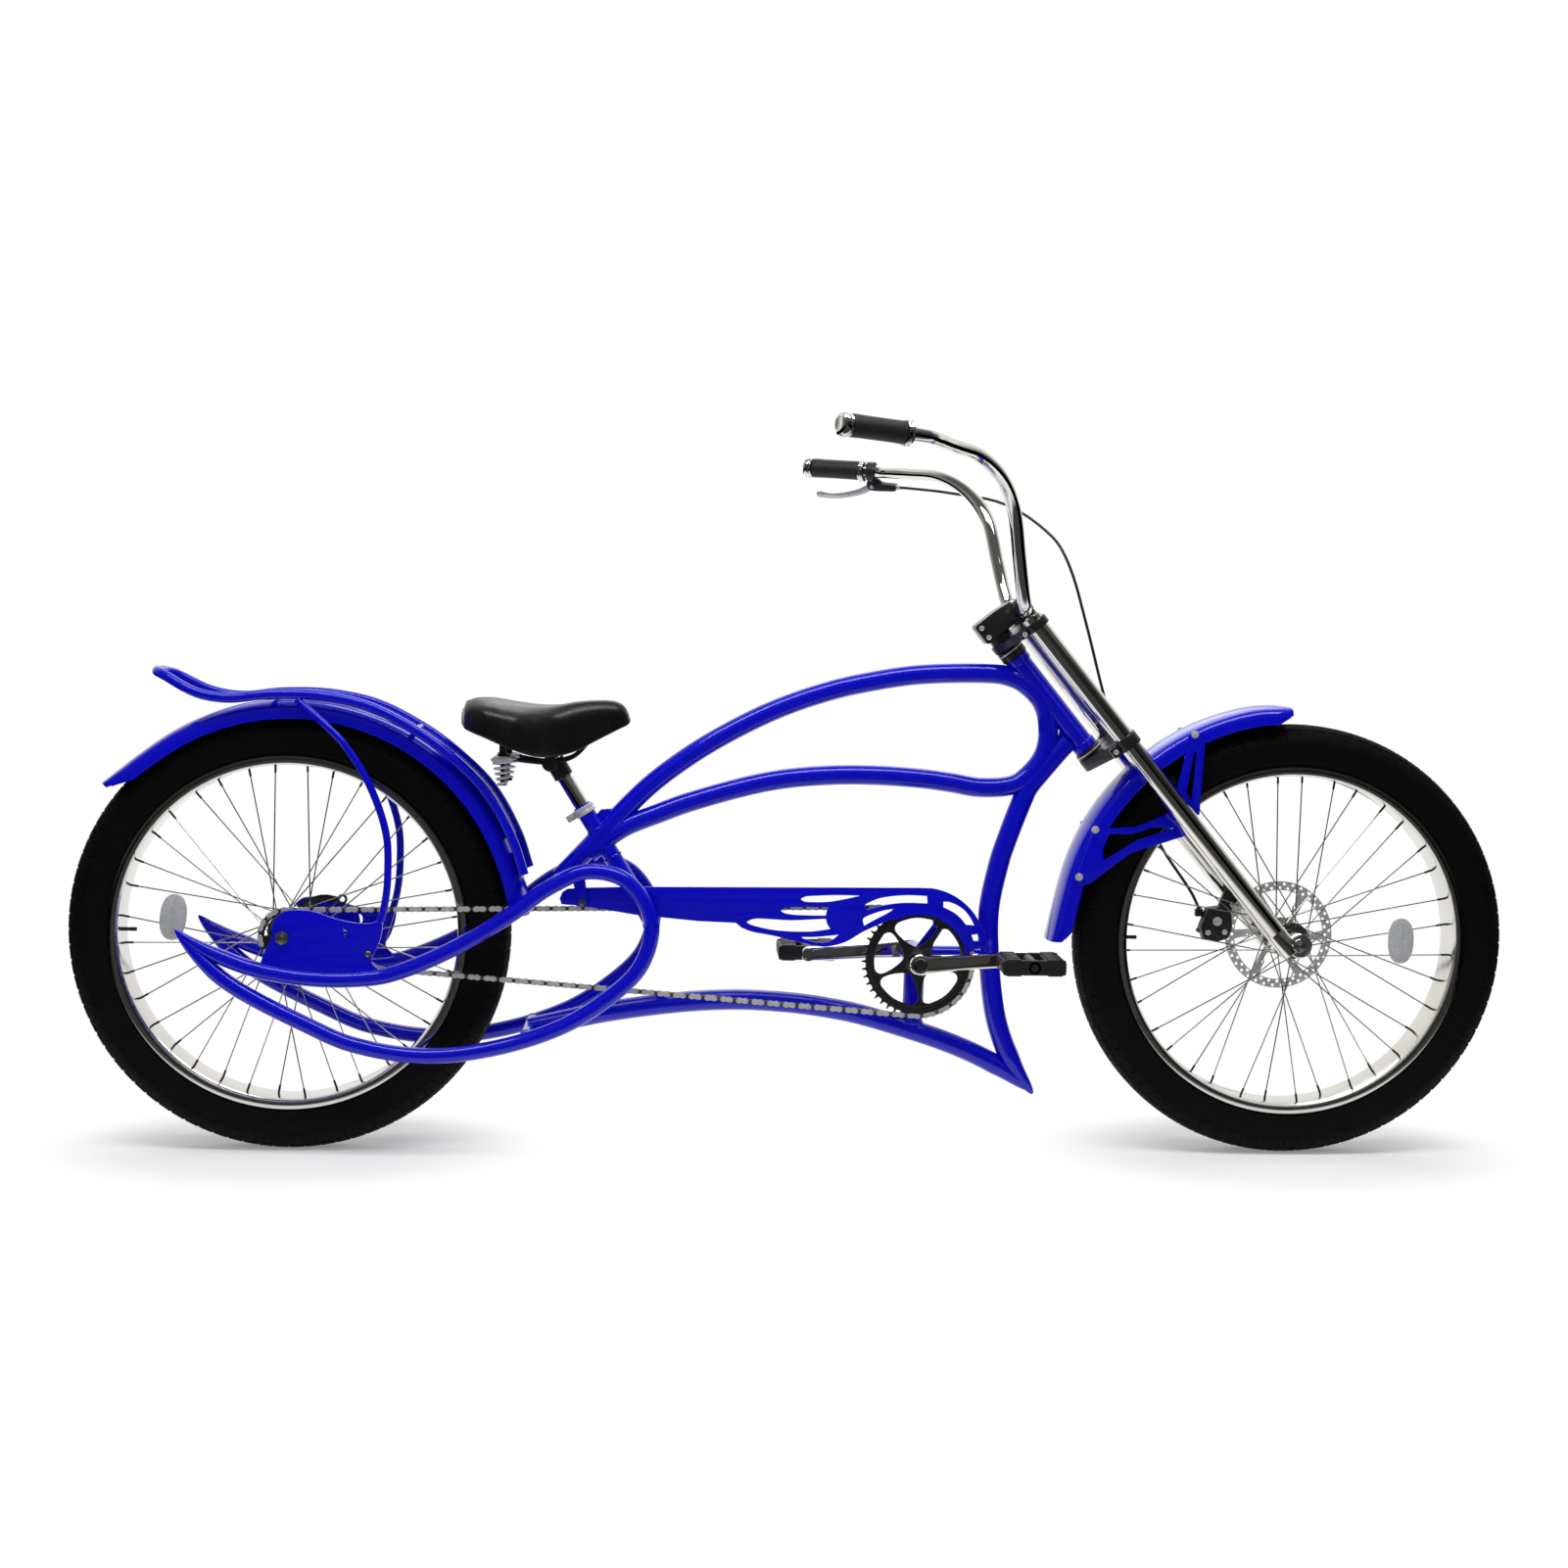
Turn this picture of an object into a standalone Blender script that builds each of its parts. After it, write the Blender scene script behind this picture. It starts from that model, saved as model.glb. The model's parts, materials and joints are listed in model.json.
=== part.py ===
# Stretch cruiser bicycle, metres, +Z up.
# The origin is where the rear tyre meets the ground, +X points to the front and +Y to the rider's left.

import math

import bmesh
import bpy
import numpy as np
from mathutils import Matrix, Vector

# Fits
GAP = 0.0003
BEARING_FIT = 0.0004
LAP = 0.0002

# Wheels and tyres
WHEELBASE = 1.631
TYRE_HEIGHT = 0.069
TYRE_WIDTH = 0.084
TREAD_FLAT = 0.030
TYRE_WALL = 0.0045
RIM_SIDE_STEP = 0.002
RIM_LIP_RADIUS = 0.286
RIM_WALL = 0.0025
RIM_DEPTH = 0.0155
WHEEL_FACETS = 28
HUB_FACETS = 12
TUBE_FACETS = 16
SPOKE_COUNT = 36
SPOKE_DIAMETER = 0.0022
SPOKE_CROSSINGS = 3
SPOKE_STAGGER = 0.012
SPOKE_LEAN = 0.0012
VALVE_LENGTH = 0.022

# Hubs and axles
FLANGE_RADIUS = 0.031
FLANGE_THICKNESS = 0.003
FLANGE_HALF_SPACING = 0.032
AXLE_DIAMETER = 0.010
FRONT_HUB_BARREL = 0.015
REAR_HUB_BARREL = 0.026
REFLECTOR_RADIUS_OUT = 0.187
REFLECTOR_LENGTH = 0.074
REFLECTOR_WIDTH = 0.041
ROTOR_RADIUS = 0.090
ROTOR_BAND = 0.015
ROTOR_THICKNESS = 0.002

# Drive
PITCH = 0.0127
CHAINRING_TEETH = 44
SPROCKET_TEETH = 20
SPROCKET_THICKNESS = 0.002
CHAIN_WIDTH = 0.0084
CHAIN_SLOT = 0.0034
CHAIN_HEIGHT = 0.0084
CHAIN_WAIST = 0.0060
CHAIN_TYRE_CLEARANCE = 0.014
CRANK_LENGTH = 0.170
CRANK_THICKNESS = 0.014
CRANK_GUARD_CLEARANCE = 0.018
CRANK_ANGLE = 3.8
CRANK_BOSS_RADIUS = 0.0140
FRONT_CENTRE = 0.616
BRACKET_DROP = 0.035
BRACKET_SHELL_RADIUS = 0.020
SPINDLE_RADIUS = 0.0085
PEDAL_LENGTH = 0.100
PEDAL_WIDTH = 0.088
PEDAL_THICKNESS = 0.027
PEDAL_AXLE_RADIUS = 0.006

# Frame tubes
TOP_TUBE_DIAMETER = 0.0325
DOWN_TUBE_DIAMETER = 0.034
LOOP_TUBE_DIAMETER = 0.0254
SEAT_TUBE_DIAMETER = 0.0290
BRIDGE_DIAMETER = 0.020
STRUT_DIAMETER = 0.034
BRACE_DIAMETER = 0.024
LOOP_CHAIN_STEP = 0.0295
TIP_TAPER = 0.090
TIP_RADIUS = 0.0016
DROPOUT_THICKNESS = 0.006

# Seat
SEAT_ANGLE = 58.5
SEAT_FACETS = 14
SEAT_STUB = 0.064
SEAT_TUBE_LENGTH = 0.2017
SEAT_POST_DIAMETER = 0.0254
SEAT_POST_ABOVE = 0.092
SEAT_POST_BELOW = 0.100
SADDLE_LENGTH = 0.265
SADDLE_HALF_WIDTH = 0.105
SPRING_TURNS = 4.5
SPRING_WIRE = 0.0042
SPRING_TOP_RADIUS = 0.0150
SPRING_BOTTOM_RADIUS = 0.0065
SPRING_HEIGHT = 0.042
SPRING_HALF_SPACING = 0.055

# Steering
HEAD_ANGLE = 50.9
FORK_RAKE = 0.067
HEAD_TUBE_RADIUS = 0.018
HEAD_TUBE_LENGTH = 0.190
CROWN_FENDER_CLEARANCE = 0.0343
STEERER_RADIUS = 0.0143
CUP_RADIUS = 0.0225
CUP_LOWER_HEIGHT = 0.0117
CUP_UPPER_HEIGHT = 0.0207
LEG_DIAMETER = 0.033
LEG_FACETS = 12
STEER_FACETS = 14
LEG_FENDER_CLEARANCE = 0.008
LEG_OFFSET = 0.050
LEG_ABOVE_HEAD = 0.044
CROWN_LOWER_THICKNESS = 0.020
CROWN_UPPER_THICKNESS = 0.014
STEM_HEIGHT = 0.047
STEM_HALF_WIDTH = 0.024
STEM_NECK_RADIUS = 0.0195
BAR_DIAMETER = 0.0222
BAR_REACH = 0.051
BAR_ABOVE_HEAD = 0.056
GRIP_DIAMETER = 0.034
GRIP_LENGTH = 0.100
GRIP_CAP_DIAMETER = 0.039
GRIP_CAP_LENGTH = 0.018
LEVER_LENGTH = 0.105
CABLE_DIAMETER = 0.005

# Fenders, rack and guard
FENDER_SIDE_CLEARANCE = 0.0085
FENDER_WALL = 0.0016
FRONT_FENDER_CLEARANCE = 0.035
REAR_FENDER_CLEARANCE = 0.022
REAR_FENDER_SHIFT = 0.008
RACK_RAIL_DIAMETER = 0.016
RACK_LEG_DIAMETER = 0.012
RACK_BAR_DIAMETER = 0.010
RACK_HALF_WIDTH = 0.058
GUARD_THICKNESS = 0.003
GUARD_CHAIN_STEP = 0.011

# Sizes and places worked out from the ones above
TYRE_RADIUS = RIM_LIP_RADIUS + TYRE_HEIGHT
RIM_WIDTH = TYRE_WIDTH - 2 * RIM_SIDE_STEP
RIM_INNER_RADIUS = RIM_LIP_RADIUS - RIM_DEPTH
FENDER_HALF_WIDTH = TYRE_WIDTH / 2 + FENDER_SIDE_CLEARANCE
FRONT_FENDER_RADIUS = TYRE_RADIUS + FRONT_FENDER_CLEARANCE
REAR_FENDER_RADIUS = TYRE_RADIUS + REAR_FENDER_CLEARANCE
CHAIN_LINE = TYRE_WIDTH / 2 + CHAIN_TYRE_CLEARANCE
GUARD_OUT = CHAIN_LINE + GUARD_CHAIN_STEP
CRANK_OUT = GUARD_OUT + CRANK_GUARD_CLEARANCE
LOOP_HALF_SPACING = CHAIN_LINE + LOOP_CHAIN_STEP
BRACKET_SHELL_HALF = CHAIN_LINE - 0.012
LEG_HALF_SPACING = FENDER_HALF_WIDTH + LEG_DIAMETER / 2 + LEG_FENDER_CLEARANCE
HEAD_TUBE_BOTTOM = FRONT_FENDER_RADIUS + CROWN_FENDER_CLEARANCE + CROWN_LOWER_THICKNESS + CUP_LOWER_HEIGHT
HEAD_TUBE_TOP = HEAD_TUBE_BOTTOM + HEAD_TUBE_LENGTH
LEG_TOP = HEAD_TUBE_TOP + LEG_ABOVE_HEAD
BAR_RISE = HEAD_TUBE_TOP + BAR_ABOVE_HEAD
REAR_AXLE = Vector((0.0, 0.0, TYRE_RADIUS))
FRONT_AXLE = Vector((WHEELBASE, 0.0, TYRE_RADIUS))
BRACKET = Vector((WHEELBASE - FRONT_CENTRE, 0.0, TYRE_RADIUS - BRACKET_DROP))
STEER_UP = Vector((-math.cos(math.radians(HEAD_ANGLE)), 0.0, math.sin(math.radians(HEAD_ANGLE))))
STEER_FORWARD = Vector((STEER_UP.z, 0.0, -STEER_UP.x))
STEER_FOOT = FRONT_AXLE - FORK_RAKE * STEER_FORWARD
SEAT_CLAMP = REAR_AXLE + Vector((REAR_FENDER_RADIUS + 0.0985, 0.0, 0.1950))
SEAT_DOWN = Vector((math.cos(math.radians(SEAT_ANGLE)), 0.0, -math.sin(math.radians(SEAT_ANGLE))))
SEAT_ACROSS = Vector((-SEAT_DOWN.z, 0.0, SEAT_DOWN.x))
CHAINRING_RADIUS = PITCH / 2 / math.sin(math.pi / CHAINRING_TEETH)
SPROCKET_RADIUS = PITCH / 2 / math.sin(math.pi / SPROCKET_TEETH)
ROTOR_OUT = FLANGE_HALF_SPACING + 0.0125
SPINDLE_OUT = CRANK_OUT + 0.006

BLUE = ((0.004, 0.005, 0.620), 0.18, 0.0)
CHROME = ((0.72, 0.71, 0.68), 0.12, 1.0)
STEEL = ((0.48, 0.48, 0.49), 0.35, 1.0)
BLACK_METAL = ((0.012, 0.012, 0.013), 0.35, 0.3)
ALLOY = ((0.62, 0.62, 0.63), 0.30, 1.0)
TYRE_RUBBER = ((0.012, 0.012, 0.012), 0.75, 0.0)
BLACK_PLASTIC = ((0.015, 0.015, 0.016), 0.45, 0.0)
VINYL = ((0.018, 0.017, 0.017), 0.38, 0.0)


def by_rear(dx, dz, y=0.0):
    """A point given from the rear axle."""
    return Vector((REAR_AXLE.x + dx, y, REAR_AXLE.z + dz))


def by_stay(dx, dz, y=0.0):
    """A point in front of the rear wheel, given from the fender's reach and the axle's height."""
    return by_rear(REAR_FENDER_RADIUS + dx, dz, y)


def by_bracket(dx, dz, y=0.0):
    """A point given from the crank axis."""
    return Vector((BRACKET.x + dx, y, BRACKET.z + dz))


def by_steering(up, forward, y=0.0):
    """A point given along the steering axis, from its foot, and square to it."""
    place = STEER_FOOT + up * STEER_UP + forward * STEER_FORWARD
    place.y = y
    return place


def by_head(up, forward, y=0.0):
    """A point given along the steering axis from the foot of the head tube, and square to it."""
    return by_steering(HEAD_TUBE_BOTTOM + up, forward, y)


def round_fender(centre, radius, degrees, over, y=0.0):
    """A point at an angle round a wheel, given by its height over the fender."""
    angle = math.radians(degrees)
    reach = radius + over
    return Vector((centre.x + reach * math.cos(angle), y, centre.z + reach * math.sin(angle)))


def by_seat(down, across=0.0, y=0.0):
    """A point given along the seat tube, from its clamp, and square to it."""
    place = SEAT_CLAMP + down * SEAT_DOWN + across * SEAT_ACROSS
    place.y = y
    return place


def finished(shape):
    bmesh.ops.recalc_face_normals(shape, faces=shape.faces[:])
    mesh = bpy.data.meshes.new("solid")
    shape.to_mesh(mesh)
    shape.free()
    return mesh


def from_faces(points, faces):
    shape = bmesh.new()
    corners = [shape.verts.new(point) for point in points]
    for face in faces:
        shape.faces.new([corners[i] for i in face])
    return finished(shape)


def smooth(points, per_span):
    """Points on a smooth curve through the given ones."""
    given = [np.array(point, float) for point in points]
    ends = [2 * given[0] - given[1], *given, 2 * given[-1] - given[-2]]
    found = []
    for i in range(1, len(ends) - 2):
        before, start, stop, after = ends[i - 1 : i + 3]
        span = np.linalg.norm(stop - start)
        lead = (stop - before) / (np.linalg.norm(start - before) + span)
        trail = (after - start) / (np.linalg.norm(after - stop) + span)
        for step in range(per_span):
            t = step / per_span
            found.append(
                (2 * t**3 - 3 * t**2 + 1) * start
                + (t**3 - 2 * t**2 + t) * span * lead
                + (3 * t**2 - 2 * t**3) * stop
                + (t**3 - t**2) * span * trail
            )
    found.append(given[-1])
    return [Vector(point) for point in found]


def lengths_along(points):
    run = [0.0]
    for first, second in zip(points, points[1:]):
        run.append(run[-1] + (second - first).length)
    return run


def thinned(points, turn, reach, near_end=0.0):
    """Keeps a point where the curve has turned some degrees or run some way, more near its ends."""
    run = lengths_along(points)
    kept = [0]
    bend = 0.0
    for i in range(1, len(points) - 1):
        bend += math.degrees((points[i] - points[i - 1]).angle(points[i + 1] - points[i]))
        most = reach
        if near_end:
            most = min(reach, near_end + 0.4 * min(run[i], run[-1] - run[i]))
        if bend >= turn or run[i] - run[kept[-1]] >= most:
            kept.append(i)
            bend = 0.0
    return [points[i] for i in kept] + [points[-1]]


def sweep(points, radii, sides, closed=False):
    """A round bar along the points, with one radius or one at each point."""
    count = len(points)
    radii = [radii] * count if isinstance(radii, float) else radii
    if closed:
        heads = [(points[(i + 1) % count] - points[i - 1]).normalized() for i in range(count)]
    else:
        heads = [(points[min(i + 1, count - 1)] - points[max(i - 1, 0)]).normalized() for i in range(count)]
    side = Vector((0.0, 1.0, 0.0))
    if abs(heads[0].dot(side)) > 0.9:
        side = Vector((0.0, 0.0, 1.0))
    rings = []
    for point, head, radius in zip(points, heads, radii):
        side = (side - side.dot(head) * head).normalized()
        other = head.cross(side)
        ring = []
        for k in range(sides):
            angle = math.tau * (k + 0.5) / sides
            ring.append(point + radius * (math.cos(angle) * side + math.sin(angle) * other))
        rings.append(ring)
    return loft(rings, closed)


def loft(rings, closed=False):
    """A solid through rings of equally many points; its ends are flat unless it closes on itself."""
    width = len(rings[0])
    points = [point for ring in rings for point in ring]
    faces = []
    for i in range(len(rings) if closed else len(rings) - 1):
        here = i * width
        there = (i + 1) % len(rings) * width
        for k in range(width):
            after = (k + 1) % width
            faces.append((here + k, here + after, there + after, there + k))
    if not closed:
        faces.append(tuple(range(width)))
        faces.append(tuple(range(len(points) - width, len(points))))
    return from_faces(points, faces)


def turned(profile, segments, centre, axis, start=0.5):
    """A closed profile of (radius, along) points turned about the axis through the centre."""
    along = Vector(axis).normalized()
    side = Vector((1.0, 0.0, 0.0)) if abs(along.x) < 0.8 else Vector((0.0, 1.0, 0.0))
    side = (side - side.dot(along) * along).normalized()
    other = along.cross(side)
    shape = bmesh.new()
    columns = []
    poles = {}
    for k in range(segments):
        angle = math.tau * (k + start) / segments
        out = math.cos(angle) * side + math.sin(angle) * other
        column = []
        for i, (radius, height) in enumerate(profile):
            if radius < 1e-6:
                if i not in poles:
                    poles[i] = shape.verts.new(centre + height * along)
                column.append(poles[i])
            else:
                column.append(shape.verts.new(centre + height * along + radius * out))
        columns.append(column)
    for k in range(segments):
        here = columns[k]
        there = columns[(k + 1) % segments]
        for i in range(len(profile)):
            after = (i + 1) % len(profile)
            corners = [here[i], here[after], there[after], there[i]]
            distinct = list(dict.fromkeys(corners))
            if len(distinct) > 2:
                shape.faces.new(distinct)
    return finished(shape)


def rod(start, stop, radius, segments=12):
    """A plain round bar with flat ends."""
    start = Vector(start)
    axis = Vector(stop) - start
    return turned(((0, 0), (radius, 0), (radius, axis.length), (0, axis.length)), segments, start, axis)


def around(radius, segments):
    """The radius at the corners of a polygon that a circle of this radius fits inside."""
    return radius / math.cos(math.pi / segments)


def plate(outline, thickness, holes=()):
    """A flat plate in the XZ plane, its thickness centred on Y, with holes through it."""
    shape = bmesh.new()
    for ring in (outline, *holes):
        corners = [shape.verts.new((x, -thickness / 2, z)) for x, z in ring]
        for first, second in zip(corners, corners[1:] + corners[:1]):
            shape.edges.new((first, second))
    bmesh.ops.triangle_fill(shape, edges=shape.edges[:], use_beauty=True, use_dissolve=False)
    grown = bmesh.ops.extrude_face_region(shape, geom=shape.faces[:])
    lifted = [item for item in grown["geom"] if isinstance(item, bmesh.types.BMVert)]
    bmesh.ops.translate(shape, verts=lifted, vec=(0.0, thickness, 0.0))
    return finished(shape)


def circle(centre, radius, count, start=0.0):
    x, z = centre
    angles = [start + math.tau * k / count for k in range(count)]
    return [(x + radius * math.cos(a), z + radius * math.sin(a)) for a in angles]


def arc(centre, radius, first, last, count):
    """Points on an arc between two angles in degrees."""
    x, z = centre
    angles = [math.radians(first + (last - first) * k / (count - 1)) for k in range(count)]
    return [(x + radius * math.cos(a), z + radius * math.sin(a)) for a in angles]


def curve_2d(points, per_span):
    return [(point.x, point.z) for point in smooth([(x, 0.0, z) for x, z in points], per_span)]


def box(low, high):
    (x0, y0, z0), (x1, y1, z1) = low, high
    points = [(x, y, z) for x in (x0, x1) for y in (y0, y1) for z in (z0, z1)]
    faces = ((0, 1, 3, 2), (4, 5, 7, 6), (0, 1, 5, 4), (2, 3, 7, 6), (0, 2, 6, 4), (1, 3, 7, 5))
    return from_faces(points, faces)


def placed(mesh, matrix):
    mesh.transform(matrix)
    if matrix.determinant() < 0:
        mesh.flip_normals()
    return mesh


def moved(mesh, offset):
    return placed(mesh, Matrix.Translation(offset))


def turned_about_y(mesh, centre, degrees):
    spin = Matrix.Rotation(math.radians(degrees), 4, "Y")
    return placed(mesh, Matrix.Translation(centre) @ spin @ Matrix.Translation(-Vector(centre)))


def framed(mesh, origin, x_axis, z_axis):
    """Takes a mesh modelled at the origin to a place whose X and Z axes are given."""
    x_axis = Vector(x_axis).normalized()
    z_axis = Vector(z_axis).normalized()
    y_axis = z_axis.cross(x_axis)
    frame = Matrix((x_axis, y_axis, z_axis)).transposed().to_4x4()
    frame.translation = origin
    return placed(mesh, frame)


def combined(mesh, others, operation):
    """The mesh after one Boolean with each of the others."""
    for other in others:
        target = bpy.data.objects.new("target", mesh)
        tool = bpy.data.objects.new("tool", other)
        bpy.context.scene.collection.objects.link(target)
        bpy.context.scene.collection.objects.link(tool)
        step = target.modifiers.new("step", "BOOLEAN")
        step.operation = operation
        step.solver = "EXACT"
        step.use_self = operation == "UNION"
        step.object = tool
        graph = bpy.context.evaluated_depsgraph_get()
        mesh = bpy.data.meshes.new_from_object(target.evaluated_get(graph))
        bpy.data.objects.remove(target)
        bpy.data.objects.remove(tool)
    return mesh


def fused(mesh, *others):
    return combined(mesh, others, "UNION")


def cut(mesh, *others):
    return combined(mesh, others, "DIFFERENCE")


def joined(meshes):
    """Several shells in one mesh, before a union makes them one body."""
    shape = bmesh.new()
    for mesh in meshes:
        shape.from_mesh(mesh)
    result = bpy.data.meshes.new("shells")
    shape.to_mesh(result)
    shape.free()
    return result


def add_carrier(name, place, carrier=None):
    """An empty on a joint's axis, which carries the pieces that move with it."""
    empty = bpy.data.objects.new(name, None)
    bpy.context.scene.collection.objects.link(empty)
    empty.empty_display_size = 0.05
    empty.parent = carrier
    base = Vector() if carrier is None else Vector(carrier["world"])
    empty.location = Vector(place) - base
    empty["world"] = tuple(place)
    return empty


def add_part(name, mesh, look, carrier=None):
    """A named object with its own material, whose origin is its carrier's."""
    colour, roughness, metallic = look
    finish = bpy.data.materials.new(name + "_finish")
    finish.use_nodes = True
    shader = finish.node_tree.nodes["Principled BSDF"]
    shader.inputs["Base Color"].default_value = (*colour, 1.0)
    shader.inputs["Roughness"].default_value = roughness
    shader.inputs["Metallic"].default_value = metallic
    if carrier is not None:
        mesh.transform(Matrix.Translation(-Vector(carrier["world"])))
    mesh.name = name
    mesh.materials.clear()
    mesh.materials.append(finish)
    mesh.shade_smooth()
    mesh.set_sharp_from_angle(angle=math.radians(35.0))
    part = bpy.data.objects.new(name, mesh)
    bpy.context.scene.collection.objects.link(part)
    part.parent = carrier
    return part


# Wheels


def tyre(centre):
    """An open C section, flat along the middle of its tread."""
    half = TYRE_WIDTH / 2
    seat = RIM_WIDTH / 2 - RIM_WALL - GAP - 0.0022
    bead = RIM_LIP_RADIUS - 0.0065
    outer = [
        (bead, seat),
        (RIM_LIP_RADIUS + 0.0210, half),
        (TYRE_RADIUS - 0.0150, half - 0.0060),
        (TYRE_RADIUS, TREAD_FLAT / 2),
    ]
    inner = [
        (TYRE_RADIUS - TYRE_WALL, TREAD_FLAT / 2 - 0.0020),
        (RIM_LIP_RADIUS + 0.0310, half - 0.0010 - TYRE_WALL),
        (bead, seat - TYRE_WALL),
    ]
    profile = outer + [(r, -y) for r, y in reversed(outer)]
    profile += [(r, -y) for r, y in reversed(inner)] + inner
    profile = [(around(r, WHEEL_FACETS), y) for r, y in profile]
    return turned(profile, WHEEL_FACETS, centre, (0, 1, 0))


def inner_tube(centre):
    """The air tube inside the tyre, with its valve through the rim."""
    half = TYRE_WIDTH / 2 - TYRE_WALL - GAP
    bead = RIM_WIDTH / 2 - RIM_WALL - TYRE_WALL - 0.0028
    floor = around(RIM_LIP_RADIUS - RIM_DEPTH + RIM_WALL + GAP, WHEEL_FACETS)
    side = [
        (around(floor, TUBE_FACETS), bead - 0.0060),
        (RIM_LIP_RADIUS + 0.0300, half - 0.0040),
        (TYRE_RADIUS - TYRE_WALL - 2 * GAP, TREAD_FLAT / 2 - 0.0060),
    ]
    profile = side + [(r, -y) for r, y in reversed(side)]
    body = turned(profile, TUBE_FACETS, centre, (0, 1, 0))
    valve = rod(
        centre - Vector((RIM_INNER_RADIUS - VALVE_LENGTH, 0, 0)),
        centre - Vector((RIM_LIP_RADIUS + 0.010, 0, 0)),
        0.0032,
        8,
    )
    return fused(body, valve)


def rim(centre):
    """A wide single wall rim: two flanges and a shallow floor, with a hole for the valve."""
    half = RIM_WIDTH / 2
    inside = half - RIM_WALL
    side = [
        (RIM_INNER_RADIUS + 0.0020, half),
        (RIM_LIP_RADIUS, half),
        (RIM_LIP_RADIUS, inside),
        (RIM_INNER_RADIUS + RIM_WALL, inside - 0.0020),
    ]
    low = [(RIM_INNER_RADIUS, -(half - 0.0120)), (RIM_INNER_RADIUS, half - 0.0120)]
    profile = side + [(r, -y) for r, y in reversed(side)] + low
    profile = [(around(r, WHEEL_FACETS), y) for r, y in profile]
    body = turned(profile, WHEEL_FACETS, centre, (0, 1, 0))
    hole = rod(
        centre - Vector((RIM_INNER_RADIUS - 0.010, 0, 0)),
        centre - Vector((RIM_LIP_RADIUS, 0, 0)),
        0.0032 + 2 * GAP,
        8,
    )
    return cut(body, hole)


def spokes(centre):
    """Crossed spokes from both flanges to the rim, those of one lean outside those of the other."""
    per_side = SPOKE_COUNT // 2
    hole_radius = FLANGE_RADIUS - 0.004
    reach = RIM_INNER_RADIUS - GAP
    shells = []
    for side in (-1, 1):
        for i in range(per_side):
            lean = 1 if i % 2 else -1
            root_angle = math.tau * (i + 0.25 * side) / per_side
            rim_angle = root_angle + lean * math.tau * SPOKE_CROSSINGS / per_side
            root_y = side * (FLANGE_HALF_SPACING + lean * SPOKE_LEAN)
            head_y = side * (SPOKE_STAGGER + lean * SPOKE_LEAN)
            root = Vector((math.cos(root_angle) * hole_radius, root_y, math.sin(root_angle) * hole_radius))
            head = Vector((math.cos(rim_angle) * reach, head_y, math.sin(rim_angle) * reach))
            shells.append(rod(centre + root, centre + head, SPOKE_DIAMETER / 2, 3))
    return shells


def reflector(centre, angle):
    """An oval spoke reflector held by the spokes of the right side."""
    out = REFLECTOR_RADIUS_OUT
    share = (out - FLANGE_RADIUS) / (RIM_INNER_RADIUS - FLANGE_RADIUS)
    fall = (FLANGE_HALF_SPACING - SPOKE_STAGGER) * share
    oval = [
        (REFLECTOR_WIDTH / 2 * math.cos(a), REFLECTOR_LENGTH / 2 * math.sin(a))
        for a in [math.tau * (k + 0.5) / 10 for k in range(10)]
    ]
    body = plate(oval, 0.009)
    place = centre + Vector((out, -(FLANGE_HALF_SPACING - fall), 0))
    return turned_about_y(moved(body, place), centre, -angle)


def hub(centre, profile, reflector_angle):
    body = turned(profile, HUB_FACETS, centre, (0, 1, 0))
    lace = spokes(centre)
    return fused(body, joined(lace), reflector(centre, reflector_angle))


def front_hub():
    bore = around(AXLE_DIAMETER / 2 + BEARING_FIT, HUB_FACETS)
    inside = FLANGE_HALF_SPACING - FLANGE_THICKNESS / 2
    outside = FLANGE_HALF_SPACING + FLANGE_THICKNESS / 2
    seat = ROTOR_OUT - ROTOR_THICKNESS / 2 - GAP
    right = LEG_HALF_SPACING - LEG_DIAMETER / 2 - 0.0020
    profile = (
        (bore, -right),
        (0.0095, -right),
        (0.0140, -outside),
        (FLANGE_RADIUS, -outside),
        (FLANGE_RADIUS, -inside),
        (FRONT_HUB_BARREL, -inside + 0.006),
        (FRONT_HUB_BARREL, inside - 0.006),
        (FLANGE_RADIUS, inside),
        (FLANGE_RADIUS, outside),
        (0.0220, outside),
        (0.0220, seat),
        (0.0120, seat),
        (0.0120, LEG_HALF_SPACING - LEG_DIAMETER / 2 - 0.0020),
        (bore, LEG_HALF_SPACING - LEG_DIAMETER / 2 - 0.0020),
    )
    return hub(FRONT_AXLE, profile, 0.0)


def rear_hub():
    bore = around(AXLE_DIAMETER / 2 + BEARING_FIT, HUB_FACETS)
    inside = FLANGE_HALF_SPACING - FLANGE_THICKNESS / 2
    outside = FLANGE_HALF_SPACING + FLANGE_THICKNESS / 2
    driver = CHAIN_LINE - SPROCKET_THICKNESS / 2 - GAP
    left = LOOP_HALF_SPACING - DROPOUT_THICKNESS / 2 - 0.0060
    profile = (
        (bore, -driver),
        (0.0190, -driver),
        (0.0190, -driver + 0.008),
        (REAR_HUB_BARREL, -outside),
        (FLANGE_RADIUS + 0.003, -outside),
        (FLANGE_RADIUS + 0.003, -inside),
        (REAR_HUB_BARREL, -inside + 0.004),
        (REAR_HUB_BARREL, inside - 0.004),
        (FLANGE_RADIUS + 0.003, inside),
        (FLANGE_RADIUS + 0.003, outside),
        (0.0240, outside + 0.004),
        (0.0180, left - 0.006),
        (0.0180, left),
        (bore, left),
    )
    return hub(REAR_AXLE, profile, 173.0)


def toothed(teeth, pitch_radius, start=0.0):
    """The outline of a sprocket, two points to a tooth."""
    root = pitch_radius - 0.0041
    tip = pitch_radius + 0.0034
    outline = []
    for i in range(teeth):
        for share, radius in ((0.0, root), (0.5, tip)):
            angle = start + math.tau * (i + share) / teeth
            outline.append((radius * math.cos(angle), radius * math.sin(angle)))
    return outline


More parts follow.
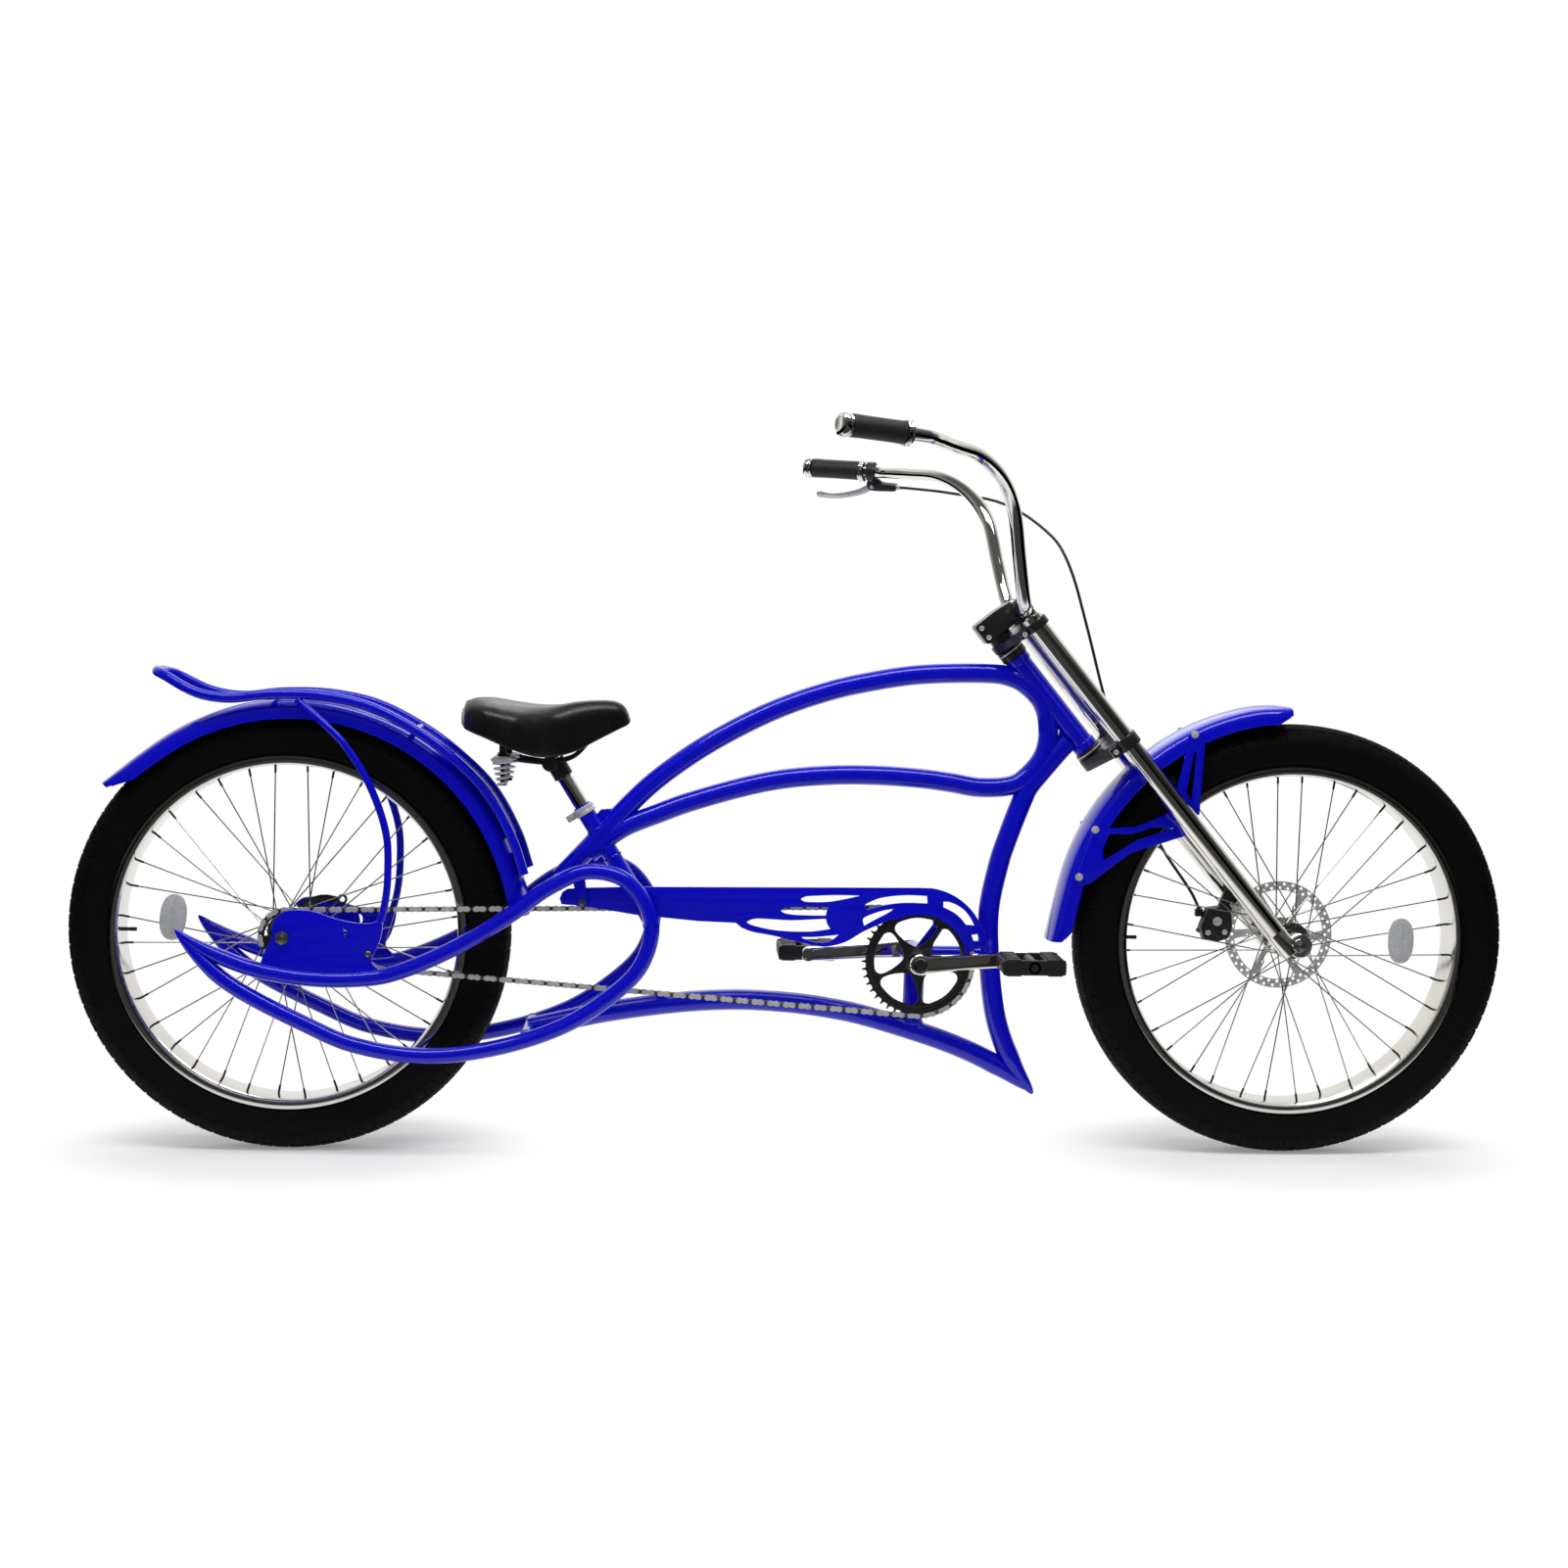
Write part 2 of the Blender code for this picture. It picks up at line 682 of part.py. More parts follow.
def chainring():
    """Toothed ring with five round windows and a boss for the spindle."""
    window_out = CHAINRING_RADIUS * 0.545
    window = CHAINRING_RADIUS * 0.285
    holes = []
    for k in range(5):
        angle = math.radians(94.0 + 72.0 * k)
        middle = (window_out * math.cos(angle), window_out * math.sin(angle))
        holes.append(circle(middle, window, 10, angle))
    bore = around(SPINDLE_RADIUS + GAP, 16)
    holes.append(circle((0, 0), bore, 16))
    body = plate(toothed(CHAINRING_TEETH, CHAINRING_RADIUS), SPROCKET_THICKNESS, holes)
    return moved(body, BRACKET + Vector((0, -CHAIN_LINE, 0)))


def rear_sprocket():
    """Sprocket with three lightening slots, on the driver of the hub."""
    holes = []
    for k in range(3):
        middle = math.radians(30.0 + 120.0 * k)
        angles = [middle + math.radians(a) for a in (-32, 0, 32)]
        far = [(0.0335 * math.cos(a), 0.0335 * math.sin(a)) for a in angles]
        near = [(0.0255 * math.cos(a), 0.0255 * math.sin(a)) for a in reversed(angles)]
        holes.append(far + near)
    bore = around(AXLE_DIAMETER / 2 + BEARING_FIT, 16)
    holes.append(circle((0, 0), bore, 16))
    body = plate(toothed(SPROCKET_TEETH, SPROCKET_RADIUS), SPROCKET_THICKNESS, holes)
    return moved(body, REAR_AXLE + Vector((0, -CHAIN_LINE, 0)))


def rotor():
    """Brake disc: a drilled band on six arms."""
    inner = ROTOR_RADIUS - ROTOR_BAND
    holes = []
    for k in range(6):
        first = math.degrees(math.tau * k / 6) + 6
        last = first + 48
        far = arc((0, 0), inner, first, last, 4)
        near = arc((0, 0), 0.030, last - 14, first - 14, 2)
        holes.append(far + near)
    for k in range(12):
        angle = math.tau * (k + 0.5) / 12
        middle = ROTOR_RADIUS - ROTOR_BAND / 2
        holes.append(circle((middle * math.cos(angle), middle * math.sin(angle)), 0.0034, 4, angle))
    bore = around(0.0120 + GAP, 18)
    holes.append(circle((0, 0), bore, 18))
    body = plate(circle((0, 0), ROTOR_RADIUS, 30), ROTOR_THICKNESS, holes)
    return moved(body, FRONT_AXLE + Vector((0, ROTOR_OUT, 0)))


def rear_axle():
    """Axle with its two domed nuts outside the dropouts."""
    plate_out = LOOP_HALF_SPACING + DROPOUT_THICKNESS / 2 + GAP
    radius = AXLE_DIAMETER / 2
    nut = 0.0110
    end = plate_out + 0.012
    profile = (
        (0, -end),
        (0.006, -end),
        (nut - 0.001, -end + 0.005),
        (nut, -plate_out),
        (radius, -plate_out),
        (radius, plate_out),
        (nut, plate_out),
        (nut - 0.001, end - 0.005),
        (0.006, end),
        (0, end),
    )
    return turned(profile, 12, REAR_AXLE, (0, 1, 0))


def coaster_arm():
    """The reaction arm of the back pedal brake, with an eye at its end."""
    out = LOOP_HALF_SPACING - DROPOUT_THICKNESS / 2 - 0.0031
    eye = (0.0691, 0.0415)
    bore = around(AXLE_DIAMETER / 2 + GAP, 16)
    outline = arc((0, 0), 0.020, 105, 395, 14)
    outline += [(0.0300, 0.0390), (0.0610, 0.0370)]
    outline += arc(eye, 0.0085, -100, 150, 7)
    outline += [(0.0330, 0.0490), (0.0120, 0.0430), (-0.0010, 0.0330)]
    body = plate(outline, 0.0050, (circle((0, 0), bore, 16), circle(eye, 0.0045, 8)))
    return moved(body, REAR_AXLE + Vector((0, out, 0)))


# Chain


def chain_route():
    """Pin places round both sprockets as (x, z, near a sprocket), one pitch apart."""
    rear = np.array((REAR_AXLE.x, REAR_AXLE.z))
    front = np.array((BRACKET.x, BRACKET.z))
    apart = front - rear
    span = float(np.hypot(*apart))
    tilt = math.atan2(apart[1], apart[0])
    wrap = math.asin((CHAINRING_RADIUS - SPROCKET_RADIUS) / span)
    run = math.sqrt(span**2 - (CHAINRING_RADIUS - SPROCKET_RADIUS) ** 2)
    front_arc = (math.pi + 2 * wrap) * CHAINRING_RADIUS
    rear_arc = (math.pi - 2 * wrap) * SPROCKET_RADIUS
    total = front_arc + rear_arc + 2 * run
    links = 2 * round(total / PITCH / 2)
    top = tilt + math.pi / 2 + wrap

    def place(s):
        if s < front_arc:
            angle = top - s / CHAINRING_RADIUS
            return front + CHAINRING_RADIUS * np.array((math.cos(angle), math.sin(angle))), angle
        s -= front_arc
        low = top - front_arc / CHAINRING_RADIUS
        if s < run:
            start = front + CHAINRING_RADIUS * np.array((math.cos(low), math.sin(low)))
            head = np.array((math.sin(low), -math.cos(low)))
            return start + s * head, low
        s -= run
        if s < rear_arc:
            angle = low - s / SPROCKET_RADIUS
            return rear + SPROCKET_RADIUS * np.array((math.cos(angle), math.sin(angle))), angle
        s -= rear_arc
        start = rear + SPROCKET_RADIUS * np.array((math.cos(top), math.sin(top)))
        head = np.array((math.sin(top), -math.cos(top)))
        return start + s * head, top

    clear = CHAIN_HEIGHT / 2 + 0.0040
    front_free = math.sqrt(2 * CHAINRING_RADIUS * clear) + PITCH / 2
    rear_free = math.sqrt(2 * SPROCKET_RADIUS * clear) + PITCH / 2
    stations = []
    for i in range(links):
        s = total * i / links
        point, angle = place(s)
        in_front = s < front_arc + front_free or s > total - front_free
        in_rear = front_arc + run - rear_free < s < front_arc + run + rear_arc + rear_free
        height = CHAIN_HEIGHT if i % 2 == 0 else CHAIN_WAIST
        stations.append((point, angle, height, in_front or in_rear))
    return stations


def chain():
    """One closed loop: a band that swells at every other pin, with side plates either side of the teeth."""
    stations = chain_route()
    half = CHAIN_WIDTH / 2
    slot = CHAIN_SLOT / 2
    shape = bmesh.new()
    rings = []
    count = len(stations)
    for i, (point, angle, height, split) in enumerate(stations):
        beside = stations[i - 1][3] or stations[(i + 1) % count][3]
        edge = not split and beside
        wide = split or edge
        levels = (-half, -slot, slot, half) if wide else (-half, half)
        out = np.array((math.cos(angle), math.sin(angle))) * height / 2
        high = [shape.verts.new((point[0] + out[0], -CHAIN_LINE + y, point[1] + out[1])) for y in levels]
        low = [shape.verts.new((point[0] - out[0], -CHAIN_LINE + y, point[1] - out[1])) for y in levels]
        rings.append((high, low, split, edge))
    for i in range(count):
        high_a, low_a, split_a, edge_a = rings[i]
        high_b, low_b, split_b, edge_b = rings[(i + 1) % count]
        if split_a or split_b:
            for first, second in ((0, 1), (2, 3)):
                a = (high_a[first], high_a[second], low_a[second], low_a[first])
                b = (high_b[first], high_b[second], low_b[second], low_b[first])
                for k in range(4):
                    after = (k + 1) % 4
                    shape.faces.new((a[k], a[after], b[after], b[k]))
            continue
        shape.faces.new((*high_a, *reversed(high_b)))
        shape.faces.new((*low_a, *reversed(low_b)))
        shape.faces.new((high_a[0], high_b[0], low_b[0], low_a[0]))
        shape.faces.new((high_a[-1], high_b[-1], low_b[-1], low_a[-1]))
    for high, low, split, edge in rings:
        if edge:
            shape.faces.new((high[1], high[2], low[2], low[1]))
    return finished(shape)


# Frame


def rear_loop_path():
    """The loop's middle line from its tail tip, over the top, round the front and back below."""
    tip = (-0.1683, 0.0112)
    upper = ((-0.1450, -0.0062), (-0.1050, -0.0280), (-0.0444, -0.0505), (0.0322, -0.0640))
    rise = ((0.1090, -0.0660), (0.1723, -0.0570), (0.2651, -0.0177))
    front = ((-0.0190, 0.0380), (0.0427, 0.0830), (0.1047, 0.1097), (0.1670, 0.0946), (0.2066, 0.0321))
    turn = ((0.1917, -0.0390), (0.1375, -0.0947), (0.0598, -0.1426))
    lower = ((0.3279, -0.1770), (0.2191, -0.1882), (0.1090, -0.1704), (0.0321, -0.1369), (-0.0445, -0.0983))
    tail = ((-0.0896, -0.0700), (-0.1208, -0.0430), (-0.1480, -0.0140))
    points = [by_rear(x, z) for x, z in (tip, *upper, *rise)]
    points += [by_stay(x, z) for x, z in front + turn]
    return points + [by_rear(x, z) for x, z in (*lower, *tail, tip)]


def rear_loop(y, grown=0.0):
    """Two strands that meet in one sharp tail."""
    points = thinned(smooth(rear_loop_path(), 6), 13.0, 0.12, 0.016)
    run = lengths_along(points)
    radii = []
    for s in run:
        from_tip = min(s, run[-1] - s)
        share = min(1.0, math.sqrt(from_tip / TIP_TAPER))
        radii.append(max(TIP_RADIUS, LOOP_TUBE_DIAMETER / 2 * share) + grown)
    half = len(points) // 2
    points = [point + Vector((0, y, 0)) for point in points]
    first = sweep(points[: half + 2], radii[: half + 2], 8)
    second = sweep(points[half:], [radius + LAP for radius in radii[half:]], 8)
    return fused(first, second)


def both_loops(grown):
    return [rear_loop(side * LOOP_HALF_SPACING, grown) for side in (-1, 1)]


def bridge(place, grown=0.0):
    """A straight tube between the two loops."""
    reach = Vector((0, LOOP_HALF_SPACING, 0))
    return rod(place - reach, place + reach, BRIDGE_DIAMETER / 2 + grown, 10)


def head_tube():
    """The steering tube with a collar at each end, bored for the steerer."""
    radius = HEAD_TUBE_RADIUS
    length = HEAD_TUBE_TOP - HEAD_TUBE_BOTTOM
    bore = around(STEERER_RADIUS + 0.0012, STEER_FACETS)
    collar = radius + 0.0025
    profile = (
        (bore, 0),
        (collar, 0),
        (collar, 0.012),
        (radius, 0.014),
        (radius, length - 0.014),
        (collar, length - 0.012),
        (collar, length),
        (bore, length),
    )
    return turned(profile, STEER_FACETS, by_steering(HEAD_TUBE_BOTTOM, 0), STEER_UP)


def head_tube_cutter():
    radius = around(HEAD_TUBE_RADIUS + 0.0025 + GAP, STEER_FACETS)
    return rod(by_head(-0.020, 0), by_head(HEAD_TUBE_LENGTH + 0.020, 0), radius, STEER_FACETS)


def top_loop_path():
    """From the bridge between the rear loops, up and over to the head tube and back below."""
    rise = ((0.0565, 0.0905), (0.0904, 0.1264), (0.1907, 0.2330), (0.2640, 0.2907), (0.3402, 0.3367))
    over = ((-0.2197, 0.4092), (-0.1397, 0.4367), (-0.0762, 0.4513), (-0.0132, 0.4617), (0.0448, 0.4658))
    nose = ((0.1974, -0.0527), (0.1746, -0.0303), (0.1458, -0.0154), (0.1041, -0.0116), (0.0654, -0.0290))
    turn = ((0.0363, -0.0594), (0.0248, -0.0977), (0.0276, -0.1323), (0.0587, -0.1778))
    back = ((0.0559, 0.2872), (0.0047, 0.2936), (-0.0679, 0.2979), (-0.1398, 0.2974), (-0.2153, 0.2908))
    fall = ((0.3568, 0.2425), (0.2648, 0.2154), (0.2144, 0.1963), (0.1618, 0.1747))
    foot = ((0.1290, 0.1530), (0.1030, 0.1300))
    points = [by_stay(x, z) for x, z in rise]
    points += [by_bracket(x, z) for x, z in over]
    points += [by_head(up, forward) for up, forward in nose + turn]
    points += [by_bracket(x, z) for x, z in back]
    points += [by_stay(x, z) for x, z in fall + foot]
    return points


def top_tubes(grown=0.0):
    points = thinned(smooth(top_loop_path(), 6), 11.0, 0.12)
    radius = TOP_TUBE_DIAMETER / 2 + grown
    last = len(points) - 6
    first = sweep(points[: last + 2], radius, 8)
    second = sweep(points[last:], radius + LAP, 8)
    return fused(first, second)


def seat_bore():
    radius = around(SEAT_POST_DIAMETER / 2 + GAP, SEAT_FACETS)
    return rod(by_seat(-0.060), by_seat(SEAT_POST_BELOW + 0.075), radius, SEAT_FACETS)


def top_loop():
    """The long leaf shaped loop, its tail bridge, and the collar that takes the seat post."""
    stub = rod(by_seat(-0.016), by_seat(SEAT_STUB), SEAT_TUBE_DIAMETER / 2, SEAT_FACETS)
    corners = [by_seat(0.010, 0.010), by_seat(0.006, 0.024), by_seat(0.022, 0.056), by_seat(0.040, 0.020)]
    gusset = plate([(corner.x, corner.z) for corner in corners], 0.006)
    body = fused(top_tubes(), stub, gusset, bridge(by_stay(0.0565, 0.0905)))
    return cut(body, head_tube_cutter(), seat_bore(), *both_loops(GAP))


def down_path():
    """From the head tube, round behind the front wheel, down to the sharp toe."""
    near_head = ((0.0278, -0.0177), (0.0226, -0.0473), (0.0152, -0.0847), (0.0083, -0.1147))
    shape = ((0.1692, 0.2515), (0.1504, 0.1999), (0.1369, 0.1576), (0.1214, 0.0766), (0.1236, -0.0048))
    toe = ((0.1338, -0.0885), (0.1489, -0.1404), (0.1699, -0.1842), (0.2000, -0.2270))
    points = [by_head(up, forward) for up, forward in near_head]
    return points + [by_bracket(x, z) for x, z in shape + toe]


def toe_radii(points, radius, reach, from_end):
    """Radii that narrow to the toe over the last part of a tube."""
    run = lengths_along(points)
    found = []
    for s in run:
        away = run[-1] - s if from_end else s
        found.append(max(0.003, radius * min(1.0, math.sqrt((away + 0.004) / reach))))
    return found


def down_tube(grown=0.0):
    points = thinned(smooth(down_path(), 6), 10.0, 0.10, 0.022)
    radii = toe_radii(points, DOWN_TUBE_DIAMETER / 2, 0.075, True)
    return sweep(points, [radius + grown for radius in radii], 8)


def lower_path():
    toe = ((0.1940, -0.2200), (0.1500, -0.1870), (0.1087, -0.1641), (0.0634, -0.1446), (0.0130, -0.1268))
    middle = ((-0.0840, -0.0979), (-0.1436, -0.0859), (-0.2134, -0.0772))
    tail = ((0.3433, -0.1086), (0.2499, -0.1140), (0.1315, -0.1305), (0.0430, -0.1500), (0.0080, -0.1580))
    return [by_bracket(x, z) for x, z in toe + middle] + [by_stay(x, z) for x, z in tail]


def lower_tube():
    """The long lower tube, which ends on a bridge between the rear loops."""
    points = thinned(smooth(lower_path(), 6), 9.0, 0.12, 0.020)
    radii = toe_radii(points, DOWN_TUBE_DIAMETER / 2, 0.075, False)
    body = fused(sweep(points, radii, 8), bridge(by_stay(0.0080, -0.1580)))
    return cut(body, down_tube(GAP), *both_loops(GAP))


def lower_cutter():
    points = thinned(smooth(lower_path(), 6), 9.0, 0.12, 0.020)
    return sweep(points, DOWN_TUBE_DIAMETER / 2 + GAP, 8)


def seat_tube():
    """The seat tube below the top loop, on a bridge between the fronts of the rear loops."""
    foot = by_seat(SEAT_TUBE_LENGTH)
    body = fused(rod(by_seat(SEAT_STUB + GAP), foot, SEAT_TUBE_DIAMETER / 2, SEAT_FACETS), bridge(foot))
    return cut(body, top_tubes(GAP), seat_bore(), *both_loops(GAP))


def bracket_shell():
    """Crank bearing shell with its strut, its brace to the down tube and the tab for the guard."""
    half = BRACKET_SHELL_HALF
    radius = BRACKET_SHELL_RADIUS
    side = Vector((0, half, 0))
    bore = around(radius - 0.0035, 16)
    shell = turned(((bore, -half), (radius, -half), (radius, half), (bore, half)), 16, BRACKET, (0, 1, 0))
    core = rod(BRACKET - 2 * side, BRACKET + 2 * side, radius - 0.0015, 16)
    strut = rod(BRACKET, by_bracket(-0.002, -0.1200), STRUT_DIAMETER / 2, 12)
    brace = rod(by_bracket(0.0, 0.006), by_bracket(0.1300, 0.006), BRACE_DIAMETER / 2, 12)
    tab = [(-0.012, 0.010), (0.012, 0.005), (0.0400, 0.0500), (0.0370, 0.0630), (0.0270, 0.0620)]
    ear = moved(plate(tab, 0.003), BRACKET + Vector((0, -half + 0.0019, 0)))
    arms = cut(fused(strut, brace, ear), core, down_tube(GAP), lower_cutter())
    return fused(shell, arms)


def bracket_cartridge():
    """Sealed bearing unit between shell and spindle."""
    half = BRACKET_SHELL_HALF - 0.001
    outer = BRACKET_SHELL_RADIUS - 0.0035 - GAP
    inner = around(SPINDLE_RADIUS + BEARING_FIT, 18)
    profile = ((inner, -half), (outer, -half), (outer, half), (inner, half))
    return turned(profile, 18, BRACKET, (0, 1, 0))


def dropout(side):
    """Side plate inside the loop, with the axle hole, a small slit and the eye for the rack leg."""
    left = [(0.0069, 0.0436), (-0.0090, 0.0330), (-0.0160, 0.0180), (-0.0170, 0.0000), (-0.0300, -0.0280)]
    low = [(-0.0360, -0.0470), (0.0320, -0.0600), (0.1090, -0.0620), (0.1560, -0.0530)]
    right = [(0.1400, -0.0360), (0.1480, -0.0180), (0.1560, 0.0060), (0.1560, 0.0270)]
    top = [(0.1350, 0.0240), (0.1122, 0.0251), (0.0834, 0.0313), (0.0477, 0.0427)]
    slit = [(0.0962, 0.0165), (0.1010, 0.0130), (0.1015, 0.0040), (0.0985, 0.0010), (0.0975, 0.0080)]
    bore = around(AXLE_DIAMETER / 2 + GAP, 16)
    eye = (0.1354, -0.0245)
    holes = (circle((0, 0), bore, 16), slit, circle(eye, 0.0033, 8))
    body = plate(left + low + right + top, DROPOUT_THICKNESS, holes)
    y = side * LOOP_HALF_SPACING
    return cut(moved(body, REAR_AXLE + Vector((0, y, 0))), rear_loop(y, GAP))


def headset(bottom, top):
    """A bearing cup between the head tube and a crown."""
    bore = around(STEERER_RADIUS + BEARING_FIT, STEER_FACETS)
    height = top - bottom
    profile = ((bore, 0), (CUP_RADIUS - 0.002, 0), (CUP_RADIUS, 0.003), (CUP_RADIUS, height - 0.003),
               (CUP_RADIUS - 0.002, height), (bore, height))
    return turned(profile, STEER_FACETS, by_steering(bottom, 0), STEER_UP)


def crown_heights():
    """Bottom and top of the lower crown, then of the upper one, from the steering foot."""
    lower_top = HEAD_TUBE_BOTTOM - CUP_LOWER_HEIGHT
    upper_bottom = HEAD_TUBE_TOP + CUP_UPPER_HEIGHT
    return lower_top - CROWN_LOWER_THICKNESS, lower_top, upper_bottom, upper_bottom + CROWN_UPPER_THICKNESS


def seat_clamp():
    """Split collar round the top of the seat tube, with its bolt behind."""
    bore = around(SEAT_TUBE_DIAMETER / 2 + GAP, SEAT_FACETS)
    outer = SEAT_TUBE_DIAMETER / 2 + 0.0035
    profile = ((bore, 0), (outer, 0), (outer, 0.014), (bore, 0.014))
    collar = turned(profile, SEAT_FACETS, by_seat(0.0), -SEAT_DOWN)
    lug = box((-0.0330, -0.0055, -0.0055), (-0.0165, 0.0055, 0.0055))
    lug = framed(lug, by_seat(-0.007), SEAT_ACROSS, -SEAT_DOWN)
    bolt = rod(by_seat(-0.007, -0.0255, -0.0095), by_seat(-0.007, -0.0255, 0.0095), 0.0040, 8)
    return fused(collar, lug, bolt)


# Fenders, rack and guard


def fender(centre, stations, half_width):
    """A curved mudguard: stations give angle, crown radius, depth and width share along it."""
    rings = []
    for degrees, radius, depth, share in stations:
        angle = math.radians(degrees)
        out = Vector((math.cos(angle), 0, math.sin(angle)))
        wide = half_width * share
        outer = [(1.0, 1.0), (0.95, 0.45), (0.62, 0.10), (0.0, 0.0)]
        side = [(wide * u, radius - depth * v) for u, v in outer]
        outside = side + [(-y, r) for y, r in reversed(side[:-1])]
        inner = [(1.0, 1.0), (0.80, 0.34), (0.0, 0.02)]
        crown_in = radius - FENDER_WALL
        low = [((wide - FENDER_WALL) * u, crown_in - (depth - FENDER_WALL) * v) for u, v in inner]
        inside = [(-y, r) for y, r in low[:-1]] + [(y, r) for y, r in reversed(low)]
        rings.append([centre + r * out + Vector((0, y, 0)) for y, r in outside + inside])
    return loft(rings)


def fender_stations(first, last, radius, count, flare_first, flare_last, depth):
    """Stations from one end to the other, with both ends drawn outwards and shallower."""
    stations = []
    for i in range(count):
        t = i / (count - 1)
        out = flare_first * max(0.0, 1 - t / 0.12) ** 2 + flare_last * max(0.0, (t - 0.84) / 0.16) ** 2
        edge = min(1.0, t / 0.08 + 0.45, (1 - t) / 0.08 + 0.65)
        width_share = 0.80 + 0.20 * min(1.0, edge)
        stations.append((first + (last - first) * t, radius + out, depth * edge, width_share))
    return stations


def front_fender():
    """Fender with the side plates that hold it to the fork legs, each with a spacer against its leg."""
    stations = fender_stations(91.5, 180.5, FRONT_FENDER_RADIUS, 14, -0.006, 0.010, 0.030)
    body = fender(FRONT_AXLE, stations, FENDER_HALF_WIDTH)
    out = FENDER_HALF_WIDTH + 0.0006
    leg_face = LEG_HALF_SPACING - LEG_DIAMETER / 2 - GAP
    plates = []
    for side in (-1, 1):
        for outline, holes, foot in fender_brackets():
            plates.append(moved(plate(outline, 0.0030, holes), Vector((0, side * out, 0))))
            near = leg_place(side, foot)
            plates.append(rod((near.x, side * out, near.z), (near.x, side * leg_face, near.z), 0.0070, 6))
    return fused(body, *plates)


def fender_brackets():
    """Side plates as outline, holes and the height of their foot on the leg, seen from the side."""
    def at(points):
        radius = FRONT_FENDER_RADIUS
        found = [round_fender(FRONT_AXLE, radius, degrees, -inside) for degrees, inside in points]
        return [(point.x, point.z) for point in found]

    rear = at([
        (133.8, 0.1446), (138.8, 0.1321), (164.6, 0.0390), (165.8, 0.0228), (164.4, 0.0137), (161.7, 0.0150),
        (152.4, 0.0107), (150.1, 0.0106), (149.0, 0.0317), (140.2, 0.0802), (133.1, 0.0946), (131.1, 0.1086),
    ])
    window = at([(137.4, 0.1154), (157.3, 0.0475), (154.7, 0.0384), (150.4, 0.0358), (141.9, 0.0876)])
    front = at([
        (130.3, 0.0686), (128.7, 0.0709), (120.5, 0.0251), (118.4, 0.0056), (116.5, 0.0057), (115.1, 0.0147),
        (115.1, 0.0248), (127.8, 0.1266), (133.6, 0.1057),
    ])
    notch = at([(127.0, 0.0844), (127.3, 0.1010), (118.8, 0.0387), (118.9, 0.0335)])
    rear_foot = FRONT_FENDER_RADIUS - 0.1400
    front_foot = FRONT_FENDER_RADIUS - 0.0860
    return (rear, [window], rear_foot), (front, [notch], front_foot)


def rear_fender_centre():
    return REAR_AXLE + Vector((REAR_FENDER_SHIFT, 0, 0))


def rear_fender():
    stations = fender_stations(141.5, 5.0, REAR_FENDER_RADIUS, 18, 0.010, 0.003, 0.030)
    return fender(rear_fender_centre(), stations, FENDER_HALF_WIDTH)


def over_wheel(degrees, over, y):
    return round_fender(rear_fender_centre(), REAR_FENDER_RADIUS, degrees, over, y)


def rack_rail_path(y):
    """A rail's middle line from its tail, over the fender and down in front of the wheel."""
    behind = ((116.0, 0.0824), (110.9, 0.0363), (104.5, 0.0135), (94.8, 0.0089), (83.4, 0.0091))
    before = ((71.7, 0.0105), (59.5, 0.0076), (49.0, 0.0075), (37.0, 0.0106), (24.5, 0.0087), (15.2, 0.0074))
    path = [over_wheel(degrees, over, y) for degrees, over in behind + before]
    path[0].y = 0.72 * y
    return path


def rack_strip(path, low, high, thickness):
    """A flat strip that follows a rail's line between two places across the carrier."""
    rings = []
    for i, point in enumerate(path):
        head = path[min(i + 1, len(path) - 1)] - path[max(i - 1, 0)]
        out = Vector((-head.z, 0, head.x)).normalized() * thickness / 2
        corners = ((low, -1), (high, -1), (high, 1), (low, 1))
        rings.append([Vector((point.x, y, point.z)) + side * out for y, side in corners])
    return loft(rings)


def rack():
    """Carrier over the rear wheel: rails joined behind, four slats, a plate in front and two bent legs."""
    right = smooth(rack_rail_path(-RACK_HALF_WIDTH), 2)
    left = smooth(rack_rail_path(RACK_HALF_WIDTH), 2)
    tail = [over_wheel(117.4, 0.0940, y) for y in (-0.020, 0.020)]
    hoop = smooth([right[0], *tail, left[0]], 2)
    line = thinned(right[::-1] + hoop[1:-1] + left, 9.0, 0.11)
    rails = sweep(line, RACK_RAIL_DIAMETER / 2, 6)
    middle = [Vector((point.x, 0, point.z)) for point in right]
    wide = RACK_HALF_WIDTH - 0.004
    flats = []
    for y in (-0.033, -0.011, 0.011, 0.033):
        flats.append(rack_strip(middle[6:14:2], y - 0.004, y + 0.004, 0.003))
    for i in (6, 12):
        flats.append(rod(right[i], left[i], RACK_BAR_DIAMETER / 2, 6))
    flats.append(rack_strip(middle[14:19:2], -wide, wide, 0.0026))
    pad = ((15.0, 2 * GAP), (15.0, 2 * GAP + 0.006), (21.0, 2 * GAP + 0.006), (21.0, 2 * GAP))
    ring = [over_wheel(degrees, over, 0.0) for degrees, over in pad]
    flats.append(loft([[point + Vector((0, y, 0)) for point in ring] for y in (-wide, wide)]))
    legs = []
    foot_out = LOOP_HALF_SPACING - DROPOUT_THICKNESS / 2 - GAP - RACK_LEG_DIAMETER / 2
    for side in (-1, 1):
        bend = (0.0653, -0.0388, foot_out - 0.003)
        upper = ((0.0190, -0.0010, RACK_HALF_WIDTH), bend, (0.0960, -0.0694, foot_out))
        lower = ((0.1345, 0.2459), (0.1616, 0.1683), (0.1647, 0.1000), (0.1594, 0.0509), (0.1460, 0.0050))
        shape = [by_rear(x, REAR_FENDER_RADIUS + over, side * y) for x, over, y in upper]
        shape += [by_rear(x, z, side * foot_out) for x, z in (*lower, (0.1354, -0.0290))]
        path = thinned(smooth(shape, 4), 9.0, 0.11)
        legs.append(sweep(path, RACK_LEG_DIAMETER / 2, 6))
    return cut(fused(rails, *flats, *legs), *both_loops(GAP))


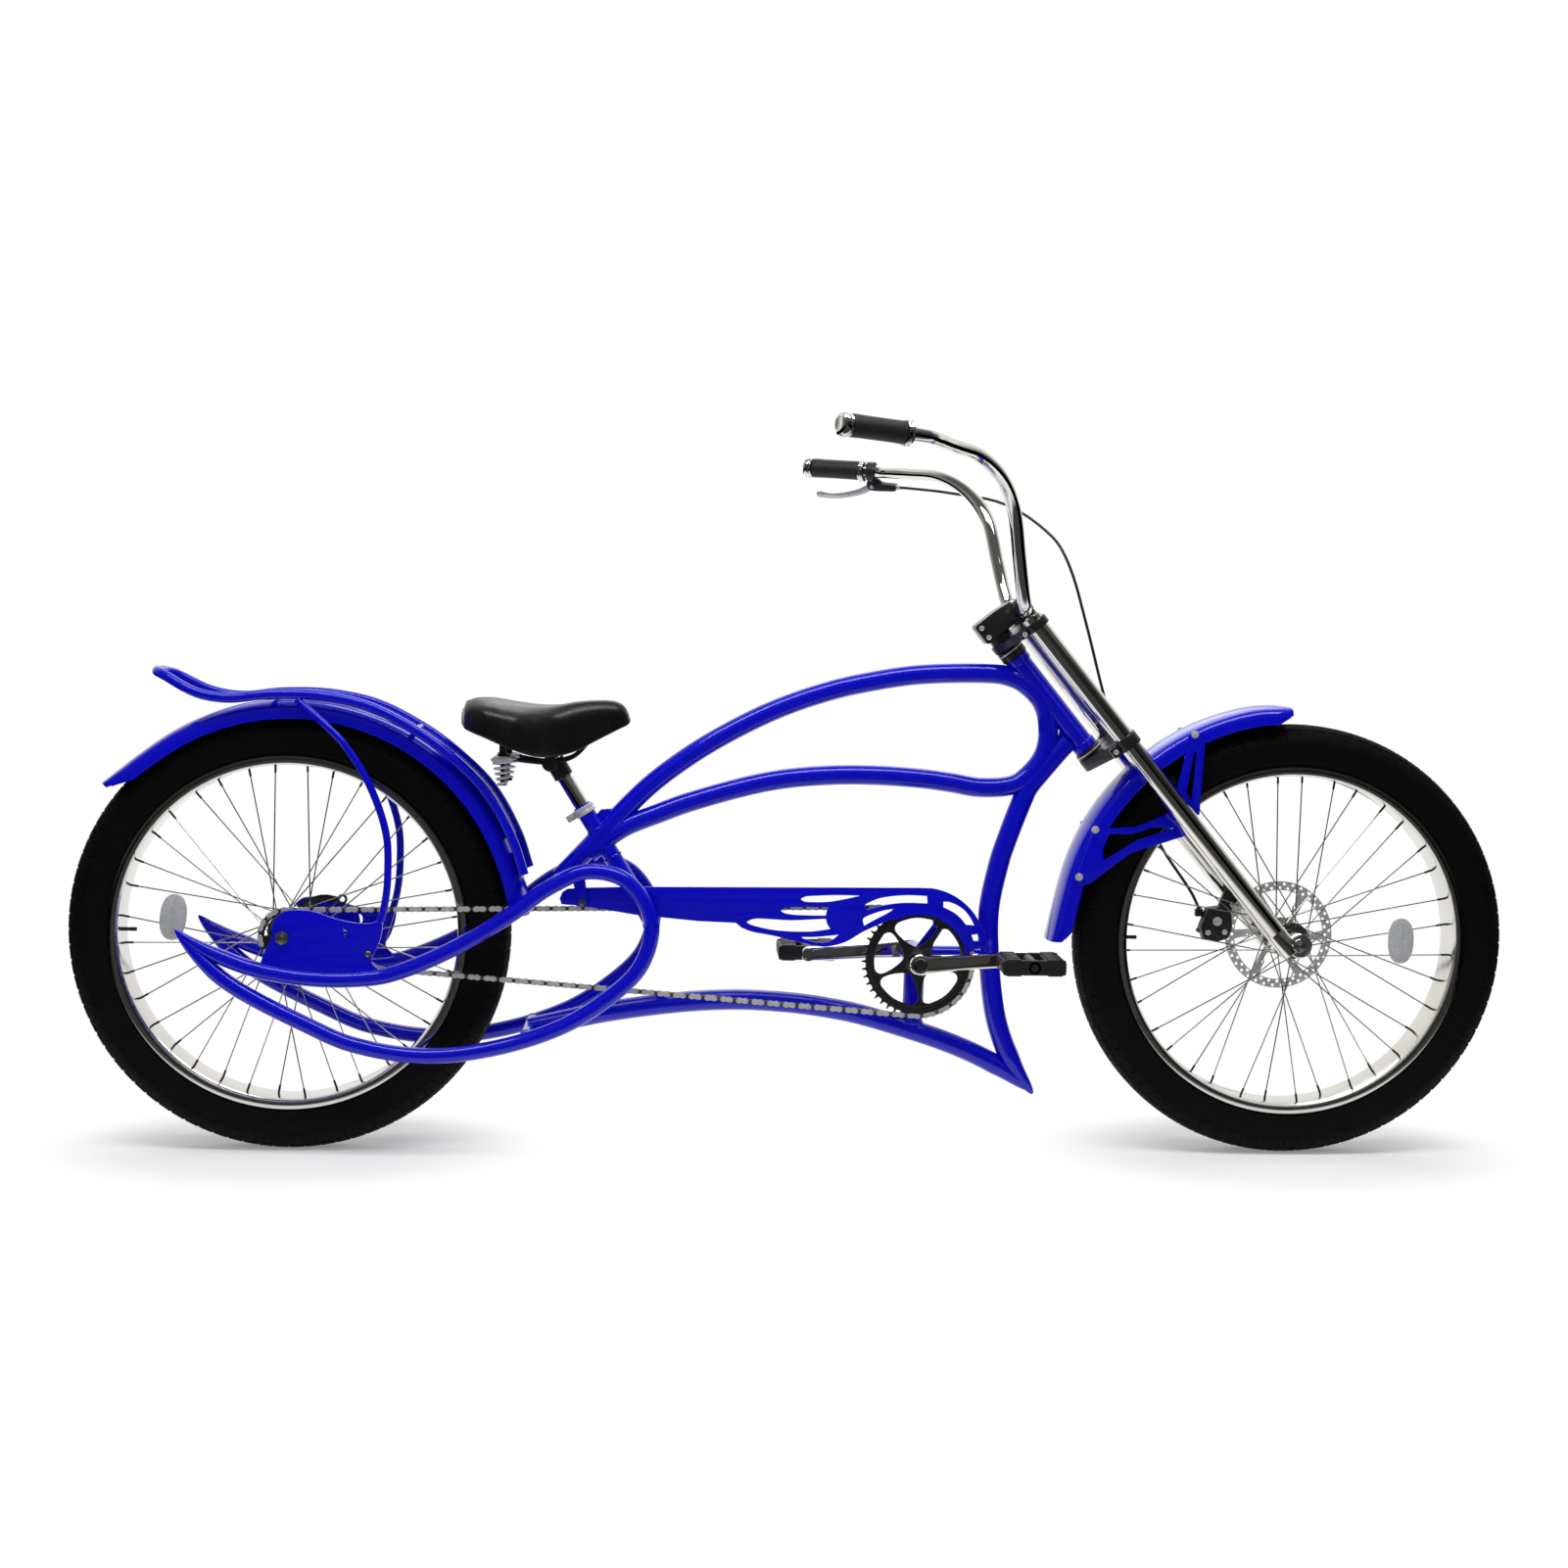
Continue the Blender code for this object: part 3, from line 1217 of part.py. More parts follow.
def chain_guard():
    """Pierced plate over the chain with a curl round the front of the chainring."""
    edge_out = 0.105
    curl = (0.005, 0.017)
    upper = [(-0.5784, 0.0987), (-0.5666, 0.1145), (-0.5487, 0.1165), (-0.4560, 0.1190), (0.0, 0.1215)]
    front = arc(curl, edge_out, 82, 6, 9)
    arch = arc((0, 0), 0.0775, 12, 118, 10)
    low = curve_2d([(-0.0450, 0.0700), (-0.0898, 0.0498), (-0.1197, 0.0322), (-0.1529, 0.0244),
                    (-0.1893, 0.0308), (-0.2348, 0.0416), (-0.2700, 0.0480), (-0.2868, 0.0543)], 2)
    tail = [(-0.2960, 0.0620), (-0.3562, 0.0643), (-0.4585, 0.0740), (-0.5425, 0.0875), (-0.5754, 0.0897)]
    outline = upper + front + arch + low + tail
    holes = [
        [(-0.1904, 0.1015), (-0.1784, 0.1065), (-0.1361, 0.1081), (-0.0980, 0.1075), (-0.1450, 0.0975),
         (-0.1752, 0.0962)],
        [(-0.2218, 0.0821), (-0.2143, 0.0880), (-0.1509, 0.0889), (-0.1530, 0.0758), (-0.2021, 0.0759)],
        [(-0.2764, 0.0635), (-0.2629, 0.0697), (-0.2056, 0.0680), (-0.1560, 0.0680), (-0.1420, 0.0535),
         (-0.1751, 0.0491), (-0.2265, 0.0502), (-0.2628, 0.0566)],
        [(-0.1879, 0.0390), (-0.1562, 0.0412), (-0.1330, 0.0430), (-0.1439, 0.0330), (-0.1742, 0.0330)],
        [(-0.0880, 0.0925), (-0.0665, 0.1038), (-0.0242, 0.1091), (0.0116, 0.1076), (0.0125, 0.0963),
         (-0.0239, 0.0965), (-0.0602, 0.0920), (-0.0840, 0.0860)],
        [(-0.0910, 0.0711), (-0.0661, 0.0820), (-0.0400, 0.0870), (-0.0539, 0.0785), (-0.0749, 0.0675),
         (-0.0890, 0.0590)],
        [(0.0473, 0.0985), (0.0688, 0.0877), (0.0885, 0.0620), (0.0745, 0.0625), (0.0567, 0.0815),
         (0.0384, 0.0900)],
        [(0.0849, 0.0452), (0.0940, 0.0452), (0.0950, 0.0361), (0.0880, 0.0361)],
    ]
    y = -GUARD_OUT + GUARD_THICKNESS / 2
    body = moved(plate(outline, GUARD_THICKNESS, holes), BRACKET + Vector((0, y, 0)))
    inner = -BRACKET_SHELL_HALF - GAP
    shelf = box((0.0200, -GUARD_OUT + 0.001, 0.0975), (0.0340, inner, 0.1005))
    stay = [(0.0200, 0.1005), (0.0340, 0.1005), (0.0400, 0.0560), (0.0330, 0.0490), (0.0250, 0.0560)]
    stay = moved(plate(stay, 0.003), Vector((0, inner - 0.0015, 0)))
    near_loop = by_stay(0.0830, 0.0760) - BRACKET
    tip = Vector((-0.5425, 0, 0.0936))
    ear_top = near_loop.z + 0.028
    ear = [(tip.x - 0.008, tip.z - 0.004), (tip.x + 0.008, tip.z - 0.006), (tip.x + 0.004, ear_top),
           (tip.x - 0.018, ear_top)]
    ear = moved(plate(ear, 0.0056), Vector((0, -GUARD_OUT - 0.0026, 0)))
    pieces = [moved(piece, BRACKET) for piece in (shelf, stay, ear)]
    return cut(fused(body, *pieces), rear_loop(-LOOP_HALF_SPACING, GAP))


# Steering


def leg_place(side, up):
    return by_steering(up, LEG_OFFSET, side * LEG_HALF_SPACING)


def fork_leg(side, grown=0.0):
    """Straight leg with a boss in front of its foot for the axle."""
    y = side * LEG_HALF_SPACING
    radius = LEG_DIAMETER / 2 + grown
    tube = rod(leg_place(side, -0.004 - grown), leg_place(side, LEG_TOP + grown), radius, LEG_FACETS)
    reach = Vector((0, LEG_DIAMETER / 2 - 0.0020 + grown, 0))
    middle = FRONT_AXLE + Vector((0, y, 0))
    boss = rod(middle - reach, middle + reach, 0.0200 + grown, LEG_FACETS)
    return fused(tube, boss)


def bored_leg(side):
    reach = Vector((0, LEG_DIAMETER, 0))
    middle = FRONT_AXLE + Vector((0, side * LEG_HALF_SPACING, 0))
    bore = around(AXLE_DIAMETER / 2 + GAP, 16)
    return cut(fork_leg(side), rod(middle - reach, middle + reach, bore, 16))


def front_axle():
    """Axle with a nut at each end, outside the legs."""
    face = LEG_HALF_SPACING + LEG_DIAMETER / 2 - 0.0020 + GAP
    radius = AXLE_DIAMETER / 2
    end = face + 0.010
    profile = (
        (0, -end),
        (0.0065, -end),
        (0.0095, -end + 0.003),
        (0.0095, -face),
        (radius, -face),
        (radius, face),
        (0.0095, face),
        (0.0095, end - 0.003),
        (0.0065, end),
        (0, end),
    )
    return turned(profile, 12, FRONT_AXLE, (0, 1, 0))


def steerer_hole(bottom, top):
    """Cutter for a piece that sits on the steerer between two heights."""
    radius = around(STEERER_RADIUS + GAP, STEER_FACETS)
    return rod(by_steering(bottom - 0.01, 0), by_steering(top + 0.01, 0), radius, STEER_FACETS)


def crown(bottom, top):
    """A clamp plate that joins both legs to the steerer."""
    collar = LEG_DIAMETER / 2 + 0.0035
    thick = top - bottom
    corners = []
    corners += circle((0.0, 0.0), 0.0235, 14)
    for side in (-1, 1):
        corners += circle((LEG_OFFSET, side * LEG_HALF_SPACING), collar, 14)
    outline = hull(corners)
    body = plate(outline, thick)
    middle = by_steering((bottom + top) / 2, 0)
    frame = Matrix((STEER_FORWARD, STEER_UP, Vector((0, 1, 0)))).transposed().to_4x4()
    frame.translation = middle
    placed(body, frame)
    holes = [steerer_hole(bottom, top)]
    for side in (-1, 1):
        ends = (leg_place(side, bottom - 0.01), leg_place(side, top + 0.01))
        holes.append(rod(*ends, around(LEG_DIAMETER / 2 + GAP, LEG_FACETS), LEG_FACETS))
    relief = plate(arc((LEG_OFFSET + 0.060, 0), 0.060, 120, 240, 7), thick * 3)
    placed(relief, frame)
    bolts = []
    for side in (-1, 1):
        place = by_steering((bottom + top) / 2, LEG_OFFSET - 0.026, side * (LEG_HALF_SPACING + 0.001))
        bolts.append(rod(place - Vector((0, 0.012, 0)), place + Vector((0, 0.012, 0)), 0.0042, 6))
    return fused(cut(body, *holes, relief), *bolts)


def hull(points):
    """The convex outline round the points."""
    ordered = sorted(set(points))
    halves = []
    for run in (ordered, ordered[::-1]):
        kept = []
        for point in run:
            while len(kept) > 1:
                (ax, ay), (bx, by) = kept[-2:]
                if (bx - ax) * (point[1] - ay) - (by - ay) * (point[0] - ax) > 1e-9:
                    break
                kept.pop()
            kept.append(point)
        halves += kept[:-1]
    return halves


def steerer():
    bottom = crown_heights()[0]
    top = crown_heights()[3] + STEM_HEIGHT
    return rod(by_steering(bottom, 0), by_steering(top - 0.002, 0), STEERER_RADIUS, STEER_FACETS)


def bar_middle():
    return by_steering(BAR_RISE, BAR_REACH)


def stem():
    """Clamp block on the steerer with a split front clamp for the bar."""
    bottom = crown_heights()[3] + GAP
    top = bottom + STEM_HEIGHT
    neck = rod(by_steering(bottom, 0), by_steering(bottom + 0.014, 0), STEM_NECK_RADIUS, STEER_FACETS)
    block = framed(
        box((-0.0260, -STEM_HALF_WIDTH, 0.010), (BAR_REACH - 0.006, STEM_HALF_WIDTH, STEM_HEIGHT)),
        by_steering(bottom, 0),
        STEER_FORWARD,
        STEER_UP,
    )
    clamp_half = Vector((0, STEM_HALF_WIDTH + 0.002, 0))
    middle = bar_middle()
    clamp = rod(middle - clamp_half, middle + clamp_half, BAR_DIAMETER / 2 + 0.0085, 16)
    cap_low = by_steering(BAR_RISE - 0.018, BAR_REACH + 0.004)
    lug = framed(box((0, -0.018, 0), (0.012, 0.018, 0.036)), cap_low, STEER_FORWARD, STEER_UP)
    bar_hole = rod(middle - 2 * clamp_half, middle + 2 * clamp_half, around(BAR_DIAMETER / 2 + GAP, 12), 12)
    return cut(fused(block, neck, clamp, lug), bar_hole, steerer_hole(bottom, top))


def bar_half_path(side):
    """The bar's middle line on one side, from the stem to the outer end of the grip."""
    middle = bar_middle()
    rise = ((0.0000, 0.0320, 0.0000), (-0.0030, 0.0800, 0.0020), (-0.0116, 0.1062, 0.0354))
    bend = ((-0.0201, 0.1258, 0.0804), (-0.0346, 0.1557, 0.1538), (-0.0605, 0.1986, 0.1996))
    sweep_back = ((-0.1031, 0.2497, 0.2305), (-0.1500, 0.3150, 0.2400), (-0.1790, 0.3640, 0.2445))
    end = ((-0.2228, 0.4022, 0.2485),)
    return [middle + Vector((x, side * y, z)) for x, y, z in rise + bend + sweep_back + end]


def grip_line(side):
    """Where a grip starts on the bar, and the direction it points."""
    start = bar_half_path(side)[-1]
    return start, Vector((-0.1078, side * 0.0487, 0.0081)).normalized()


def handlebar():
    points = []
    for side in (-1, 1):
        start, out = grip_line(side)
        half = thinned(smooth(bar_half_path(side)[:-1] + [start - 0.026 * out], 6), 14.0, 0.11)
        half.append(start + (GRIP_LENGTH - 0.004) * out)
        points = half[::-1] if side < 0 else points + half
    return sweep(points, BAR_DIAMETER / 2, 8)


def grip(side):
    """Ribbed grip with a raised ring at its inner end."""
    start, out = grip_line(side)
    bore = around(BAR_DIAMETER / 2 + GAP, 12)
    radius = GRIP_DIAMETER / 2
    ring = radius + 0.0010
    profile = ((bore, 0.0), (ring, 0.0), (ring, 0.011), (radius - 0.0015, 0.0125), (radius, 0.016),
               (radius, GRIP_LENGTH - GAP), (bore, GRIP_LENGTH - GAP))
    return turned(profile, 14, start, out)


def grip_cap(side):
    """Rounded end cap that closes the grip."""
    start, out = grip_line(side)
    radius = GRIP_CAP_DIAMETER / 2
    length = GRIP_CAP_LENGTH
    shoulder = (radius * 0.86, length - 0.0025)
    profile = ((0, 0), (radius, 0), (radius, length - 0.007), shoulder, (radius * 0.5, length), (0, length))
    return turned(profile, 14, start + GRIP_LENGTH * out, out)


def lever_frame():
    """The lever's own directions on the left grip: along it, away from the bar, and the pivot axis."""
    start, out = grip_line(1)
    level = out.cross(Vector((0, 0, 1))).normalized()
    outward = -level if level.y < 0 else level
    down = Vector((0, 0, -1))
    away = (0.42 * outward + 0.91 * down)
    away = (away - away.dot(out) * out).normalized()
    return start, out, away, out.cross(away)


def lever_point(along, away, across=0.0):
    start, out, aside, axis = lever_frame()
    return start + along * out + away * aside + across * axis


def lever_pivot():
    return lever_point(-0.012, 0.0270)


def in_lever_frame(mesh):
    """Takes a plate drawn with X along the grip and Z away from the bar to its place."""
    start, out, away, axis = lever_frame()
    return framed(mesh, start, out, away)


def lever_perch():
    """Clamp on the bar, a fork for the lever and the barrel that the cable enters."""
    bar = around(BAR_DIAMETER / 2 + GAP, 12)
    profile = ((bar, -0.0180), (0.0165, -0.0180), (0.0165, -0.0040), (bar, -0.0040))
    start, out, away, axis = lever_frame()
    collar = turned(profile, 16, start, out)
    outline = [(-0.0170, 0.0125), (-0.0050, 0.0125), (-0.0020, 0.0260), (-0.0060, 0.0330), (-0.0180, 0.0350),
               (-0.0560, 0.0330), (-0.0560, 0.0230), (-0.0300, 0.0210)]
    body = in_lever_frame(plate(outline, 0.0130))
    slot = in_lever_frame(box((-0.0240, -0.0032, 0.0180), (0.0060, 0.0032, 0.0500)))
    barrel = rod(lever_point(-0.0520, 0.0280), lever_point(-0.0640, 0.0280), 0.0045, 10)
    return fused(cut(fused(collar, body), slot), barrel)


def brake_lever():
    """Curved finger lever with a rounded end, between the ears of the perch."""
    reach = LEVER_LENGTH
    line = [(-0.0120, 0.0270), (0.0100, 0.0390), (0.0400, 0.0480), (0.0700, 0.0520), (reach - 0.012, 0.0500)]
    spine = curve_2d(line, 2)
    widths = [0.0065, 0.0066, 0.0062, 0.0058, 0.0055, 0.0052, 0.0050, 0.0052, 0.0062]
    upper = []
    lower = []
    for i, (x, z) in enumerate(spine):
        before = spine[max(i - 1, 0)]
        after = spine[min(i + 1, len(spine) - 1)]
        head = Vector((after[0] - before[0], after[1] - before[1])).normalized()
        upper.append((x - head.y * widths[i], z + head.x * widths[i]))
        lower.append((x + head.y * widths[i], z - head.x * widths[i]))
    nose = [(spine[0][0] - 0.0065, spine[0][1] - 0.002)]
    end = [(spine[-1][0] + 0.0060, spine[-1][1] - 0.0010)]
    blade = plate(upper[::-1] + nose + lower + end, 0.0056)
    return in_lever_frame(blade)


def cable_points():
    """The brake cable's way from the lever, round the front of the head and down to the caliper."""
    start, out, away, axis = lever_frame()
    first = lever_point(-0.0643, 0.0280)
    last = caliper_stop()
    rise = caliper_way()
    return [
        first,
        first - 0.012 * out,
        Vector((WHEELBASE - 0.5400, 0.318, TYRE_RADIUS + 0.7420)),
        Vector((WHEELBASE - 0.4473, 0.240, TYRE_RADIUS + 0.7187)),
        Vector((WHEELBASE - 0.3758, 0.170, TYRE_RADIUS + 0.6616)),
        Vector((WHEELBASE - 0.3486, 0.142, TYRE_RADIUS + 0.6084)),
        Vector((WHEELBASE - 0.3215, 0.121, TYRE_RADIUS + 0.5096)),
        Vector((WHEELBASE - 0.2905, 0.112, TYRE_RADIUS + 0.3914)),
        Vector((WHEELBASE - 0.2476, 0.110, TYRE_RADIUS + 0.2629)),
        Vector((WHEELBASE - 0.1960, 0.090, TYRE_RADIUS + 0.1481)),
        last + 0.030 * rise,
        last,
    ]


def cable_curve():
    """The cable as one curve of a single open spline with filled ends."""
    route = smooth(cable_points(), 3)
    curve = bpy.data.curves.new("brake_cable_route", "CURVE")
    curve.dimensions = "3D"
    curve.bevel_depth = CABLE_DIAMETER / 2
    curve.bevel_resolution = 2
    curve.use_fill_caps = True
    line = curve.splines.new("POLY")
    line.points.add(len(route) - 1)
    for spot, place in zip(line.points, route):
        spot.co = (*place, 1.0)
    return curve


def caliper_middle():
    return FRONT_AXLE + Vector((-0.1080, 0, 0.0180))


def caliper_way():
    """Direction in which the cable leaves the caliper."""
    return Vector((-0.4600, 0.0500, 0.8864)).normalized()


def caliper_stop():
    return caliper_middle() + Vector((-0.0240, 0.0640, 0.0250))


def caliper():
    """Brake body over the edge of the disc, its lug to the fork leg and the cable stop."""
    middle = caliper_middle()
    inner = FLANGE_HALF_SPACING + 0.0010
    outer = LEG_HALF_SPACING - LEG_DIAMETER / 2 - 0.0010
    outline = [(-0.0260, -0.0060), (-0.0200, -0.0260), (0.0000, -0.0300), (0.0200, -0.0240),
               (0.0270, -0.0040), (0.0240, 0.0200), (0.0080, 0.0290), (-0.0140, 0.0260)]
    body = moved(plate(outline, outer - inner), middle + Vector((0, (outer + inner) / 2, 0)))
    lug = [(0.0080, 0.0290), (0.0200, 0.0120), (0.0620, 0.0300), (0.0400, 0.0640), (0.0200, 0.0600)]
    lug = moved(plate(lug, 0.010), middle + Vector((0, outer - 0.001, 0)))
    stop = caliper_stop()
    way = caliper_way()
    ear = box((-0.0300, outer - 0.004, 0.0100), (-0.0180, 0.0660, 0.0220))
    ear = moved(ear, Vector((middle.x, 0, middle.z)))
    ferrule = rod(stop - GAP * way - 0.014 * way, stop - GAP * way, 0.0042, 10)
    body = fused(body, lug, ear, ferrule)
    room = turned(
        ((0.0, -0.0026), (ROTOR_RADIUS + 0.0015, -0.0026), (ROTOR_RADIUS + 0.0015, 0.0026), (0.0, 0.0026)),
        36, FRONT_AXLE + Vector((0, ROTOR_OUT, 0)), (0, 1, 0),
    )
    return cut(body, room, fork_leg(1, GAP))


def caliper_arm():
    """The arm that the cable pulls, on the outer face of the caliper."""
    outer = LEG_HALF_SPACING - LEG_DIAMETER / 2 - 0.0010
    outline = arc((0, 0), 0.0095, -70, 160, 8) + [(-0.0260, -0.0090), (-0.0290, -0.0150), (-0.0230, -0.0190)]
    body = moved(plate(outline, 0.0040), caliper_middle() + Vector((0, outer + 0.0020 + GAP, 0)))
    return body


# Cranks and pedals


def crank(side):
    """Tapered arm with a round boss at the spindle, an eye at the pedal and the pedal's axle."""
    length = CRANK_LENGTH
    big = 0.0170
    small = 0.0125
    outline = arc((0, 0), big, 75, 285, 9) + arc((length, 0), small, -80, 80, 7)
    body = plate(outline, CRANK_THICKNESS)
    middle = Vector((0, CRANK_OUT + CRANK_THICKNESS / 2, 0))
    moved(body, middle)
    tip = CRANK_OUT + CRANK_THICKNESS + PEDAL_WIDTH - 0.004
    axle = rod((length, CRANK_OUT + 0.004, 0), (length, tip, 0), PEDAL_AXLE_RADIUS, 10)
    boss = rod((0, SPINDLE_OUT - 0.0260, 0), (0, CRANK_OUT + 0.004, 0), CRANK_BOSS_RADIUS, 16)
    bore = around(SPINDLE_RADIUS + GAP, 16)
    hole = rod((0, SPINDLE_OUT - 0.0400, 0), (0, SPINDLE_OUT + GAP, 0), bore, 16)
    body = cut(fused(body, axle, boss), hole)
    if side < 0:
        placed(body, Matrix.Diagonal((1.0, -1.0, 1.0, 1.0)))
    turned_about_y(body, (0, 0, 0), -CRANK_ANGLE if side < 0 else 180.0 - CRANK_ANGLE)
    return moved(body, BRACKET)


def pedal_place(side):
    """The middle of a pedal's axle in the bicycle's rest position."""
    angle = math.radians(CRANK_ANGLE if side < 0 else 180.0 + CRANK_ANGLE)
    out = CRANK_OUT + CRANK_THICKNESS + 0.003 + PEDAL_WIDTH / 2
    return BRACKET + Vector((CRANK_LENGTH * math.cos(angle), side * out, CRANK_LENGTH * math.sin(angle)))


def crank_spindle():
    reach = Vector((0, SPINDLE_OUT, 0))
    return rod(BRACKET - reach, BRACKET + reach, SPINDLE_RADIUS, 16)


def pedal(side):
    """Block pedal: two tread blocks on end plates round a bored core."""
    half_x = PEDAL_LENGTH / 2
    half_y = PEDAL_WIDTH / 2
    half_z = PEDAL_THICKNESS / 2
    core = rod((0, -half_y, 0), (0, half_y, 0), 0.0105, 12)
    blocks = []
    for end in (-1, 1):
        near = 0.0180 * end
        far = half_x * end
        rib = [(near, -half_z), (near, half_z), (far - 0.006 * end, half_z), (far, half_z - 0.006),
               (far, 0.006 - half_z), (far - 0.006 * end, -half_z)]
        blocks.append(plate(rib, PEDAL_WIDTH))
        reach = half_x - 0.004
        side_plate = [(-reach, -0.0095), (reach, -0.0095), (reach, 0.0095), (-reach, 0.0095)]
        blocks.append(moved(plate(side_plate, 0.008), Vector((0, end * (half_y - 0.0045), 0))))
    bore = rod((0, -2 * half_y, 0), (0, 2 * half_y, 0), around(PEDAL_AXLE_RADIUS + BEARING_FIT, 12), 12)
    return moved(cut(fused(core, *blocks), bore), pedal_place(side))


# Saddle


def seat_post():
    top = -SEAT_POST_ABOVE
    return rod(by_seat(top), by_seat(SEAT_POST_BELOW), SEAT_POST_DIAMETER / 2, SEAT_FACETS)


def post_top():
    return by_seat(-SEAT_POST_ABOVE)


def saddle():
    """Wide sprung saddle: a broad crowned back that narrows to a rounded nose."""
    top = post_top()
    nose = top.x + 0.1167
    stations = (
        (0.000, 0.34, 0.0860, 0.0680, 0.078),
        (0.030, 0.70, 0.1030, 0.0588, 0.096),
        (0.150, 0.97, 0.1067, 0.0467, 0.103),
        (0.300, 1.00, 0.1009, 0.0300, 0.098),
        (0.445, 0.78, 0.0966, 0.0170, 0.094),
        (0.565, 0.52, 0.0970, 0.0166, 0.095),
        (0.683, 0.38, 0.1022, 0.0248, 0.101),
        (0.800, 0.32, 0.1050, 0.0411, 0.104),
        (0.933, 0.26, 0.0983, 0.0593, 0.098),
        (1.000, 0.12, 0.0800, 0.0700, 0.080),
    )
    rings = []
    for along, wide, crown_height, low, middle in stations:
        x = nose - SADDLE_LENGTH * (1 - along)
        half = SADDLE_HALF_WIDTH * wide
        base = top.z + low
        peak = top.z + crown_height
        edge = base + 0.45 * (peak - base)
        rise = min(0.030, 0.42 * (peak - base))
        brow = (0.80, peak - 0.22 * (peak - base))
        above = ((0.0, top.z + middle), (0.45, peak + 0.0010), brow, (1.0, edge))
        below = ((0.96, base), (0.84, base + 0.002), (0.55, base + rise), (0.0, base + rise + 0.002))
        shape = above + below
        ring = [Vector((x, half * u, z)) for u, z in shape]
        ring += [Vector((x, -half * u, z)) for u, z in reversed(shape[1:-1])]
        rings.append(ring)
    return loft(rings)


def saddle_frame():
    """Under-frame: the clamp on the post, two rails up to the nose and the plate that holds the springs."""
    top = post_top()
    barrel = rod((top.x - 0.010, -0.030, top.z + 0.004), (top.x - 0.010, 0.030, top.z + 0.004), 0.0130, 14)
    hole = around(SEAT_POST_DIAMETER / 2 + GAP, SEAT_FACETS)
    bore = rod(by_seat(-0.040), by_seat(-SEAT_POST_ABOVE - 0.006), hole, SEAT_FACETS)
    low = by_seat(-SEAT_POST_ABOVE + 0.022)
    sleeve = rod(low, by_seat(-SEAT_POST_ABOVE - 0.010), SEAT_POST_DIAMETER / 2 + 0.0035, SEAT_FACETS)
    rails = []
    for side in (-1, 1):
        path = smooth([
            (top.x - 0.0840, side * 0.055, top.z + 0.0150),
            (top.x - 0.0450, side * 0.036, top.z + 0.0080),
            (top.x - 0.0100, side * 0.024, top.z + 0.0060),
            (top.x + 0.0280, side * 0.020, top.z + 0.0160),
            (top.x + 0.0560, side * 0.014, top.z + 0.0480),
            (top.x + 0.0700, side * 0.006, top.z + 0.0800),
        ], 2)
        rails.append(sweep(path, 0.0035, 5))
    rear = box((top.x - 0.1015, -0.071, top.z + 0.0120), (top.x - 0.0665, 0.071, top.z + 0.0170))
    studs = []
    for side in (-1, 1):
        foot = Vector((top.x - 0.0840, side * SPRING_HALF_SPACING, top.z + 0.0150))
        studs.append(rod(foot, foot + Vector((0, 0, 0.060)), 0.0055, 8))
    body = fused(barrel, sleeve, *rails, rear, *studs)
    return cut(body, bore, moved(saddle(), Vector((0, 0, -GAP))))


def spring_place(side):
    top = post_top()
    return Vector((top.x - 0.0840, side * SPRING_HALF_SPACING, top.z + 0.0120 - GAP))


def saddle_spring(side):
    """Conical coil, wide at the top, hanging from the plate, with a button at its foot."""
    top = spring_place(side)
    per_turn = 8
    steps = int(SPRING_TURNS * per_turn)
    wire = SPRING_WIRE / 2
    rise = SPRING_HEIGHT - SPRING_WIRE
    path = []
    for i in range(steps + 1):
        t = i / steps
        radius = SPRING_TOP_RADIUS + (SPRING_BOTTOM_RADIUS - SPRING_TOP_RADIUS) * t
        angle = side * math.tau * SPRING_TURNS * t
        path.append(top + Vector((radius * math.cos(angle), radius * math.sin(angle), -wire - rise * t)))
    return sweep(path, wire, 5)


def least_spring_gap():
    """The least clear distance between neighbouring turns of a spring."""
    rise = (SPRING_HEIGHT - SPRING_WIRE) / SPRING_TURNS
    draw = (SPRING_TOP_RADIUS - SPRING_BOTTOM_RADIUS) / SPRING_TURNS
    return math.hypot(rise, draw) - SPRING_WIRE


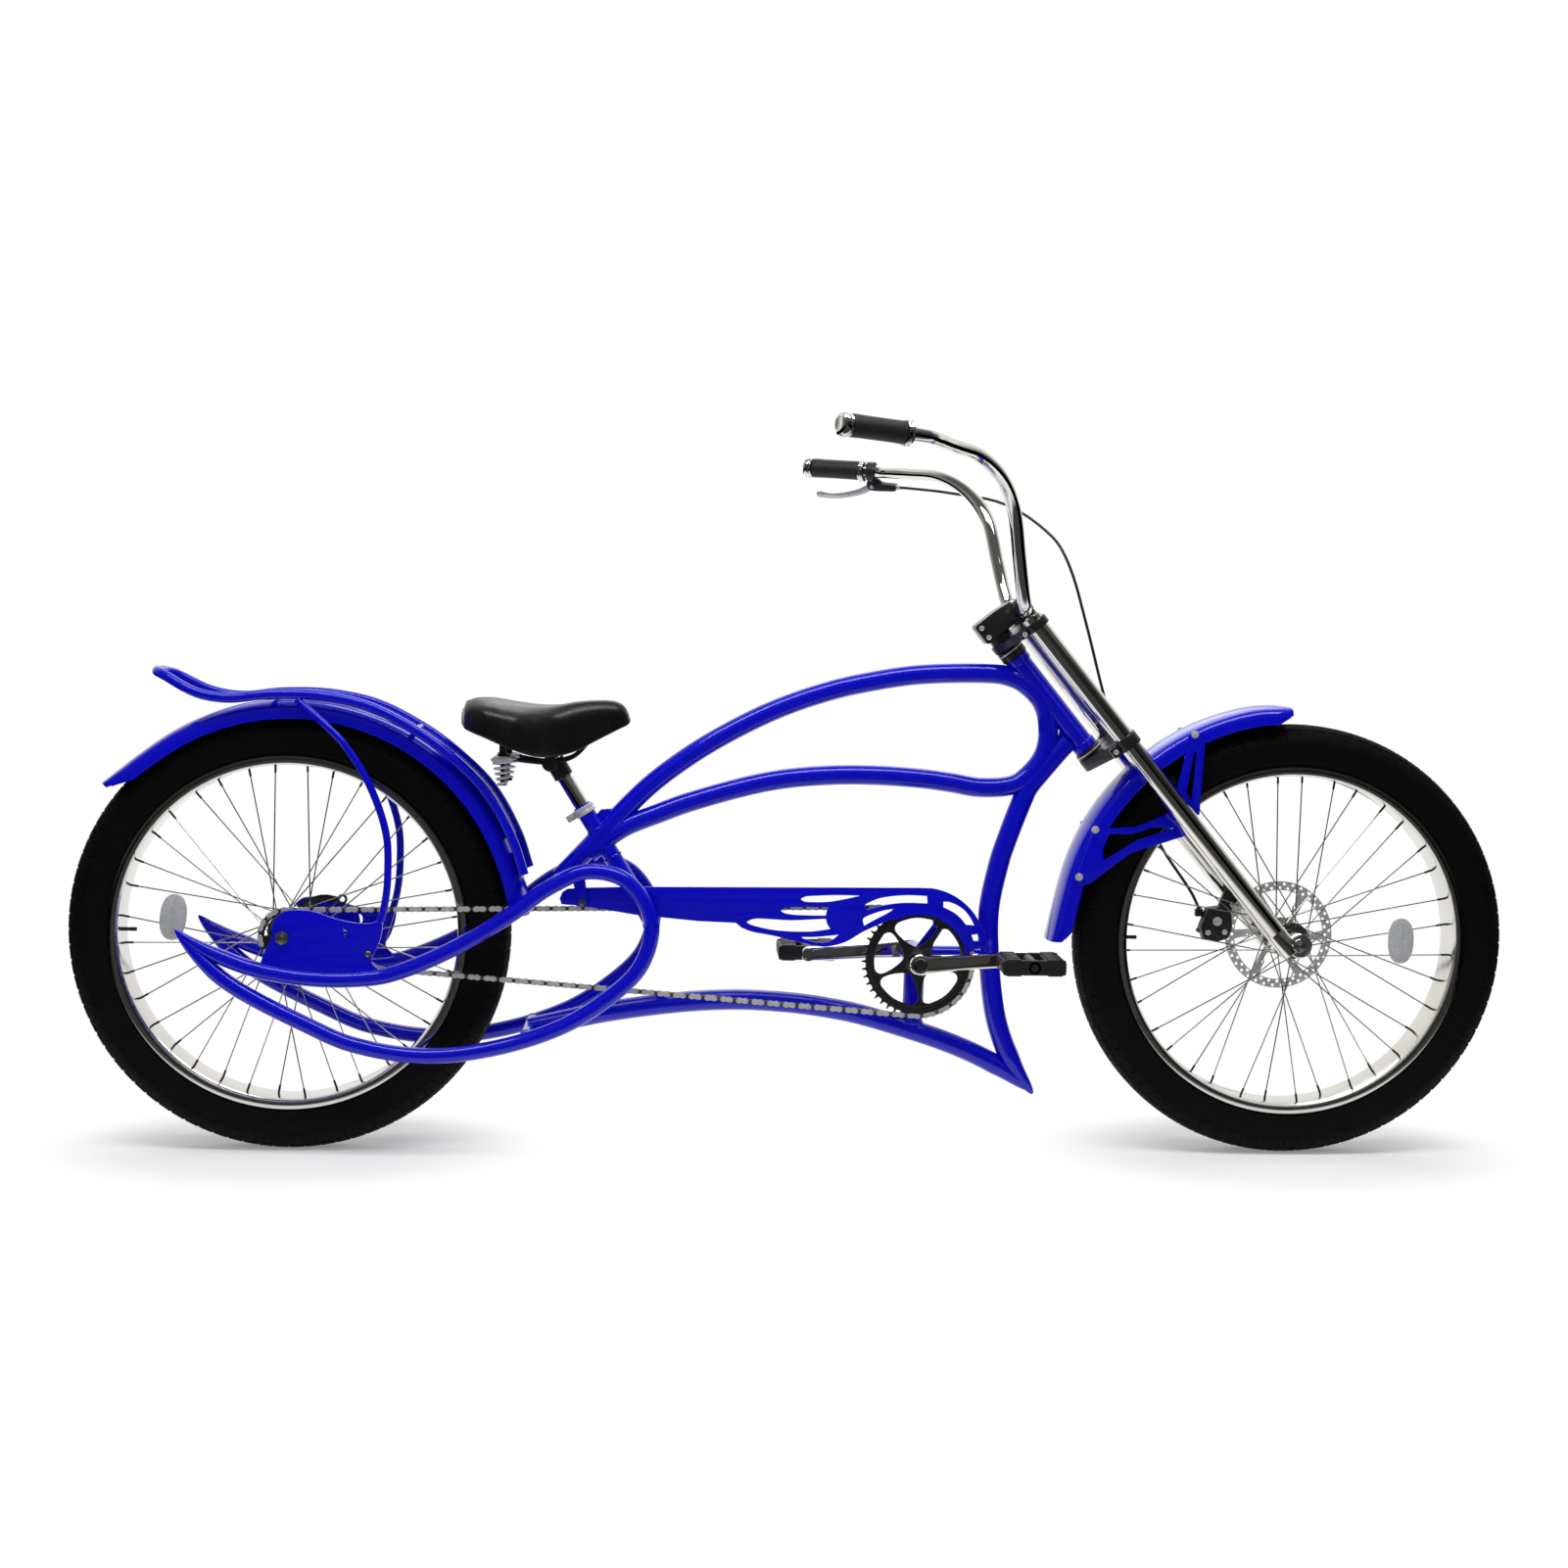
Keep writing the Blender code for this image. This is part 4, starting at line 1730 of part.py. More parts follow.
def build():
    for old in list(bpy.data.objects):
        bpy.data.objects.remove(old)

    lower_bottom, lower_top, upper_bottom, upper_top = crown_heights()
    steering = add_carrier("steering_axis", by_steering(0.55, 0))
    front_wheel = add_carrier("front_wheel_axis", FRONT_AXLE, steering)
    rear_wheel = add_carrier("rear_wheel_axis", REAR_AXLE)
    cranks = add_carrier("crank_axis", BRACKET)
    pedal_right = add_carrier("pedal_right_axis", pedal_place(-1), cranks)
    pedal_left = add_carrier("pedal_left_axis", pedal_place(1), cranks)
    lever = add_carrier("lever_axis", lever_pivot(), steering)
    arm = add_carrier("caliper_axis", caliper_middle(), steering)
    seat = add_carrier("seat_axis", SEAT_CLAMP)

    add_part("top_loop", top_loop(), BLUE)
    add_part("down_tube", cut(down_tube(), head_tube_cutter(), top_tubes(GAP)), BLUE)
    add_part("lower_tube", lower_tube(), BLUE)
    add_part("seat_tube", seat_tube(), BLUE)
    add_part("head_tube", head_tube(), BLUE)
    add_part("bottom_bracket_shell", bracket_shell(), BLUE)
    add_part("bottom_bracket_cartridge", bracket_cartridge(), STEEL)
    for name, side in (("right", -1), ("left", 1)):
        add_part("rear_loop_" + name, rear_loop(side * LOOP_HALF_SPACING), BLUE)
        add_part("dropout_" + name, dropout(side), BLUE)
    add_part("rear_fender", rear_fender(), BLUE)
    add_part("rack", rack(), BLUE)
    add_part("chain_guard", chain_guard(), BLUE)
    add_part("chain", chain(), STEEL)
    add_part("headset_upper", headset(HEAD_TUBE_TOP + GAP, upper_bottom - GAP), BLACK_METAL)
    add_part("headset_lower", headset(lower_top + GAP, HEAD_TUBE_BOTTOM - GAP), BLACK_METAL)
    add_part("seat_clamp", seat_clamp(), STEEL)
    add_part("rear_axle", rear_axle(), STEEL)
    add_part("coaster_arm", coaster_arm(), STEEL)

    for name, side in (("right", -1), ("left", 1)):
        add_part("fork_leg_" + name, bored_leg(side), CHROME, steering)
        add_part("grip_" + name, grip(side), BLACK_PLASTIC, steering)
        add_part("grip_cap_" + name, grip_cap(side), CHROME, steering)
    add_part("crown_lower", crown(lower_bottom, lower_top), BLACK_METAL, steering)
    add_part("crown_upper", crown(upper_bottom, upper_top), BLACK_METAL, steering)
    add_part("steerer", steerer(), STEEL, steering)
    add_part("stem", stem(), BLACK_METAL, steering)
    add_part("handlebar", handlebar(), CHROME, steering)
    add_part("lever_perch", lever_perch(), BLACK_METAL, steering)
    add_part("front_fender", front_fender(), BLUE, steering)
    add_part("caliper", caliper(), BLACK_METAL, steering)
    add_part("front_axle", front_axle(), STEEL, steering)
    add_part("brake_lever", brake_lever(), ALLOY, lever)
    add_part("caliper_arm", caliper_arm(), STEEL, arm)

    cable = bpy.data.objects.new("brake_cable", cable_curve())
    bpy.context.scene.collection.objects.link(cable)
    cover = bpy.data.materials.new("brake_cable_finish")
    cover.use_nodes = True
    cover.node_tree.nodes["Principled BSDF"].inputs["Base Color"].default_value = (*BLACK_PLASTIC[0], 1.0)
    cable.data.materials.append(cover)

    for name, centre, carrier in (("front", FRONT_AXLE, front_wheel), ("rear", REAR_AXLE, rear_wheel)):
        add_part(name + "_tyre", tyre(centre), TYRE_RUBBER, carrier)
        add_part(name + "_inner_tube", inner_tube(centre), TYRE_RUBBER, carrier)
        add_part(name + "_rim", rim(centre), ALLOY, carrier)
    add_part("front_hub", front_hub(), ALLOY, front_wheel)
    add_part("brake_rotor", rotor(), STEEL, front_wheel)
    add_part("rear_hub", rear_hub(), BLACK_METAL, rear_wheel)
    add_part("rear_sprocket", rear_sprocket(), BLACK_METAL, rear_wheel)

    add_part("chainring", chainring(), BLACK_METAL, cranks)
    add_part("crank_spindle", crank_spindle(), STEEL, cranks)
    add_part("crank_right", crank(-1), CHROME, cranks)
    add_part("crank_left", crank(1), CHROME, cranks)
    add_part("pedal_right", pedal(-1), BLACK_PLASTIC, pedal_right)
    add_part("pedal_left", pedal(1), BLACK_PLASTIC, pedal_left)

    add_part("seat_post", seat_post(), CHROME, seat)
    add_part("saddle", saddle(), VINYL, seat)
    add_part("saddle_frame", saddle_frame(), STEEL, seat)
    for name, side in (("right", -1), ("left", 1)):
        add_part("saddle_spring_" + name, saddle_spring(side), STEEL, seat)
    print("least gap between spring turns", round(1000 * least_spring_gap(), 2), "mm")


build()
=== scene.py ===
import json
import math

import bpy
from mathutils import Matrix, Vector

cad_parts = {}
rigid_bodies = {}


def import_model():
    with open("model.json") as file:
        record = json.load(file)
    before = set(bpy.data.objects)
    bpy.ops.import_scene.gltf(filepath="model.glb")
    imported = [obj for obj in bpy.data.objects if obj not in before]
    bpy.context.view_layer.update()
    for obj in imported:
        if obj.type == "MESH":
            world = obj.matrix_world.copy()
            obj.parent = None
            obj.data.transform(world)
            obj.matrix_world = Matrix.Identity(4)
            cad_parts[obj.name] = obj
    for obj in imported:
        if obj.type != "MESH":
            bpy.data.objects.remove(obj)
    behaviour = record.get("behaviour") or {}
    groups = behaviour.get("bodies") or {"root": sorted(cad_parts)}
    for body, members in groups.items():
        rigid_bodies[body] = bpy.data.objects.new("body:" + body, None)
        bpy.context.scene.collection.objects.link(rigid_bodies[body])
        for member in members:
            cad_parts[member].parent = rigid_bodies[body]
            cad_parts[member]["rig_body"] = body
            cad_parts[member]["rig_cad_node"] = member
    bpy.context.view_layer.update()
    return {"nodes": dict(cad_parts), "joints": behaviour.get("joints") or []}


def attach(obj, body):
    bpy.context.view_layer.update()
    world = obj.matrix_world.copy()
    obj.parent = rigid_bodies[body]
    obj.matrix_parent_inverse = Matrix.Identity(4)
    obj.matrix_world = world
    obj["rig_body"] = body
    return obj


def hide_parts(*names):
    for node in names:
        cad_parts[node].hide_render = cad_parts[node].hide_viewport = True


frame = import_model()

# Places that everything else is measured from, all read from the frame
joints = {joint["name"]: joint for joint in frame["joints"]}
rearAxle = Vector(joints["rear_wheel_spin"]["pos_m"])
frontAxle = Vector(joints["front_wheel_spin"]["pos_m"])
bracket = Vector(joints["crank_spin"]["pos_m"])
steerUp = Vector(joints["steering_turn"]["axis"]).normalized()
steerForward = Vector((steerUp.z, 0, -steerUp.x))
seatUp = Vector(joints["seat_height"]["axis"]).normalized()
seatDown = -seatUp if seatUp.z > 0 else seatUp
seatAcross = Vector((-seatDown.z, 0, seatDown.x))
sideways = Vector((0, 1, 0))
wheel = {"tyre": 0.355, "spokes": 36}
fork = {"rake": 0.067, "legSpacing": 0.075, "legOffset": 0.05, "legRadius": 0.0165, "legTop": 0.69}
head = {"bottom": 0.456, "top": 0.646, "radius": 0.018, "crownLow": 0.4243, "crownHigh": 0.6667}
loopOut = 0.0855  # from the middle plane to each rear loop
steerFoot = frontAxle - fork["rake"] * steerForward
seatTop = rearAxle + Vector((0.4755, 0, 0.195))


def mm(*places):
    # places given in millimetres
    return [tuple(value / 1000 for value in place) for place in places]


def fromRear(x, z, y=0.0):
    return rearAxle + Vector((x, y, z))


def fromBracket(x, z, y=0.0):
    return bracket + Vector((x, y, z))


def onSteering(up, forward, y=0.0):
    return steerFoot + up * steerUp + forward * steerForward + y * sideways


def onSeat(down, across=0.0):
    return seatTop + down * seatDown + across * seatAcross


def polar(radius, angle, centre=(0, 0)):
    return centre[0] + radius * math.cos(angle), centre[1] + radius * math.sin(angle)


def sided(stem, side):
    return stem + ("_right" if side < 0 else "_left")


def roundWheel(centre, degrees, reach, y=0.0):
    angle = math.radians(degrees)
    return centre + Vector((reach * math.cos(angle), y, reach * math.sin(angle)))


def turnOf(first, second, third):
    return Matrix((first, second, third)).transposed().to_4x4()


def made(name):
    # the object that was just added, named
    bpy.context.object.name = name
    return bpy.context.object


# Camera: where the photograph was taken from
cameraSet = {"place": (0.6353, -3.609, 0.8652), "yaw": 2.554, "pitch": -4.169, "roll": 0.822}
cameraSet.update({"focalPixels": 2267.2, "imagePixels": 1601, "sensor": 36.0})


def placeCamera():
    yaw, pitch, roll = (math.radians(cameraSet[key]) for key in ("yaw", "pitch", "roll"))
    ahead = Vector((math.sin(yaw) * math.cos(pitch), math.cos(yaw) * math.cos(pitch), math.sin(pitch)))
    right = Vector((math.cos(yaw), -math.sin(yaw), 0))
    over = right.cross(ahead)
    turnedRight = math.cos(roll) * right + math.sin(roll) * over
    turnedUp = math.cos(roll) * over - math.sin(roll) * right
    bpy.ops.object.camera_add()
    camera = made("photoCamera")
    camera.matrix_world = Matrix.Translation(cameraSet["place"]) @ turnOf(turnedRight, turnedUp, -ahead)
    camera.data.sensor_width = cameraSet["sensor"]
    camera.data.lens = cameraSet["sensor"] * cameraSet["focalPixels"] / cameraSet["imagePixels"]
    bpy.context.scene.camera = camera


placeCamera()
print("camera placed")


# Hand tools used by every piece below
def pickOnly(*pieces):
    bpy.ops.object.select_all(action="DESELECT")
    for piece in pieces:
        piece.select_set(True)
    bpy.context.view_layer.objects.active = pieces[0]


def applyAll(piece):
    pickOnly(piece)
    for modifier in list(piece.modifiers):
        bpy.ops.object.modifier_apply(modifier=modifier.name)
    return piece


def inEdit(piece, *steps, mode="VERT", after="VERT"):
    # steps done on the mesh in edit mode: each an operator's name with its settings
    pickOnly(piece)
    bpy.ops.object.mode_set(mode="EDIT")
    bpy.ops.mesh.select_mode(type=mode)
    for name, settings in steps:
        getattr(bpy.ops.mesh, name)(**settings)
    bpy.ops.mesh.select_mode(type=after)
    bpy.ops.object.mode_set(mode="OBJECT")
    return piece


wholeMesh = ("select_all", {"action": "SELECT"})
noneOfMesh = ("select_all", {"action": "DESELECT"})
facesOut = ("normals_make_consistent", {"inside": False})


def tidyMesh(piece, merge=0.00001):
    return inEdit(piece, wholeMesh, ("remove_doubles", {"threshold": merge}), facesOut)


def onFaces(piece, chosen, *steps):
    # steps done on some faces only
    inEdit(piece, noneOfMesh, mode="FACE", after="FACE")
    for index in chosen:
        piece.data.polygons[index].select = True
    return inEdit(piece, *steps, mode="FACE")


def joinTo(piece, *others):
    pickOnly(piece, *others)
    bpy.ops.object.join()
    return piece


def withModifier(piece, kind, **settings):
    added = piece.modifiers.new("shaping", kind)
    for key, value in settings.items():
        setattr(added, key, value)
    return applyAll(piece)


def roundEdges(piece, width, segments=2, degrees=35):
    return withModifier(
        piece, "BEVEL", width=width, segments=segments, limit_method="ANGLE",
        angle_limit=math.radians(degrees), harden_normals=False
    )


def stretch(before, start, stop, after, steps, sharpStart=False, sharpStop=False):
    # the places of one smooth stretch between two points, without its last
    span = (stop - start).length
    lead = (stop - start) / span if sharpStart else (stop - before) / ((start - before).length + span)
    trail = (stop - start) / span if sharpStop else (after - start) / ((after - stop).length + span)
    found = []
    for step in range(steps):
        t = step / steps
        near = (2 * t**3 - 3 * t**2 + 1) * start + (t**3 - 2 * t**2 + t) * span * lead
        found.append(near + (3 * t**2 - 2 * t**3) * stop + (t**3 - t**2) * span * trail)
    return found


def spreadEvenly(points, steps):
    # an even curve through every given point
    given = [Vector(point) for point in points]
    ends = [2 * given[0] - given[1], *given, 2 * given[-1] - given[-2]]
    found = []
    for i in range(len(given) - 1):
        found += stretch(*ends[i : i + 4], steps)
    return found + [given[-1]]


def runAlong(points):
    run = [0.0]
    for first, second in zip(points, points[1:]):
        run.append(run[-1] + (second - first).length)
    return run


def newCurve(rings, closed, dimensions="3D"):
    bpy.ops.curve.primitive_bezier_curve_add(location=(0, 0, 0))
    line = bpy.context.object.data
    line.splines.clear()
    line.dimensions = dimensions
    for ring in rings:
        spline = line.splines.new("POLY")
        spline.points.add(len(ring) - 1)
        for spot, place in zip(spline.points, ring):
            spot.co = (place[0], place[1], place[2] if len(place) > 2 else 0.0, 1.0)
        spline.use_cyclic_u = closed
    return line


def curveToMesh(name):
    bpy.ops.object.convert(target="MESH")
    return made(name)


def bendTube(name, points, radius, shares=None, sides=16, closed=False):
    # a round tube bent along a line, narrower where a share is below one
    line = newCurve([points], closed)
    if shares:
        for spot, share in zip(line.splines[0].points, shares):
            spot.radius = share
    line.twist_mode = "MINIMUM"
    line.bevel_depth = radius
    line.bevel_resolution = (sides - 4) // 2
    line.use_fill_caps = not closed
    return tidyMesh(curveToMesh(name))


def cylinder(name, place, way, radius, depth, sides):
    turn = way.to_track_quat("Z", "Y").to_euler()
    bpy.ops.mesh.primitive_cylinder_add(
        vertices=sides, radius=radius, depth=depth, location=place, rotation=turn
    )
    bpy.ops.object.transform_apply(location=True, rotation=True, scale=True)
    return made(name)


def straightTube(name, start, stop, radius, sides=24, edge=0.0):
    way = Vector(stop) - Vector(start)
    piece = cylinder(name, (Vector(start) + Vector(stop)) / 2, way, radius, way.length, sides)
    return roundEdges(piece, edge, 2, 50) if edge else piece


def turnOnLathe(name, profile, centre, axis, steps=48):
    # a drawn section (radius, height) turned about an axis
    along = Vector(axis).normalized()
    out = along.orthogonal().normalized()
    bpy.ops.mesh.primitive_circle_add(vertices=len(profile), radius=1.0, fill_type="NOTHING")
    piece = made(name)
    for spot, (radius, height) in zip(piece.data.vertices, profile):
        spot.co = Vector(centre) + height * along + radius * out
    spin = ("spin", {"steps": steps, "angle": math.tau, "center": centre, "axis": along})
    return tidyMesh(inEdit(piece, wholeMesh, spin))


def evenSided(half):
    # a section whose other half mirrors this one
    return [(radius, -height) for radius, height in reversed(half)] + half


def cutPlate(name, outline, holes, thickness, middle, edge=0.0004, across=(1, 0, 0), up=(0, 0, 1)):
    # a flat plate with holes, drawn as a filled curve, its thickness centred on the middle
    line = newCurve([outline, *holes], True, "2D")
    line.fill_mode = "BOTH"
    line.extrude = thickness / 2 - edge
    line.bevel_depth = edge
    line.bevel_resolution = 1
    line.offset = -edge
    piece = curveToMesh(name)
    across = Vector(across).normalized()
    up = Vector(up).normalized()
    piece.data.transform(Matrix.Translation(middle) @ turnOf(across, up, across.cross(up)))
    return tidyMesh(piece)


def bendSheet(name, cellsLong, cellsWide, place):
    # a grid whose every point is moved to its place on a curved sheet
    bpy.ops.mesh.primitive_grid_add(x_subdivisions=cellsLong, y_subdivisions=cellsWide, size=2)
    piece = made(name)
    for spot in piece.data.vertices:
        spot.co = place((spot.co.x + 1) / 2, (spot.co.y + 1) / 2)
    return piece


def blockAt(name, low, high, edge=0.0006):
    low = Vector(low)
    high = Vector(high)
    bpy.ops.mesh.primitive_cube_add(size=1, location=(low + high) / 2)
    piece = made(name)
    piece.scale = high - low
    bpy.ops.object.transform_apply(location=True, rotation=True, scale=True)
    return roundEdges(piece, edge, 2, 40)


def blockOn(name, low, high, origin, across, up, edge=0.0006):
    piece = blockAt(name, low, high, edge)
    across = Vector(across).normalized()
    up = Vector(up).normalized()
    piece.data.transform(Matrix.Translation(origin) @ turnOf(across, up.cross(across), up))
    return piece


def refinedCopy(nodeName, name, edge):
    # the frame's own solid, merged, its flat faces joined and its edges rounded
    pickOnly(frame["nodes"][nodeName])
    bpy.ops.object.duplicate()
    piece = made(name)
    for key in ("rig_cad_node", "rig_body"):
        if key in piece:
            del piece[key]
    world = piece.matrix_world.copy()
    piece.parent = None
    piece.matrix_world = world
    bpy.ops.object.transform_apply(location=True, rotation=True, scale=True)
    joined = ("dissolve_limited", {"angle_limit": math.radians(1)})
    inEdit(piece, wholeMesh, ("remove_doubles", {"threshold": 0.00002}), joined, facesOut)
    return roundEdges(piece, edge, 2, 30)


def hexNut(name, place, way, size, height, dome=0.0):
    # a six sided nut, or a bolt's head, with an optional dome on top
    way = Vector(way).normalized()
    piece = cylinder(name, Vector(place) + way * height / 2, way, size / math.sqrt(3), height, 6)
    roundEdges(piece, height * 0.12, 2, 25)
    if dome:
        shape = [
            (0, 0), (size * 0.42, 0), (size * 0.38, dome * 0.55), (size * 0.22, dome * 0.92), (0, dome)
        ]
        joinTo(piece, turnOnLathe("dome", shape, Vector(place) + way * height, way, 20))
    return piece


def socketBolt(name, place, way, size, height):
    # a round head with a six sided pocket
    way = Vector(way).normalized()
    piece = cylinder(name, Vector(place) + way * height / 2, way, size / 2, height, 24)
    top = max(piece.data.polygons, key=lambda face: face.center.dot(way)).index
    rim = ("inset", {"thickness": size * 0.2, "depth": 0})
    pocket = ("inset", {"thickness": size * 0.02, "depth": -height * 0.6})
    return roundEdges(onFaces(piece, [top], rim, pocket), height * 0.08, 1, 40)


def washer(place, way, inner, outer, thick, steps=24, name="washer"):
    shape = [(inner, 0), (outer, 0), (outer, thick), (inner, thick)]
    return turnOnLathe(name, shape, place, way, steps)


def feed(tree, node, inputs):
    # each input is a plain value or another node's output
    for key, value in inputs.items():
        if isinstance(value, bpy.types.NodeSocket):
            tree.links.new(value, node.inputs[key])
        else:
            node.inputs[key].default_value = value


def addNode(tree, kind, inputs=None, **settings):
    node = tree.nodes.new("ShaderNode" + kind)
    for key, value in settings.items():
        setattr(node, key, value)
    feed(tree, node, inputs or {})
    return node.outputs


def combine(tree, operation, first, second):
    return addNode(tree, "Math", {0: first, 1: second}, operation=operation)["Value"]


def ramped(tree, value, low, high, bottom=0.0, top=1.0, form="SMOOTHSTEP"):
    limits = {"From Min": low, "From Max": high, "To Min": bottom, "To Max": top, "Value": value}
    return addNode(tree, "MapRange", limits, interpolation_type=form)["Result"]


# Finishes: every one is made of noise on object coordinates, so it stays with its piece
def newFinish(name, look):
    finish = bpy.data.materials.new(name)
    finish.use_nodes = True
    tree = finish.node_tree
    place = addNode(tree, "TexCoord")["Object"]

    def noise(scale, detail=4.0):
        return addNode(tree, "TexNoise", {"Scale": scale, "Detail": detail, "Vector": place})["Fac"]

    blend = addNode(
        tree, "Mix",
        {"A": (*look["colour"], 1), "B": (*look["second"], 1), "Factor": noise(look["patchScale"], 3.0)},
        data_type="RGBA"
    )
    inputs = {
        "Base Color": blend["Result"], "Metallic": look.get("metal", 0.0),
        "Coat Weight": look.get("coat", 0.0),
        "Roughness": ramped(tree, noise(look["roughScale"]), 0.3, 0.7, *look["rough"], "LINEAR"),
        "Coat Roughness": look.get("coatRough", 0.03), "Specular IOR Level": look.get("specular", 0.5)
    }
    if "bump" in look:
        strength, scale = look["bump"]
        height = noise(scale)
        if "cells" in look:
            cells = addNode(tree, "TexVoronoi", {"Scale": look["cells"], "Vector": place})
            height = combine(tree, "ADD", cells["Distance"], height)
        relief = {"Strength": strength, "Distance": look.get("bumpDepth", 0.0004), "Height": height}
        inputs["Normal"] = addNode(tree, "Bump", relief)["Normal"]
    feed(tree, tree.nodes["Principled BSDF"], inputs)
    return finish


finishLooks = {
    "bluePaint": {
        "colour": (0.0024, 0.0026, 0.64), "second": (0.002, 0.002, 0.54), "patchScale": 3.0,
        "rough": (0.24, 0.3), "roughScale": 22.0, "coat": 0.8, "coatRough": 0.06, "specular": 0.08,
    },
    "chromePlate": {
        "colour": (0.86, 0.84, 0.8), "second": (0.78, 0.76, 0.71), "patchScale": 14.0,
        "rough": (0.03, 0.07), "roughScale": 60.0, "metal": 1.0, "bump": (0.006, 40.0), "bumpDepth": 0.0002,
    },
    "bareSteel": {
        "colour": (0.52, 0.52, 0.53), "second": (0.38, 0.38, 0.4), "patchScale": 60.0,
        "rough": (0.24, 0.42), "roughScale": 180.0, "metal": 1.0, "bump": (0.15, 700.0),
    },
    "blackEnamel": {
        "colour": (0.01, 0.01, 0.011), "second": (0.02, 0.02, 0.021), "patchScale": 30.0,
        "rough": (0.26, 0.38), "roughScale": 80.0, "coat": 0.2, "bump": (0.1, 500.0), "specular": 0.35,
    },
    "rimChrome": {
        "colour": (0.76, 0.75, 0.72), "second": (0.62, 0.6, 0.56), "patchScale": 18.0,
        "rough": (0.1, 0.18), "roughScale": 70.0, "metal": 1.0, "bump": (0.05, 120.0),
    },
    "tyreRubber": {
        "colour": (0.0016, 0.0016, 0.0018), "second": (0.0034, 0.0033, 0.0032), "patchScale": 24.0,
        "rough": (0.6, 0.8), "roughScale": 120.0, "bump": (0.3, 900.0), "specular": 0.12,
    },
    "blackPlastic": {
        "colour": (0.011, 0.011, 0.012), "second": (0.022, 0.022, 0.023), "patchScale": 40.0,
        "rough": (0.38, 0.52), "roughScale": 150.0, "bump": (0.18, 800.0), "specular": 0.35,
    },
    "gripRubber": {
        "colour": (0.012, 0.012, 0.012), "second": (0.024, 0.023, 0.023), "patchScale": 50.0,
        "rough": (0.45, 0.6), "roughScale": 160.0, "bump": (0.06, 1100.0), "specular": 0.4,
    },
    "saddleVinyl": {
        "colour": (0.0045, 0.0042, 0.0042), "second": (0.0085, 0.0078, 0.0075), "patchScale": 16.0,
        "rough": (0.24, 0.34), "roughScale": 120.0, "bump": (0.35, 420.0), "cells": 620.0,
        "bumpDepth": 0.0003, "specular": 0.4,
    },
    "chainSteel": {
        "colour": (0.8, 0.79, 0.76), "second": (0.62, 0.61, 0.58), "patchScale": 70.0,
        "rough": (0.26, 0.42), "roughScale": 200.0, "metal": 0.4, "bump": (0.15, 900.0),
    },
    "leverAlloy": {
        "colour": (0.78, 0.78, 0.79), "second": (0.64, 0.64, 0.66), "patchScale": 40.0,
        "rough": (0.26, 0.4), "roughScale": 140.0, "metal": 0.42, "bump": (0.12, 700.0),
    },
    "spokeSteel": {
        "colour": (0.5, 0.49, 0.47), "second": (0.34, 0.33, 0.32), "patchScale": 30.0,
        "rough": (0.2, 0.34), "roughScale": 160.0, "metal": 1.0, "bump": (0.08, 700.0),
    },
    "cableSleeve": {
        "colour": (0.006, 0.007, 0.016), "second": (0.012, 0.013, 0.026), "patchScale": 30.0,
        "rough": (0.32, 0.46), "roughScale": 120.0, "bump": (0.12, 900.0),
    },
    "greyReflector": {
        "colour": (0.6, 0.61, 0.62), "second": (0.4, 0.41, 0.43), "patchScale": 60.0,
        "rough": (0.1, 0.2), "roughScale": 100.0, "bump": (0.6, 60.0), "cells": 330.0,
        "bumpDepth": 0.0006, "coat": 1.0,
    },
    "amberReflector": {
        "colour": (0.55, 0.1, 0.01), "second": (0.36, 0.05, 0.006), "patchScale": 60.0,
        "rough": (0.12, 0.22), "roughScale": 100.0, "bump": (0.6, 60.0), "cells": 380.0,
        "bumpDepth": 0.0006, "coat": 1.0,
    },
    "bearingSteel": {
        "colour": (0.3, 0.3, 0.31), "second": (0.2, 0.2, 0.21), "patchScale": 80.0,
        "rough": (0.3, 0.48), "roughScale": 200.0, "metal": 1.0, "bump": (0.12, 800.0),
    },
}
finishes = {name: newFinish(name, look) for name, look in finishLooks.items()}
slotFinish = {
    "frame_paint": "bluePaint", "chrome": "chromePlate", "steel": "bareSteel", "black_metal": "blackEnamel",
    "alloy": "rimChrome", "tyre": "tyreRubber", "inner_tube": "tyreRubber", "black_plastic": "blackPlastic",
    "vinyl": "saddleVinyl", "cable": "cableSleeve",
}
print("finishes made:", len(finishes))


def finishPiece(piece, body, slot, *nodes, finish=None, angle=32):
    # the last step of each piece: its finish, its shading, the body it rides on and the nodes it stands for
    piece.data.materials.clear()
    piece.data.materials.append(finishes[finish or slotFinish[slot]])
    pickOnly(piece)
    bpy.ops.object.shade_smooth_by_angle(angle=math.radians(angle))
    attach(piece, body)
    if nodes:
        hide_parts(*nodes)
    return piece


def finishTogether(name, pieces, body, slot, *nodes, **look):
    # many small ones joined into one piece
    joinTo(*pieces).name = name
    finishPiece(pieces[0], body, slot, *nodes, **look)


# Brake cable: the route is the one its solid follows
cableSet = {"diameter": 0.005, "steps": 6}


def leverDirections():
    gripStart = onSteering(0.702, 0.051) + Vector((-0.2228, 0.4022, 0.2485))
    alongGrip = Vector((-0.1078, 0.0487, 0.0081)).normalized()
    level = alongGrip.cross(Vector((0, 0, 1))).normalized()
    outward = -level if level.y < 0 else level
    away = 0.42 * outward + 0.91 * Vector((0, 0, -1))
    away = (away - away.dot(alongGrip) * alongGrip).normalized()
    return gripStart, alongGrip, away, alongGrip.cross(away)


def onLever(along, away, across=0.0):
    start, alongGrip, aside, axis = leverDirections()
    return start + along * alongGrip + away * aside + across * axis


